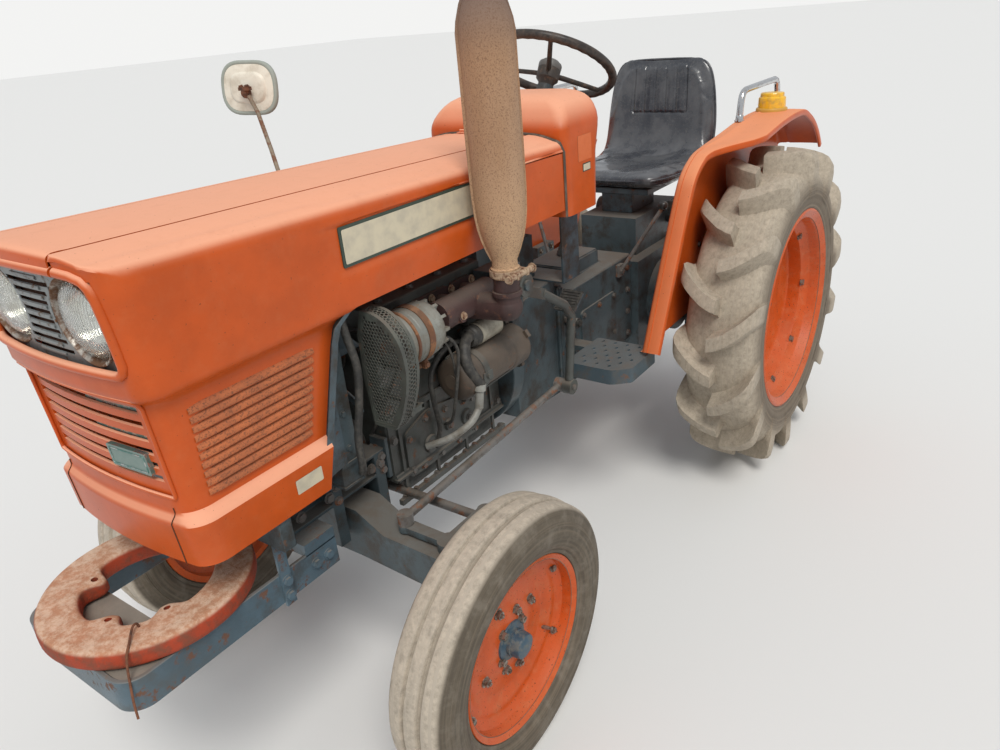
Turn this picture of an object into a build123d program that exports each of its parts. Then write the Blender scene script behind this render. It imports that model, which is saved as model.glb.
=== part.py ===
from build123d import *
import math
import os

# Compact two-wheel-drive farm tractor, in millimetres.
# +X points forward, +Y to the tractor's left, +Z up. Stations along X are measured from the rear
# axle while the pieces are made, and every piece is then moved so that the origin lies on the floor
# under the middle of the tractor's length.

# Overall layout
WHEELBASE = 1567
FRONT_TRACK = 1014
REAR_TRACK = 1064
SEAT_GAP = 0.3            # space left between pieces that touch on curved or soft faces
RUN_GAP = 5               # space beside a piece that moves

# Front wheels, 5.00-15
FRONT_R = 314
FRONT_HALF_W = 71
FRONT_BEAD_R = 190
FRONT_FLANGE_R = 204
FRONT_BEAD_HALF = 50
FRONT_RIM_T = 5
FRONT_HUB_R = 34
FRONT_HUB_BORE = 20
FRONT_DISC_Y = 0
CAMBER = 2.1

# Rear wheels, 9.5-24 with high lugs
REAR_R = 528
REAR_HALF_W = 120
LUG_H = 46
LUG_COUNT = 14
LUG_W = 56
REAR_BEAD_R = 305
REAR_FLANGE_R = 334
REAR_BEAD_HALF = 98
REAR_RIM_T = 6
REAR_HUB_R = 100
REAR_DISC_Y = -30
AXLE_SHAFT_R = 38

# Front axle and steering
KINGPIN_Y = 380
KINGPIN_R = 14
KING_TUBE_R = 26
KING_TUBE_Z0 = 395
KING_TUBE_Z1 = 508
BEAM_Z0 = 420
BEAM_Z1 = 545
BEAM_FRONT = WHEELBASE + 41
BEAM_REAR = WHEELBASE - 37
BEAM_WALL = 10
BEAM_FLAT = 150
ARM_T = 16
TIE_ARM = 130
DRAG_ARM = 120
TIE_R = 11
PITMAN_Z = 905
PITMAN_Y = 255
BALL_Z = 552
BALL_Y = 268
DRAG_R = 10
WHEEL_X = 461
WHEEL_Z = 1360
WHEEL_TILT = 32
WHEEL_R = 200
WHEEL_GRIP_R = 13
COLUMN_R = 24
SHAFT_R = 11

# Bonnet and nose
HOOD_HALF_W = 230
HOOD_WALL = 3
HOOD_REAR = 792
HOOD_FRONT = WHEELBASE + 495
NOSE_BOW = 14
NOSE_CORNER_R = 42
HOOD_TOP_REAR = 1226
HOOD_TOP_FRONT = 1266
SEAM_DROP = 5
SHOULDER_Y = 212
SHOULDER_DROP = 32
HOOD_SIDE_Z = 1028
HOOD_SIDE_REAR_Z = 1008
NOSE_REAR_TOP_X = HOOD_FRONT - 427
NOSE_REAR_LOW_X = HOOD_FRONT - 340
NOSE_Z = 696
NOSE_LEAN = 40
LID_HALF_W = 130
LID_SEAM = 3
LID_REAR = HOOD_REAR + 10
LID_LOW = HOOD_TOP_FRONT - 126
LID_BARREL_R = 4
RECESS_Y = 207
RECESS_Z0 = 795
RECESS_Z1 = 1010
LOUVRE_COUNT = 9
LAMP_Y = 122
LAMP_Z = HOOD_TOP_FRONT - 119
LAMP_R = 66
MOUTH_Z0 = HOOD_TOP_FRONT - 198
MOUTH_Z1 = HOOD_TOP_FRONT - 40
GRILLE_Z0 = 829
GRILLE_Z1 = 1022
GRILLE_HALF_W = 188

# Dash cowl
DASH_FRONT = HOOD_REAR - 13
DASH_REAR = DASH_FRONT - 223
DASH_TOP = 1312
DASH_LOW_Z = 1004
BAND_PROUD = 3

# Driveline castings. The engine keeps its place ahead of the front axle, and the clutch housing
# reaches back from it to the gearbox.
ENGINE_FRONT = WHEELBASE - 97
ENGINE_LENGTH = 440
ENGINE_REAR = ENGINE_FRONT - ENGINE_LENGTH
ENGINE_HALF_W = 140
ENGINE_Z0 = 470
ENGINE_Z1 = 860
HEAD_HALF_W = 128
HEAD_H = 100
BELL_R = 192
BELL_Z = 640
BELL_L = 50
CLUTCH_REAR = 700
GEARBOX_HALF_W = 125
GEARBOX_Z0 = 420
GEARBOX_Z1 = 730
GEARBOX_TOP = 800
DIFF_FRONT = 200
DIFF_REAR = -170
DIFF_HALF_W = 150
DIFF_Z0 = 360
DIFF_Z1 = 700
TRUMPET_R = 62
TRUMPET_END_Y = 372
RADIATOR_GAP = 122
RADIATOR_X0 = ENGINE_FRONT + RADIATOR_GAP
RADIATOR_X1 = RADIATOR_X0 + 48
RADIATOR_HALF_W = 178
RADIATOR_TOP = 1150
PITMAN_X = ENGINE_REAR + 15
BALL_X = PITMAN_X - 170
MUFFLER_X = ENGINE_REAR + 147

# Front frame
RAIL_Y = 92
RAIL_OUT_Y = 134
RAIL_Z0 = 576
RAIL_Z1 = 636
RAIL_T = 8
BOLSTER_T = 30
BOLSTER_GAP = 14
PIVOT_Z = 500
PIVOT_R = 20

# Front bumper and weight
BUMPER_HALF_W = 180
BUMPER_FRONT = HOOD_FRONT + 123
BUMPER_Z0 = 484
BUMPER_Z1 = 552
BUMPER_T = 9
WEIGHT_R = 200
WEIGHT_X = BUMPER_FRONT + 29 - WEIGHT_R
WEIGHT_IN_R = 122
WEIGHT_T = 40
RAIL_FRONT = WEIGHT_X - WEIGHT_R - 9
BUMPER_REAR = RAIL_FRONT - 105

# Exhaust
MUFFLER_Y = 300
NECK_Z = 974
MUFFLER_R = 57
PIPE_R = 24
PIPE_TOP = 1680

# Fenders, seat, steps
FENDER_Y = 384
FENDER_T = 3
FLANGE_FRONT_Y = 440
FLANGE_Y = 545
STEP_X0 = 592
STEP_X1 = 790
STEP_Y0 = 205
STEP_Y1 = 400
STEP_TOP = 580
STEP_SKIRT = 45
SEAT_HALF_W = 226
RAIL_BAR_Y = 408
RAIL_BAR_R = 11

# Rear linkage
LIFT_X = -150
LIFT_Z = 790
LIFT_ARM_Y = 165
LIFT_DX = -255
LIFT_DZ = 50
LINK_X = -100
LINK_Z = 400
LINK_Y = 250
LINK_REACH = 2.15
LINK_EYE_R = 11.1
PTO_R = 17.5
PTO_Z = 480
PTO_PIN_L = 78
PTO_BORE_L = 40
PTO_END = DIFF_REAR - 92
DRAWBAR_Z = 352
DRAWBAR_END = -345
DRAWBAR_BORE_R = 11


def block(x0, x1, y0, y1, z0, z1):
    return Pos((x0 + x1) / 2, (y0 + y1) / 2, (z0 + z1) / 2) * Box(x1 - x0, y1 - y0, z1 - z0)


def rod(start, end, radius):
    path = Vector(*end) - Vector(*start)
    plane = Plane(origin=start, z_dir=path)
    return plane * Cylinder(radius, path.length, align=(Align.CENTER, Align.CENTER, Align.MIN))


def tube(start, end, radius, bore):
    return rod(start, end, radius) - rod(start, end, bore)


def side_plate(points, y0, y1):
    outline = Polyline(*[(x, y0, z) for x, z in points], close=True)
    return extrude(make_face(outline), amount=y1 - y0, dir=(0, 1, 0))


def cross_outline(x, points):
    return make_face(Polyline(*[(x, y, z) for y, z in points], close=True))


def cross_plate(points, x0, x1):
    return extrude(cross_outline(x0, points), amount=x1 - x0, dir=(1, 0, 0))


def flat_plate(points, z0, z1):
    outline = Polyline(*[(x, y, z0) for x, y in points], close=True)
    return extrude(make_face(outline), amount=z1 - z0, dir=(0, 0, 1))


def offset_points(points, inset):
    # Same outline drawn in towards its own middle by about inset
    mid_x = sum(x for x, z in points) / len(points)
    mid_z = sum(z for x, z in points) / len(points)
    return [(x - math.copysign(inset, x - mid_x), z - math.copysign(inset, z - mid_z)) for x, z in points]


def spun(points):
    # Outline of (y, radius) points turned about the wheel's own axle line, which is Y
    outline = Polyline(*[(0, y, r) for y, r in points], close=True)
    return revolve(make_face(outline), Axis.Y, 360)


def turned(points):
    # Outline of (radius, z) points turned about an upright line
    outline = Polyline(*[(r, 0, z) for r, z in points], close=True)
    return revolve(make_face(outline), Axis.Z, 360)


def mirrored(piece):
    return mirror(piece, Plane.XZ)


def pair(piece):
    return piece + mirrored(piece)


# Wheels

def front_tyre_outline():
    # Columns: y from the tyre's middle, radius. Three ribs with two grooves between them.
    half = [
        (FRONT_BEAD_HALF - SEAT_GAP, FRONT_BEAD_R + SEAT_GAP),
        (FRONT_BEAD_HALF - SEAT_GAP, FRONT_FLANGE_R + 1),
        (FRONT_BEAD_HALF + FRONT_RIM_T + 2, FRONT_FLANGE_R + 8),
        (FRONT_HALF_W, FRONT_FLANGE_R + 34),
        (FRONT_HALF_W - 5, FRONT_R - 26),
        (FRONT_HALF_W - 17, FRONT_R - 8),
        (24, FRONT_R - 2),
        (20, FRONT_R - 11),
        (15, FRONT_R - 11),
        (12, FRONT_R),
    ]
    return half + [(-y, r) for y, r in reversed(half)]


def front_axle_height():
    lean = math.radians(CAMBER)
    return max(r * math.cos(lean) + y * math.sin(lean) for y, r in front_tyre_outline())


def on_front_hub(piece):
    place = Pos(WHEELBASE, FRONT_TRACK / 2, front_axle_height()) * Rot(-CAMBER, 0, 0)
    return place * piece


def front_tyre():
    return spun(front_tyre_outline())


def front_rim():
    wall = FRONT_RIM_T
    seat = FRONT_BEAD_R
    lip = FRONT_BEAD_HALF
    well = seat - 22
    barrel = spun([
        (lip + wall, FRONT_FLANGE_R), (lip, FRONT_FLANGE_R), (lip, seat), (24, seat), (14, well),
        (-14, well), (-24, seat), (-lip, seat), (-lip, FRONT_FLANGE_R), (-lip - wall, FRONT_FLANGE_R),
        (-lip - wall, seat - wall), (-26, seat - wall), (-16, well - wall), (16, well - wall),
        (26, seat - wall), (lip + wall, seat - wall),
    ])
    disc_y = FRONT_DISC_Y
    disc = spun([
        (disc_y + 14, well - wall + 1), (disc_y + 4, well - 30), (disc_y + wall, FRONT_HUB_R + 60),
        (disc_y + 12, FRONT_HUB_R + 30), (disc_y + 12, FRONT_HUB_R), (disc_y + 12 - wall, FRONT_HUB_R),
        (disc_y + 7, FRONT_HUB_R + 28), (disc_y, FRONT_HUB_R + 58), (disc_y - 2, well - 30),
        (disc_y + 8, well - wall + 1),
    ])
    hub = spun([
        (-36, FRONT_HUB_BORE), (-36, FRONT_HUB_R + 4), (disc_y, FRONT_HUB_R + 12),
        (disc_y + 12, FRONT_HUB_R + 12), (disc_y + 14, FRONT_HUB_R - 4), (52, FRONT_HUB_R - 6),
        (56, FRONT_HUB_R - 12), (56, 0), (48, 0), (48, FRONT_HUB_BORE),
    ])
    studs = [Rot(0, 60 * i, 0) * rod((0, disc_y, 82), (0, disc_y + 16, 82), 9) for i in range(6)]
    return barrel + disc + hub + studs


def rear_tread_lug():
    # One bar of the tread: it starts ahead of the tyre's middle and runs back to the shoulder
    half_w = LUG_W / 2
    bar = make_face(Polyline(
        (62 - half_w, -14, REAR_R - 135), (62 + half_w, -14, REAR_R - 135),
        (42 + half_w, 40, REAR_R - 135), (-40 + half_w, REAR_HALF_W + 8, REAR_R - 135),
        (-40 - half_w, REAR_HALF_W + 8, REAR_R - 135), (30 - half_w, 40, REAR_R - 135), close=True))
    bar = extrude(bar, amount=155, dir=(0, 0, 1), taper=5)
    envelope = spun([
        (-6, REAR_R - 88), (-6, REAR_R), (60, REAR_R - 2), (REAR_HALF_W - 12, REAR_R - 8),
        (REAR_HALF_W, REAR_R - 26), (REAR_HALF_W + 3, REAR_R - 80), (REAR_HALF_W, REAR_R - 130),
        (REAR_HALF_W - 12, REAR_R - 130),
    ])
    return bar & envelope


def rear_tyre():
    crown = REAR_R - LUG_H
    half = [
        (REAR_BEAD_HALF - SEAT_GAP, REAR_BEAD_R + SEAT_GAP),
        (REAR_BEAD_HALF - SEAT_GAP, REAR_FLANGE_R + 1),
        (REAR_BEAD_HALF + REAR_RIM_T + 4, REAR_FLANGE_R + 8),
        (REAR_HALF_W, REAR_FLANGE_R + 63),
        (REAR_HALF_W - 8, crown - 36),
        (REAR_HALF_W - 32, crown - 10),
    ]
    carcass = spun(half + [(0, crown)] + [(-y, r) for y, r in reversed(half)])
    lug = rear_tread_lug()
    pitch = 360 / LUG_COUNT
    near = [Rot(0, pitch * i, 0) * lug for i in range(LUG_COUNT)]
    far_lug = mirrored(lug)
    far = [Rot(0, pitch * (i + 0.5), 0) * far_lug for i in range(LUG_COUNT)]
    return carcass.fuse(*near, *far)


def rear_rim():
    wall = REAR_RIM_T
    seat = REAR_BEAD_R
    lip = REAR_BEAD_HALF
    well = seat - 34
    barrel = spun([
        (lip + wall + 6, REAR_FLANGE_R - 6), (lip + wall, REAR_FLANGE_R), (lip, REAR_FLANGE_R - 4),
        (lip, seat), (60, seat), (40, well), (-40, well), (-60, seat), (-lip, seat),
        (-lip, REAR_FLANGE_R - 4), (-lip - wall, REAR_FLANGE_R), (-lip - wall, seat - wall),
        (-62, seat - wall), (-42, well - wall), (42, well - wall), (62, seat - wall),
        (lip + wall, seat - wall),
    ])
    disc_y = REAR_DISC_Y
    disc = spun([
        (disc_y + 22, well - wall + 1), (disc_y + 14, well - 36), (disc_y + wall, 150),
        (disc_y + wall, AXLE_SHAFT_R), (disc_y, AXLE_SHAFT_R), (disc_y, 150),
        (disc_y + 8, well - 32), (disc_y + 14, well - wall + 1),
    ])
    inner = TRUMPET_END_Y + SEAT_GAP - REAR_TRACK / 2
    hub = spun([
        (inner, AXLE_SHAFT_R), (inner, 60), (disc_y - 18, 60), (disc_y - 16, REAR_HUB_R),
        (disc_y, REAR_HUB_R), (disc_y, AXLE_SHAFT_R),
    ])
    cap = spun([
        (inner, 0), (inner, AXLE_SHAFT_R), (disc_y + 26, AXLE_SHAFT_R), (disc_y + 32, AXLE_SHAFT_R - 8),
        (disc_y + 32, 0),
    ])
    studs = [Rot(0, 60 * i, 0) * rod((0, disc_y, 78), (0, disc_y + 22, 78), 11) for i in range(6)]
    return barrel + disc + hub + cap + studs


def on_rear_hub(piece):
    return Pos(0, REAR_TRACK / 2, REAR_R) * piece


# Front axle and steering

def axle_section(inset, end_inset):
    # Outline of the beam from the front: level in the middle and lower towards the kingpins
    reach = KINGPIN_Y - end_inset
    half = [
        (BEAM_FLAT, BEAM_Z0 + inset), (reach, KING_TUBE_Z0 + 12 + inset),
        (reach, KING_TUBE_Z1 - 8 - inset), (BEAM_FLAT + 75, KING_TUBE_Z1 - 4 - inset),
        (BEAM_FLAT, BEAM_Z1 - inset),
    ]
    return [(y, z) for y, z in half] + [(-y, z) for y, z in reversed(half)]


def front_axle():
    beam = cross_plate(axle_section(0, 0), BEAM_REAR, BEAM_FRONT)
    beam -= cross_plate(axle_section(BEAM_WALL, 60), BEAM_REAR - 1, BEAM_FRONT - BEAM_WALL)
    rear = BEAM_REAR - BOLSTER_GAP + 2
    front = BEAM_FRONT + BOLSTER_GAP - 2
    boss = rod((rear, 0, PIVOT_Z), (front, 0, PIVOT_Z), PIVOT_R + 20)
    pin_hole = rod((rear - 1, 0, PIVOT_Z), (front + 1, 0, PIVOT_Z), PIVOT_R + SEAT_GAP)
    tubes = pair(rod((WHEELBASE, KINGPIN_Y, KING_TUBE_Z0), (WHEELBASE, KINGPIN_Y, KING_TUBE_Z1), KING_TUBE_R))
    bores = pair(rod((WHEELBASE, KINGPIN_Y, KING_TUBE_Z0 - 1), (WHEELBASE, KINGPIN_Y, KING_TUBE_Z1 + 1),
                     KINGPIN_R + SEAT_GAP))
    return beam + boss + tubes - pin_hole - bores


def knuckle():
    # Kingpin with its lower yoke and stub axle, without the steering arms on its top
    hub_z = front_axle_height()
    y = KINGPIN_Y
    top = KING_TUBE_Z1 + SEAT_GAP
    pin = rod((WHEELBASE, y, hub_z), (WHEELBASE, y, top + ARM_T), KINGPIN_R)
    collar = rod((WHEELBASE, y, hub_z - 26), (WHEELBASE, y, KING_TUBE_Z0 - SEAT_GAP), KING_TUBE_R)
    stub = Rot(-CAMBER, 0, 0) * rod((0, y - FRONT_TRACK / 2, 0), (0, 44, 0), FRONT_HUB_BORE - 0.05)
    shoulder = Rot(-CAMBER, 0, 0) * rod((0, y - FRONT_TRACK / 2, 0), (0, -36 - SEAT_GAP, 0), FRONT_HUB_R)
    stub = Pos(WHEELBASE, FRONT_TRACK / 2, hub_z) * (stub + shoulder)
    return pin + collar + stub


def tie_arm():
    top = KING_TUBE_Z1 + SEAT_GAP
    y = KINGPIN_Y
    end_x = WHEELBASE - TIE_ARM
    arm = block(end_x, WHEELBASE, y - 15, y + 15, top, top + ARM_T)
    ends = rod((WHEELBASE, y, top), (WHEELBASE, y, top + ARM_T), 26)
    ends += rod((end_x, y, top), (end_x, y, top + ARM_T), 18)
    stud = rod((end_x, y, top - 36), (end_x, y, top), 8)
    return arm + ends + stud


def knuckle_left():
    top = KING_TUBE_Z1 + SEAT_GAP
    end_y = KINGPIN_Y - DRAG_ARM
    arm = block(WHEELBASE - 14, WHEELBASE + 14, end_y, KINGPIN_Y, top, top + ARM_T)
    eye = rod((WHEELBASE, end_y, top), (WHEELBASE, end_y, top + ARM_T), 18)
    return knuckle() + tie_arm() + arm + eye


def knuckle_right():
    return mirrored(knuckle() + tie_arm())


def tie_rod():
    z = KING_TUBE_Z1 - 14
    x = WHEELBASE - TIE_ARM
    bar = rod((x, -KINGPIN_Y + 14, z), (x, KINGPIN_Y - 14, z), TIE_R)
    for side in (-1, 1):
        bar += rod((x, side * KINGPIN_Y, z - 14), (x, side * KINGPIN_Y, z + 14), 17)
    for side in (-1, 1):
        bar -= rod((x, side * KINGPIN_Y, z - 15), (x, side * KINGPIN_Y, z + 15), 8 + SEAT_GAP)
    return bar


def pitman_arm():
    # Bent drop arm outside the engine: flat head on the steering box shaft, ball joint at its foot
    head = rod((PITMAN_X, PITMAN_Y - 10, PITMAN_Z), (PITMAN_X, PITMAN_Y + 10, PITMAN_Z), 30)
    head -= rod((PITMAN_X, PITMAN_Y - 11, PITMAN_Z), (PITMAN_X, PITMAN_Y + 11, PITMAN_Z), 14 + SEAT_GAP)
    plate = side_plate([
        (PITMAN_X - 26, PITMAN_Z - 14), (PITMAN_X + 8, PITMAN_Z - 27), (PITMAN_X - 80, PITMAN_Z - 66),
        (PITMAN_X - 92, PITMAN_Z - 40),
    ], PITMAN_Y - 8, PITMAN_Y + 8)
    knee = (BALL_X - 28, BALL_Y, BALL_Z + 200)
    bend = (BALL_X + 6, BALL_Y, BALL_Z + 246)
    start = (PITMAN_X - 78, PITMAN_Y, PITMAN_Z - 48)
    foot = (BALL_X, BALL_Y, BALL_Z + 20)
    arm = rod(start, bend, 12) + Pos(*bend) * Sphere(12) + rod(bend, knee, 12) + Pos(*knee) * Sphere(12)
    arm += rod(knee, foot, 12)
    ball_seat = rod((BALL_X, BALL_Y - 14, BALL_Z), (BALL_X, BALL_Y + 14, BALL_Z), 22)
    ball_seat -= rod((BALL_X, BALL_Y - 15, BALL_Z), (BALL_X, BALL_Y + 15, BALL_Z), 8 + SEAT_GAP)
    return head + plate + arm + ball_seat


def drag_link():
    front_z = KING_TUBE_Z1 + SEAT_GAP + ARM_T + SEAT_GAP + 15
    front_y = KINGPIN_Y - DRAG_ARM
    rear_y = BALL_Y - 14 - SEAT_GAP - 14
    bar = rod((BALL_X + 16, rear_y, BALL_Z), (WHEELBASE - 14, front_y, front_z), DRAG_R)
    rear_eye = rod((BALL_X, rear_y - 14, BALL_Z), (BALL_X, rear_y + 14, BALL_Z), 19)
    pin = rod((BALL_X, rear_y, BALL_Z), (BALL_X, BALL_Y + 18, BALL_Z), 8)
    front_eye = rod((WHEELBASE, front_y, front_z - 15), (WHEELBASE, front_y, front_z + 12), 18)
    return bar + rear_eye + pin + front_eye


def column_point(distance):
    tilt = math.radians(WHEEL_TILT)
    return (WHEEL_X + distance * math.sin(tilt), 0, WHEEL_Z - distance * math.cos(tilt))


def steering_wheel():
    rim_r = WHEEL_R - WHEEL_GRIP_R
    grip = make_face(Plane.XZ * Pos(rim_r, 0, 0) * Edge.make_circle(WHEEL_GRIP_R))
    ring = revolve(grip, Axis.Z, 360)
    hub = turned([(0, -300), (SHAFT_R, -300), (SHAFT_R, -36), (34, -36), (34, 8), (26, 8), (26, 19), (0, 19)])
    spokes = [Rot(0, 0, 120 * i + 30) * rod((15, 0, -14), (rim_r, 0, -1), 9) for i in range(3)]
    wheel = ring.fuse(hub, *spokes)
    return Pos(WHEEL_X, 0, WHEEL_Z) * Rot(0, -WHEEL_TILT, 0) * wheel


def steering_column():
    # Fixed tube from the steering box on the clutch housing up through the dash cowl
    low = column_point(570)
    high = column_point(60)
    jacket = rod(low, high, COLUMN_R)
    jacket -= rod(column_point(310), column_point(40), SHAFT_R + SEAT_GAP * 2)
    return jacket + column_foot(0)


def column_foot(grow):
    # Casting on the clutch housing that the column's lower end stands in
    x = column_point(570)[0]
    return block(x - 43 - grow, x + 47 + grow, -70 - grow, 70 + grow, GEARBOX_TOP, GEARBOX_TOP + 130 + grow)


def steering_box():
    # Gear housing on the left of the engine's rear, which carries the drop arm's shaft
    case = block(PITMAN_X - 50, PITMAN_X + 50, ENGINE_HALF_W, PITMAN_Y - 40, PITMAN_Z - 85,
                 PITMAN_Z + 40)
    shaft = rod((PITMAN_X, PITMAN_Y - 42, PITMAN_Z), (PITMAN_X, PITMAN_Y + 16, PITMAN_Z), 14)
    collar = rod((PITMAN_X, PITMAN_Y - 41, PITMAN_Z), (PITMAN_X, PITMAN_Y - 10 - SEAT_GAP, PITMAN_Z), 30)
    return case + shaft + collar


# Bonnet and nose

def top_at(x):
    share = (x - HOOD_REAR) / (HOOD_FRONT - HOOD_REAR)
    return HOOD_TOP_REAR + share * (HOOD_TOP_FRONT - HOOD_TOP_REAR)


def hood_section(x, inset):
    # Crowned top, sloping shoulders and upright sides, seen from the front
    top = top_at(x) - inset
    half = HOOD_HALF_W - inset
    shoulder = SHOULDER_Y - inset * 0.6
    return cross_outline(x, [
        (-half, NOSE_Z - 60), (-half, top - SHOULDER_DROP - 16), (-shoulder, top - SHOULDER_DROP + 6),
        (-LID_HALF_W, top - SEAM_DROP), (0, top), (LID_HALF_W, top - SEAM_DROP),
        (shoulder, top - SHOULDER_DROP + 6), (half, top - SHOULDER_DROP - 16), (half, NOSE_Z - 60),
    ])


def nose_plan(z, inset, shift):
    half = HOOD_HALF_W + 20
    rear = HOOD_REAR - (1 if inset == 0 else 40)
    tip = HOOD_FRONT - inset + shift
    corner = tip - NOSE_BOW
    edge = HOOD_HALF_W - inset
    r = NOSE_CORNER_R
    start = corner - r - 12
    wide = edge + 5
    near = corner - r * 0.3
    lines = [
        Polyline((start, wide, z), (start, half, z), (rear, half, z), (rear, -half, z),
                 (start, -half, z), (start, -wide, z)),
        ThreePointArc((start, -wide, z), (near, -edge + r * 0.33, z), (corner, -edge + r, z)),
        ThreePointArc((corner, -edge + r, z), (tip, 0, z), (corner, edge - r, z)),
        ThreePointArc((corner, edge - r, z), (near, edge - r * 0.33, z), (start, wide, z)),
    ]
    return make_face(Curve() + lines)


def cowl_envelope(inset):
    # Solid that fills the bonnet and nose, pulled in by inset on every sheet surface
    section = loft([hood_section(HOOD_REAR - 40, inset), hood_section(HOOD_FRONT + 20, inset)], ruled=True)
    plan = loft([nose_plan(NOSE_Z - 50, inset, -NOSE_LEAN), nose_plan(HOOD_TOP_FRONT + 40, inset, 0)],
                ruled=True)
    rear = HOOD_REAR if inset == 0 else HOOD_REAR - 30
    drop = 0 if inset == 0 else 60
    side = side_plate([
        (rear, HOOD_TOP_FRONT + 60), (rear, HOOD_SIDE_REAR_Z - drop), (NOSE_REAR_TOP_X - 60 - drop,
         HOOD_SIDE_Z - drop), (NOSE_REAR_TOP_X - 20 - drop, HOOD_SIDE_Z - 12 - drop),
        (NOSE_REAR_TOP_X - drop, HOOD_SIDE_Z - 45 - drop), (NOSE_REAR_LOW_X - drop, NOSE_Z - drop),
        (HOOD_FRONT + 60, NOSE_Z - drop), (HOOD_FRONT + 60, HOOD_TOP_FRONT + 60),
    ], -HOOD_HALF_W - 40, HOOD_HALF_W + 40)
    body = section & plan & side
    recess_y = RECESS_Y - inset
    recess = cross_plate([
        (recess_y, RECESS_Z0 - inset), (recess_y, RECESS_Z1 + inset),
        (HOOD_HALF_W + 60, RECESS_Z1 + 50 + inset), (HOOD_HALF_W + 60, RECESS_Z0 - 45 - inset),
    ], NOSE_REAR_TOP_X - 100, HOOD_FRONT + 20)
    return body - recess - mirrored(recess)


def cowl_shell():
    shell = cowl_envelope(0) - cowl_envelope(HOOD_WALL)
    upper = block(HOOD_FRONT - 130, HOOD_FRONT + 30, -202, 202, MOUTH_Z0, MOUTH_Z1)
    lower = grille_opening(0)
    return shell - upper - lower


def grille_opening(inset):
    half = GRILLE_HALF_W - inset
    return block(HOOD_FRONT - 130, HOOD_FRONT + 30, -half, half, GRILLE_Z0 + inset, GRILLE_Z1 - inset)


def lid_zone(half, low):
    return block(LID_REAR, HOOD_FRONT + 40, -half, half, low, HOOD_TOP_FRONT + 80)


def lid_hinge():
    # Middle of the hinge's barrels, just above the lid's rear edge
    return (LID_REAR - 0.5, top_at(LID_REAR) + LID_BARREL_R + SEAT_GAP)


def hood_lid():
    lid = cowl_shell() & lid_zone(LID_HALF_W - LID_SEAM, LID_LOW)
    x, z = lid_hinge()
    for y in (-90, 60):
        lid += rod((x, y, z), (x, y + 30, z), LID_BARREL_R)
        lid += block(LID_REAR + SEAT_GAP, x + 16, y, y + 30, z - LID_BARREL_R - 5, z - LID_BARREL_R + 2)
    return lid


def side_panels():
    rest = cowl_shell() - lid_zone(LID_HALF_W, LID_LOW)
    ledge_a = cowl_envelope(HOOD_WALL) - cowl_envelope(2 * HOOD_WALL + SEAT_GAP)
    ledge_b = cowl_envelope(HOOD_WALL + SEAT_GAP) - cowl_envelope(2 * HOOD_WALL + SEAT_GAP)
    front = HOOD_FRONT - 90
    zone_a = block(HOOD_REAR + 12, front, LID_HALF_W + 2, LID_HALF_W + 12, LID_LOW, HOOD_TOP_FRONT + 80)
    zone_b = block(HOOD_REAR + 12, front, LID_HALF_W - 14, LID_HALF_W + 12, LID_LOW, HOOD_TOP_FRONT + 80)
    ledge = (ledge_a & zone_a) + (ledge_b & zone_b)
    panels = rest + ledge + mirrored(ledge)
    step = (RECESS_Z1 - RECESS_Z0 - 60) / LOUVRE_COUNT
    for i in range(LOUVRE_COUNT):
        z = RECESS_Z0 + 24 + step * i
        shift = 0.12 * (z - RECESS_Z0)
        rear = HOOD_FRONT - 326 - shift
        front = HOOD_FRONT - 112
        slot = block(rear, front, RECESS_Y - 10, RECESS_Y + 4, z, z + 7)
        blade = cross_plate([(RECESS_Y - 3, z + 7), (RECESS_Y, z + 7), (RECESS_Y + 7, z + 1),
                             (RECESS_Y + 5, z - 1)], rear, front)
        panels = panels - slot - mirrored(slot) + blade + mirrored(blade)
    return panels


def upper_grille():
    x = HOOD_FRONT - NOSE_BOW - 18
    plate = block(x - 6, x, -HOOD_HALF_W, HOOD_HALF_W, MOUTH_Z0 - 10, MOUTH_Z1 + 10)
    plate &= cowl_envelope(HOOD_WALL + SEAT_GAP)
    for side in (-1, 1):
        plate -= rod((x - 7, side * LAMP_Y, LAMP_Z), (x + 1, side * LAMP_Y, LAMP_Z), LAMP_R)
    for i in range(7):
        z = MOUTH_Z0 + 16 + 19 * i
        plate -= block(x - 7, x + 1, -52, 52, z, z + 9)
    return plate


def headlamps():
    x = HOOD_FRONT - NOSE_BOW - 18
    lamp = turned([(0, -62), (36, -50), (64, -18), (64, 0), (80, 0), (80, 5), (75, 6), (64, -8),
                   (46, 1), (24, 6), (0, 8)])
    lamp = Pos(x + SEAT_GAP, LAMP_Y, LAMP_Z) * Rot(0, 90, 0) * lamp
    return pair(lamp)


def lower_grille():
    # Bowed panel that fills the opening in the nose, with six long slots
    plate = (cowl_envelope(2) - cowl_envelope(8)) & grille_opening(SEAT_GAP)
    for i in range(6):
        z = GRILLE_Z0 + 27 + 26.5 * i
        plate -= block(HOOD_FRONT - 90, HOOD_FRONT + 10, -165, 165, z, z + 12.5)
    return plate


# Dash

def dash_section(x, top, inset):
    half = HOOD_HALF_W - inset
    top = top - inset
    return cross_outline(x, [
        (-half, DASH_LOW_Z - 40), (-half, top - 90), (-half + 9, top - 58), (-half + 30, top - 26),
        (-half + 52, top - 9), (-half + 90, top), (half - 90, top), (half - 52, top - 9),
        (half - 30, top - 26), (half - 9, top - 58), (half, top - 90), (half, DASH_LOW_Z - 40),
    ])


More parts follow.
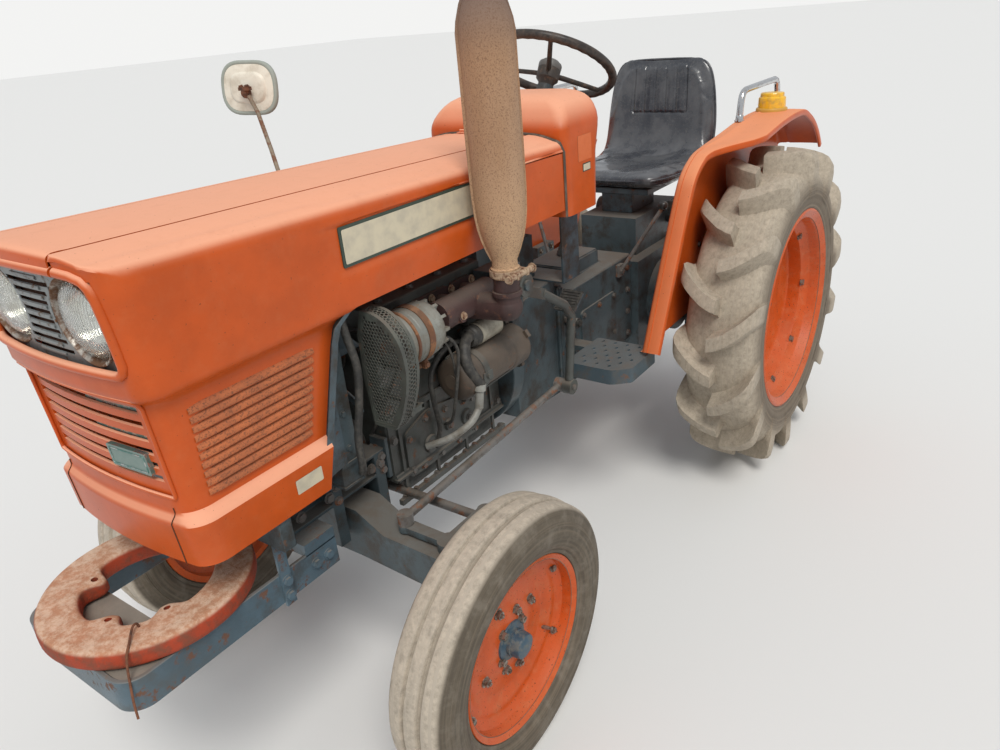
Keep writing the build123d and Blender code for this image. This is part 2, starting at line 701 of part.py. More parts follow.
def dash_envelope(inset):
    body = loft([dash_section(DASH_REAR - 30, DASH_TOP - 8, inset),
                 dash_section(DASH_FRONT + 60, DASH_TOP + 4, inset)], ruled=True)
    drop = 0 if inset == 0 else 50
    front = DASH_FRONT - inset
    rear = DASH_REAR + inset
    side = side_plate([
        (front, DASH_LOW_Z - drop), (front, HOOD_TOP_REAR + 6), (front - 14, HOOD_TOP_REAR + 22),
        (front - 50, DASH_TOP + 30), (rear + 20, DASH_TOP + 30), (rear, DASH_TOP - 30),
        (rear + 40, DASH_TOP - 164), (rear + 46, DASH_LOW_Z - drop),
    ], -HOOD_HALF_W - 20, HOOD_HALF_W + 20)
    return body & side


def dash_cowl():
    shell = dash_envelope(0) - dash_envelope(HOOD_WALL)
    hole = rod(column_point(320), column_point(20), COLUMN_R + SEAT_GAP)
    return shell - hole


def trim_band():
    middle = (HOOD_REAR + DASH_FRONT) / 2
    outer = hood_section(middle, -BAND_PROUD)
    inner = hood_section(middle, HOOD_WALL)
    half = (HOOD_REAR - DASH_FRONT) / 2 - SEAT_GAP
    band = extrude(outer, amount=half, both=True) - extrude(inner, amount=2 * half, both=True)
    return band & block(0, HOOD_FRONT, -400, 400, DASH_LOW_Z + 4, HOOD_TOP_FRONT + 60)


# Castings

def engine():
    block_body = block(ENGINE_REAR, ENGINE_FRONT, -ENGINE_HALF_W, ENGINE_HALF_W, ENGINE_Z0 + 70, ENGINE_Z1)
    pan = block(ENGINE_REAR + 10, ENGINE_FRONT - 60, -ENGINE_HALF_W + 20, ENGINE_HALF_W - 20,
                ENGINE_Z0, ENGINE_Z0 + 70)
    flange = block(ENGINE_REAR, ENGINE_FRONT, -ENGINE_HALF_W - 12, ENGINE_HALF_W + 12,
                   ENGINE_Z0 + 62, ENGINE_Z0 + 76)
    head = block(ENGINE_REAR + 20, ENGINE_FRONT - 20, -HEAD_HALF_W, HEAD_HALF_W, ENGINE_Z1, ENGINE_Z1 + HEAD_H)
    cover = block(ENGINE_REAR + 40, ENGINE_FRONT - 50, -70, 70, ENGINE_Z1 + HEAD_H, ENGINE_Z1 + HEAD_H + 65)
    cover = fillet(cover.edges().filter_by(Axis.X).group_by(Axis.Z)[-1], 30)
    return block_body + pan + flange + head + cover


def clutch_housing():
    bell = rod((ENGINE_REAR - BELL_L, 0, BELL_Z), (ENGINE_REAR - SEAT_GAP, 0, BELL_Z), BELL_R)
    bell &= block(ENGINE_REAR - BELL_L, ENGINE_REAR, -BELL_R, BELL_R, BELL_Z - 175, BELL_Z + BELL_R)
    taper = loft([
        cross_face(ENGINE_REAR - BELL_L, 165, BELL_Z - 165, GEARBOX_TOP),
        cross_face(CLUTCH_REAR, GEARBOX_HALF_W, GEARBOX_Z0, GEARBOX_TOP),
    ], ruled=True)
    return bell + taper


def cross_face(x, half, z0, z1):
    return cross_outline(x, [(-half, z0), (half, z0), (half, z1), (-half, z1)])


def transmission():
    case = block(DIFF_FRONT, CLUTCH_REAR - SEAT_GAP, -GEARBOX_HALF_W, GEARBOX_HALF_W, GEARBOX_Z0, GEARBOX_Z1)
    rib = block(CLUTCH_REAR - 30, CLUTCH_REAR - SEAT_GAP, -GEARBOX_HALF_W - 12, GEARBOX_HALF_W + 12,
                GEARBOX_Z0, GEARBOX_Z1 + 40)
    turret = block(330, 560, -70, 70, GEARBOX_Z1, GEARBOX_Z1 + 50)
    return case + rib + turret


def rear_axle():
    case = block(DIFF_REAR, DIFF_FRONT - SEAT_GAP, -DIFF_HALF_W, DIFF_HALF_W, DIFF_Z0, DIFF_Z1)
    trumpet = rod((0, 0, REAR_R), (0, TRUMPET_END_Y, REAR_R), TRUMPET_R)
    drum = rod((0, DIFF_HALF_W, REAR_R), (0, DIFF_HALF_W + 70, REAR_R), 130)
    end = rod((0, TRUMPET_END_Y - 20, REAR_R), (0, TRUMPET_END_Y, REAR_R), 85)
    bracket = block(LINK_X - 28, LINK_X + 28, LINK_Y - 40, LINK_Y - 12, LINK_Z - 26, REAR_R)
    pin = rod((LINK_X, LINK_Y - 40, LINK_Z), (LINK_X, LINK_Y + 16, LINK_Z), 11)
    side = trumpet + drum + end + bracket + pin
    pto_bore = rod((DIFF_REAR - 1, 0, PTO_Z), (DIFF_REAR + PTO_BORE_L, 0, PTO_Z), PTO_R + 6 + SEAT_GAP)
    return case + pair(side) - pto_bore


def lift_case():
    case = block(-220, 130, -108, 108, DIFF_Z1 + SEAT_GAP, DIFF_Z1 + 130)
    boss = rod((LIFT_X, -130, LIFT_Z), (LIFT_X, 130, LIFT_Z), 40)
    top_link = pair(block(-262, -218, 14, 30, DIFF_Z1 + 20, DIFF_Z1 + 100))
    holes = rod((-244, -31, DIFF_Z1 + 62), (-244, 31, DIFF_Z1 + 62), 9.7)
    bore = rod((LIFT_X, -131, LIFT_Z), (LIFT_X, 131, LIFT_Z), 22 + SEAT_GAP)
    return case + boss + top_link - holes - bore


def lift_end():
    return (LIFT_X + LIFT_DX, LIFT_Z + LIFT_DZ)


def lift_arms():
    # Rock shaft through the lift case with an arm on each end
    bx, bz = lift_end()
    shaft = rod((LIFT_X, -LIFT_ARM_Y - 20, LIFT_Z), (LIFT_X, LIFT_ARM_Y + 20, LIFT_Z), 22)
    hub = rod((LIFT_X, 130 + SEAT_GAP, LIFT_Z), (LIFT_X, LIFT_ARM_Y + 16, LIFT_Z), 40)
    arm = side_plate([(LIFT_X - 28, LIFT_Z - 26), (LIFT_X - 20, LIFT_Z + 34), (bx, bz + 20),
                      (bx, bz - 20)], LIFT_ARM_Y - 12, LIFT_ARM_Y + 12)
    arm += rod((bx, LIFT_ARM_Y - 12, bz), (bx, LIFT_ARM_Y + 12, bz), 22)
    pin = rod((bx, LIFT_ARM_Y, bz), (bx, LINK_Y - 12, bz), 10)
    return pair(hub + arm + pin) + shaft


def lower_link():
    dx, dz = LIFT_DX, LIFT_DZ
    end_x = LINK_X + LINK_REACH * dx
    end_z = LINK_Z + LINK_REACH * dz
    y = LINK_Y
    bar = side_plate([(LINK_X, LINK_Z - 18), (LINK_X, LINK_Z + 18), (end_x, end_z + 18),
                      (end_x, end_z - 18)], y - 6, y + 6)
    front_eye = rod((LINK_X, y - 11, LINK_Z), (LINK_X, y + 11, LINK_Z), 26)
    rear_eye = rod((end_x, y - 17, end_z), (end_x, y + 17, end_z), 27)
    lug_x, lug_z = LINK_X + dx, LINK_Z + dz
    lift_pin = rod((lug_x, y - 6, lug_z), (lug_x, y + 32, lug_z), 9)
    link = bar + front_eye + rear_eye + lift_pin
    link -= rod((LINK_X, y - 12, LINK_Z), (LINK_X, y + 12, LINK_Z), 11 + SEAT_GAP)
    return link - rod((end_x, y - 18, end_z), (end_x, y + 18, end_z), LINK_EYE_R)


def lift_rod():
    bx, bz = lift_end()
    low = (LINK_X + LIFT_DX, LINK_Z + LIFT_DZ)
    y0 = LINK_Y + 12
    y1 = y0 + 14
    top = tube((bx, LINK_Y - 28, bz), (bx, LINK_Y - 14, bz), 20, 10 + SEAT_GAP)
    foot = tube((low[0], y0, low[1]), (low[0], y1, low[1]), 20, 9 + SEAT_GAP)
    upper = (bx, LINK_Y - 21, bz - 18)
    lower = (low[0], (y0 + y1) / 2, low[1] + 18)
    bar = rod(lower, upper, 9)
    return top + foot + bar


def pto_shaft():
    # Shaft in the case's bore, a collar, a locking groove and the coupling end
    shaft = rod((DIFF_REAR + PTO_BORE_L - 1, 0, PTO_Z), (DIFF_REAR - 6, 0, PTO_Z), PTO_R + 6)
    groove = rod((DIFF_REAR - 6, 0, PTO_Z), (PTO_END + PTO_PIN_L, 0, PTO_Z), PTO_R - 2.5)
    return shaft + groove + rod((PTO_END + PTO_PIN_L, 0, PTO_Z), (PTO_END, 0, PTO_Z), PTO_R)


def drawbar():
    plate = block(DRAWBAR_END, DIFF_FRONT - 60, -32, 32, DRAWBAR_Z - 10, DRAWBAR_Z + 8 - SEAT_GAP)
    end = rod((DRAWBAR_END, 0, DRAWBAR_Z - 10), (DRAWBAR_END, 0, DRAWBAR_Z + 8 - SEAT_GAP), 32)
    bore = rod((DRAWBAR_END, 0, DRAWBAR_Z - 11), (DRAWBAR_END, 0, DRAWBAR_Z + 9), DRAWBAR_BORE_R)
    return plate + end - bore


def radiator():
    core = block(RADIATOR_X0 + 4, RADIATOR_X1 - 4, -RADIATOR_HALF_W + 12, RADIATOR_HALF_W - 12,
                 RAIL_Z1 + 50, RADIATOR_TOP - 50)
    top = block(RADIATOR_X0 - 6, RADIATOR_X1 + 6, -RADIATOR_HALF_W, RADIATOR_HALF_W, RADIATOR_TOP - 50,
                RADIATOR_TOP)
    low = block(RADIATOR_X0 - 6, RADIATOR_X1 + 6, -RADIATOR_HALF_W, RADIATOR_HALF_W, RAIL_Z1,
                RAIL_Z1 + 50)
    pillar = block(RADIATOR_X0, RADIATOR_X1, RADIATOR_HALF_W - 14, RADIATOR_HALF_W, RAIL_Z1 + 50,
                   RADIATOR_TOP - 50)
    return core + top + low + pair(pillar)


def cooling_fan():
    z = 850
    hub = rod((ENGINE_FRONT, 0, z), (ENGINE_FRONT + 76, 0, z), 30)
    blades = [Pos(ENGINE_FRONT + 62, 0, z) * Rot(60 * i, 0, 0) * Pos(0, 0, 90) * Rot(0, 0, 30) *
              Box(5, 56, 150) for i in range(6)]
    return hub + blades


def belt_guard():
    # Dished sheet in front of the fan belt: a rounded face across the tractor, and a rim that runs back
    outline = [(185, 740), (176, 850), (178, 950), (195, 1000), (225, 1003), (262, 985), (288, 945),
               (300, 895), (290, 830), (264, 768), (245, 740)]
    x = ENGINE_FRONT + 28
    guard = cross_plate(outline, x, x + 42) - cross_plate(offset_points(outline, 5), x - 1, x + 37)
    bracket = block(ENGINE_FRONT - 30, x + 2, ENGINE_HALF_W + SEAT_GAP, 257, 760, 774)
    bracket += block(x, x + 20, 200, 262, 760, 774)
    return guard + bracket


def dynamo():
    front = ENGINE_FRONT - 10
    drum = rod((front - 125, 195, 900), (front, 195, 900), 64)
    pulley = rod((front, 195, 900), (front + 15, 195, 900), 44)
    foot = block(front - 105, front - 15, ENGINE_HALF_W, 195, 820, 855)
    return drum + pulley + foot


def starter():
    rear = ENGINE_REAR
    body = rod((rear + 1, 200, 735), (rear + 265, 200, 735), 56)
    solenoid = rod((rear + 72, 200, 818), (rear + 190, 200, 818), 28)
    foot = block(rear + 30, rear + 150, ENGINE_HALF_W, 200, 700, 790)
    return body + solenoid + foot


def exhaust_manifold():
    log = rod((MUFFLER_X - 62, 196, 905), (MUFFLER_X + 135, 196, 905), 36)
    ports = [rod((MUFFLER_X + dx, HEAD_HALF_W + SEAT_GAP, 905), (MUFFLER_X + dx, 196, 905), 22)
             for dx in (-37, 53, 112)]
    elbow = rod((MUFFLER_X, 196, 890), (MUFFLER_X, MUFFLER_Y, 900), 34)
    elbow += Pos(MUFFLER_X, MUFFLER_Y, 900) * Sphere(34)
    elbow += rod((MUFFLER_X, MUFFLER_Y, 900), (MUFFLER_X, MUFFLER_Y, NECK_Z - SEAT_GAP), 30)
    return log + ports + elbow


def muffler():
    foot = NECK_Z
    shell = turned([(0, foot), (34, foot), (34, foot + 22), (29, foot + 24), (29, foot + 38), (38, foot + 66),
                    (50, foot + 112), (56, foot + 160), (MUFFLER_R, foot + 196), (MUFFLER_R, 1486),
                    (51, 1522), (34, 1563), (PIPE_R, 1584), (PIPE_R, PIPE_TOP), (0, PIPE_TOP)])
    shell -= rod((0, 0, PIPE_TOP - 80), (0, 0, PIPE_TOP + 1), PIPE_R - 3)
    edge = [(30, foot + 40), (44, foot + 66), (56, foot + 112), (62, foot + 160), (63, foot + 196), (63, 1488),
            (56, 1522), (38, 1566)]
    fin = side_plate(edge + [(-r, z) for r, z in reversed(edge)], -2, 2)
    clamp = rod((46, 42, NECK_Z + 11), (-46, 42, NECK_Z + 11), 9)
    return Pos(MUFFLER_X, MUFFLER_Y, 0) * (shell + Rot(0, 0, 20) * fin + clamp)


# Frame, bumper, weight

def front_frame():
    # Two channel rails bolted to the engine's front, with the bolsters that hold the axle's pivot pin
    rail = block(ENGINE_FRONT + SEAT_GAP, RAIL_FRONT, RAIL_Y, RAIL_OUT_Y, RAIL_Z0, RAIL_Z1)
    rail -= block(ENGINE_FRONT + 12, RAIL_FRONT + 1, RAIL_Y + RAIL_T, RAIL_OUT_Y + 1, RAIL_Z0 + RAIL_T,
                  RAIL_Z1 - RAIL_T)
    foot = block(ENGINE_FRONT + SEAT_GAP, ENGINE_FRONT + 12, RAIL_Y, ENGINE_HALF_W, RAIL_Z0 - 20,
                 RAIL_Z1 + 24)
    stay_x = RAIL_FRONT + 20
    bracket = block(stay_x, stay_x + 30, RAIL_OUT_Y - 20, HOOD_HALF_W - HOOD_WALL - SEAT_GAP, RAIL_Z1 - RAIL_T,
                    NOSE_Z + 40)
    bolster_front = block(BEAM_FRONT + BOLSTER_GAP, BEAM_FRONT + BOLSTER_GAP + BOLSTER_T, -RAIL_OUT_Y,
                          RAIL_OUT_Y, PIVOT_Z - 32, RAIL_Z1)
    bolster_rear = block(BEAM_REAR - BOLSTER_GAP - BOLSTER_T, BEAM_REAR - BOLSTER_GAP, -RAIL_OUT_Y,
                         RAIL_OUT_Y, PIVOT_Z - 32, RAIL_Z1)
    pin = rod((BEAM_REAR - BOLSTER_GAP - BOLSTER_T, 0, PIVOT_Z),
              (BEAM_FRONT + BOLSTER_GAP + BOLSTER_T, 0, PIVOT_Z), PIVOT_R)
    deck = block(RADIATOR_X0 - 12, RAIL_FRONT + 60, -RAIL_OUT_Y, RAIL_OUT_Y, RAIL_Z1 - RAIL_T, RAIL_Z1)
    wings = block(RADIATOR_X0 - 6, RADIATOR_X1 + 6, -RADIATOR_HALF_W, RADIATOR_HALF_W, RAIL_Z1 - RAIL_T,
                  RAIL_Z1)
    return pair(rail + foot + bracket) + bolster_front + bolster_rear + pin + deck + wings


def bumper():
    outer = flat_plate(bumper_plan(0), BUMPER_Z0, BUMPER_Z1)
    inner = flat_plate(bumper_plan(BUMPER_T), BUMPER_Z0 - 1, BUMPER_Z1 + 1)
    shelf = flat_plate(bumper_plan(BUMPER_T - 1), BUMPER_Z1 - 12, BUMPER_Z1 - 4)
    shelf -= block(0, WEIGHT_X + 40, -400, 400, BUMPER_Z0, BUMPER_Z1)
    lug = block(BUMPER_REAR, BUMPER_REAR + 80, RAIL_OUT_Y - 20, BUMPER_HALF_W, BUMPER_Z1 - 4, RAIL_Z0)
    return (outer - inner) + shelf + pair(lug)


def bumper_plan(inset):
    half = BUMPER_HALF_W - inset
    front = BUMPER_FRONT - inset
    rear = BUMPER_REAR - (20 if inset else 0)
    return [(rear, half), (front - 45, half), (front - 12, half - 14), (front, half - 45),
            (front, -half + 45), (front - 12, -half + 14), (front - 45, -half), (rear, -half)]


def weight_ring():
    ring = Cylinder(WEIGHT_R, WEIGHT_T) - Cylinder(WEIGHT_IN_R, WEIGHT_T + 2)
    ring -= block(-WEIGHT_R - 1, -WEIGHT_IN_R + 30, -70, 70, -WEIGHT_T, WEIGHT_T)
    lugs = [Rot(0, 0, a) * (Pos(WEIGHT_IN_R - 6, 0, 0) * Cylinder(26, WEIGHT_T)) for a in (20, 75, -60)]
    ring = ring + lugs
    return Pos(WEIGHT_X, 0, BUMPER_Z1 + SEAT_GAP + WEIGHT_T / 2) * ring


# Fenders, seat, steps and small things

FENDER_CURVE = [(666, 594), (440, 1020), (400, 1062), (320, 1100), (130, 1118), (-40, 1138),
                (-260, 1140), (-400, 1085), (-510, 985)]


def fender_outline(grow):
    return [(x + (grow if x > 350 else 0) - (grow if x < -450 else 0), z + (grow if z > 1050 else 0))
            for x, z in FENDER_CURVE]


def fender_top(x):
    # Height of the mudguard's upper face at a station along the tractor
    points = FENDER_CURVE
    for (x1, z1), (x0, z0) in zip(points, points[1:]):
        if x0 <= x <= x1:
            return z0 + (z1 - z0) * (x - x0) / (x1 - x0)
    return points[-1][1]


def fender():
    outline = fender_outline(0)
    wall = side_plate(outline + [(-480, 940), (-300, 640), (60, 600)], FENDER_Y, FENDER_Y + FENDER_T)
    inner = [(x, z) for x, z in reversed(fender_outline(-FENDER_T))]
    flange = side_plate(outline + inner, FENDER_Y, FLANGE_Y)
    cut = flat_plate([(1000, FLANGE_FRONT_Y), (300, FLANGE_FRONT_Y), (130, FLANGE_Y), (130, FLANGE_Y + 60),
                      (1000, FLANGE_Y + 60)], 400, 1300)
    bracket = block(-60, 60, TRUMPET_END_Y - 20, FENDER_Y, REAR_R + 85 + SEAT_GAP, 660)
    return wall + flange - cut + bracket


def fender_lamps():
    lamp = turned([(0, 0), (50, 0), (50, 12), (44, 14), (42, 50), (36, 58), (0, 60)])
    return pair(Pos(-200, 450, fender_top(-250) + SEAT_GAP) * lamp)


def grab_rails():
    # Columns: station and height along one rail
    top = 1225
    path = [(-12, 1145), (-40, top), (-375, top), (-395, 1108)]
    rail = Pos(path[1][0], RAIL_BAR_Y, top) * Sphere(RAIL_BAR_R)
    rail += Pos(path[2][0], RAIL_BAR_Y, top) * Sphere(RAIL_BAR_R)
    for (x0, z0), (x1, z1) in zip(path, path[1:]):
        rail += rod((x0, RAIL_BAR_Y, z0), (x1, RAIL_BAR_Y, z1), RAIL_BAR_R)
    for x, z in (path[0], path[-1]):
        seat = max(fender_top(x - 14), fender_top(x + 14)) + SEAT_GAP
        rail += rod((x, RAIL_BAR_Y, seat), (x, RAIL_BAR_Y, z + 4), 14)
    return pair(rail)


def seat_pad():
    # Bucket cushion: its side outline, drawn in at the front's and the back's corners
    side = side_plate([(150, 955), (150, 990), (80, 1000), (-180, 985), (-240, 1010), (-275, 1090),
                       (-312, 1300), (-338, 1318), (-360, 1300), (-350, 1060), (-316, 975), (-240, 925),
                       (60, 925)], -SEAT_HALF_W, SEAT_HALF_W)
    half = [(SEAT_HALF_W - 16, 920), (SEAT_HALF_W, 985), (SEAT_HALF_W, 1080), (SEAT_HALF_W - 14, 1200),
            (SEAT_HALF_W - 34, 1285), (SEAT_HALF_W - 62, 1320)]
    front = cross_plate(half + [(-y, z) for y, z in reversed(half)], -400, 200)
    plan = [(-400, SEAT_HALF_W), (70, SEAT_HALF_W), (125, SEAT_HALF_W - 28), (150, SEAT_HALF_W - 88)]
    plan = flat_plate(plan + [(x, -y) for x, y in reversed(plan)], 900, 1340)
    return side & front & plan


def seat_frame():
    pan = block(-230, 100, -140, 140, 905, 925 - SEAT_GAP)
    post = block(-120, 60, -60, 60, DIFF_Z1 + 130 + SEAT_GAP, 905)
    return pan + post


def step_plate():
    plate = block(STEP_X0, STEP_X1, STEP_Y0, STEP_Y1, STEP_TOP - STEP_SKIRT, STEP_TOP)
    plate -= block(STEP_X0 + 4, STEP_X1 - 4, STEP_Y0 + 4, STEP_Y1 - 4, STEP_TOP - STEP_SKIRT - 1,
                   STEP_TOP - 5)
    arm = block(STEP_X0 + 20, STEP_X0 + 70, GEARBOX_HALF_W + SEAT_GAP, STEP_Y0 + 60, STEP_TOP - 30,
                STEP_TOP - 5)
    return plate + arm


def footsteps():
    return pair(step_plate())


def dash_support():
    side = block(650, 742, 178, 184, GEARBOX_TOP, HOOD_SIDE_REAR_Z + 40)
    base = block(650, 742, -184, 184, GEARBOX_TOP, GEARBOX_TOP + 6)
    cross = block(650, 742, -184, 184, HOOD_SIDE_REAR_Z + 34, HOOD_SIDE_REAR_Z + 40)
    hole = rod(column_point(600), column_point(20), COLUMN_R + SEAT_GAP)
    ear = block(650, 742, 184, HOOD_HALF_W - HOOD_WALL - SEAT_GAP, HOOD_SIDE_REAR_Z + 10,
                HOOD_SIDE_REAR_Z + 16)
    return pair(side + ear) + base + cross - hole - column_foot(1)


def levers():
    base = GEARBOX_Z1 + 50 + SEAT_GAP
    gear = rod((440, 0, base + 6), (400, 40, 960), 8) + Pos(400, 40, 970) * Sphere(20)
    gear += rod((440, 0, base), (440, 0, base + 14), 22)
    side = rod((300, GEARBOX_HALF_W + 8, 700), (220, 250, 900), 7) + Pos(220, 250, 905) * Sphere(16)
    side += block(285, 315, GEARBOX_HALF_W + SEAT_GAP, GEARBOX_HALF_W + 14, 680, 720)
    return [gear, side, mirrored(side)]


def pedals():
    arm = rod((640, GEARBOX_HALF_W + 20, 640), (769, 217, 762), 9)
    shaft = rod((640, GEARBOX_HALF_W + SEAT_GAP, 640), (640, GEARBOX_HALF_W + 40, 640), 14)
    pad = Pos(774, 219, 763) * Rot(0, 35, 0) * Box(68, 62, 8)
    return pair(arm + shaft + pad)


def mirror_arm():
    x = WHEELBASE - 251
    foot = block(x - 36, x + 38, -HOOD_HALF_W - 6, -HOOD_HALF_W - SEAT_GAP, 1180, 1206)
    arm = rod((x, -HOOD_HALF_W - 6, 1196), (x - 66, -372, 1350), 6)
    head = Pos(x - 76, -390, 1400) * Rot(0, -8, 20) * fillet(Box(14, 156, 128).edges().filter_by(Axis.X), 40)
    return foot + arm + head


# Each node: its file name and the piece that it holds
front_wheel = {"tyre": on_front_hub(front_tyre()), "rim": on_front_hub(front_rim())}
rear_wheel = {"tyre": on_rear_hub(rear_tyre()), "rim": on_rear_hub(rear_rim())}
link_left = lower_link()
rod_left = lift_rod()
NODES = {
    "front_tyre_left": front_wheel["tyre"],
    "front_rim_left": front_wheel["rim"],
    "front_tyre_right": mirrored(front_wheel["tyre"]),
    "front_rim_right": mirrored(front_wheel["rim"]),
    "rear_tyre_left": rear_wheel["tyre"],
    "rear_rim_left": rear_wheel["rim"],
    "rear_tyre_right": mirrored(rear_wheel["tyre"]),
    "rear_rim_right": mirrored(rear_wheel["rim"]),
    "front_axle": front_axle(),
    "knuckle_left": knuckle_left(),
    "knuckle_right": knuckle_right(),
    "tie_rod": tie_rod(),
    "pitman_arm": pitman_arm(),
    "drag_link": drag_link(),
    "steering_wheel": steering_wheel(),
    "steering_column": steering_column(),
    "steering_box": steering_box(),
    "hood_lid": hood_lid(),
    "side_panels": side_panels(),
    "upper_grille": upper_grille(),
    "headlamps": headlamps(),
    "lower_grille": lower_grille(),
    "dash_cowl": dash_cowl(),
    "trim_band": trim_band(),
    "dash_support": dash_support(),
    "engine": engine(),
    "clutch_housing": clutch_housing(),
    "transmission": transmission(),
    "rear_axle": rear_axle(),
    "lift_case": lift_case(),
    "lift_arms": lift_arms(),
    "lower_link_left": link_left,
    "lower_link_right": mirrored(link_left),
    "lift_rod_left": rod_left,
    "lift_rod_right": mirrored(rod_left),
    "pto_shaft": pto_shaft(),
    "drawbar": drawbar(),
    "radiator": radiator(),
    "cooling_fan": cooling_fan(),
    "belt_guard": belt_guard(),
    "dynamo": dynamo(),
    "starter": starter(),
    "exhaust_manifold": exhaust_manifold(),
    "muffler": muffler(),
    "front_frame": front_frame(),
    "bumper": bumper(),
    "weight_ring": weight_ring(),
    "fenders": pair(fender()),
    "fender_lamps": fender_lamps(),
    "grab_rails": grab_rails(),
    "seat_pad": seat_pad(),
    "seat_frame": seat_frame(),
    "footsteps": footsteps(),
    "levers": levers(),
    "pedals": pedals(),
    "mirror": mirror_arm(),
}

front_reach = WEIGHT_X + WEIGHT_R
rear_reach = -(LINK_X + LINK_REACH * LIFT_DX - 27)
os.makedirs("parts", exist_ok=True)
shift = Pos((rear_reach - front_reach) / 2, 0, 0)
for name, piece in NODES.items():
    solids = Compound(children=list(piece)) if isinstance(piece, list) else piece
    export_step(shift * solids, f"parts/{name}.step")
print("nodes", len(NODES), "shift", (rear_reach - front_reach) / 2)
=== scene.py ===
from math import acos, atan2, copysign, cos, exp, hypot, pi, radians, sin, sqrt, tau

import bmesh
import bpy
from mathutils import Matrix, Vector
from mathutils.bvhtree import BVHTree


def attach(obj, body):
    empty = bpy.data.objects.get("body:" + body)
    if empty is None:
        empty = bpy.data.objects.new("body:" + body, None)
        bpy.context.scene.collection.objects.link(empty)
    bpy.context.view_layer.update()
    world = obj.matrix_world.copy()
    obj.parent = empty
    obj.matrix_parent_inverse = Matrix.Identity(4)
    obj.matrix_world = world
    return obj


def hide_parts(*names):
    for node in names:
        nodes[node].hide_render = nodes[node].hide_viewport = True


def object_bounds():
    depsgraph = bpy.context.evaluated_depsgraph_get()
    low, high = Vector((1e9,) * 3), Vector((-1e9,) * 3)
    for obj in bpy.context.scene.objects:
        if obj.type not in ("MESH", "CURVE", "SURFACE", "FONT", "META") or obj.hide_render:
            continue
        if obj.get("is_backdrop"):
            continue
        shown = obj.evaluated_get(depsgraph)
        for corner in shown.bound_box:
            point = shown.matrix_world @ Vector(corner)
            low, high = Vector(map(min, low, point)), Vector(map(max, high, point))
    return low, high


# Compact farm tractor: an orange bonnet, nose and mudguards on blue-grey castings, with a black
# seat and dusty tyres. Lengths are in metres: X points forward, Y to the tractor's left and Z up.
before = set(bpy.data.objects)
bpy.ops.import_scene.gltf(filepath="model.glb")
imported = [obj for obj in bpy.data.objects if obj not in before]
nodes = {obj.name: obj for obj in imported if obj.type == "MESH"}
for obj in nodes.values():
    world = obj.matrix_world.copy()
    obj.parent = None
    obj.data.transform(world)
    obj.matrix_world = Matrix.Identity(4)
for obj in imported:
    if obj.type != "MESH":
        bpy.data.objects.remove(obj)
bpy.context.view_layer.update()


# Viewpoint, floor and light. The viewer stands close in front of the left front wheel and looks
# down along the bonnet, with the head a little tilted. A wide pale floor and a soft sky light it.
def eye_matrix(place, heading, pitch, roll):
    look = Vector((cos(pitch) * cos(heading), cos(pitch) * sin(heading), sin(pitch)))
    level = look.cross(Vector((0, 0, 1))).normalized()
    upright = level.cross(look)
    right = cos(roll) * level + sin(roll) * upright
    up = -sin(roll) * level + cos(roll) * upright
    turned = Matrix((right, up, -look)).transposed().to_4x4()
    return Matrix.Translation(place) @ turned


eye = bpy.data.cameras.new("viewpoint")
eye.sensor_width = 36
eye.lens = 28.0
eye.clip_start = 0.05
viewpoint = bpy.data.objects.new("viewpoint", eye)
viewpoint.matrix_world = eye_matrix((1.7807, 1.3063, 1.5246), radians(217.38), radians(-25.1),
                                    radians(-5.26))
bpy.context.scene.collection.objects.link(viewpoint)
bpy.context.scene.camera = viewpoint

floor_sheet = bpy.data.meshes.new("floor")
floor_sheet.from_pydata([(-60, -60, 0), (60, -60, 0), (60, 60, 0), (-60, 60, 0)], [], [(0, 1, 2, 3)])
floor = bpy.data.objects.new("floor", floor_sheet)
bpy.context.scene.collection.objects.link(floor)
floor_paint = bpy.data.materials.new("pale_floor")
floor_paint.use_nodes = True
floor_shader = floor_paint.node_tree.nodes["Principled BSDF"]
floor_shader.inputs["Base Color"].default_value = (0.74, 0.74, 0.73, 1)
floor_shader.inputs["Roughness"].default_value = 0.9
floor_sheet.materials.append(floor_paint)
floor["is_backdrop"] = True

sky = bpy.data.worlds.new("studio")
bpy.context.scene.world = sky
sky.use_nodes = True
sky_nodes, sky_links = sky.node_tree.nodes, sky.node_tree.links
glow = sky_nodes["Background"]
glow.inputs["Color"].default_value = (0.93, 0.96, 1.0, 1)
glow.inputs["Strength"].default_value = 0.62
seen = sky_nodes.new("ShaderNodeBackground")
seen.inputs["Color"].default_value = (0.9, 0.9, 0.89, 1)
ray = sky_nodes.new("ShaderNodeLightPath")
camera_or_gloss = sky_nodes.new("ShaderNodeMath")
camera_or_gloss.operation = "MAXIMUM"
choose = sky_nodes.new("ShaderNodeMixShader")
sky_links.new(ray.outputs["Is Camera Ray"], camera_or_gloss.inputs[0])
sky_links.new(ray.outputs["Is Transmission Ray"], camera_or_gloss.inputs[1])
sky_links.new(camera_or_gloss.outputs[0], choose.inputs[0])
sky_links.new(glow.outputs[0], choose.inputs[1])
sky_links.new(seen.outputs[0], choose.inputs[2])
sky_links.new(choose.outputs[0], sky_nodes["World Output"].inputs["Surface"])

lamp = bpy.data.lights.new("soft_sun", "SUN")
lamp.energy = 2.0
lamp.angle = radians(24)
lamp.color = (1.0, 0.97, 0.92)
soft_sun = bpy.data.objects.new("soft_sun", lamp)
soft_sun.rotation_mode = "QUATERNION"
soft_sun.rotation_quaternion = Vector((-0.55, -0.62, -1.15)).to_track_quat("-Z", "Y")
bpy.context.scene.collection.objects.link(soft_sun)
bpy.context.scene.view_settings.view_transform = "Standard"


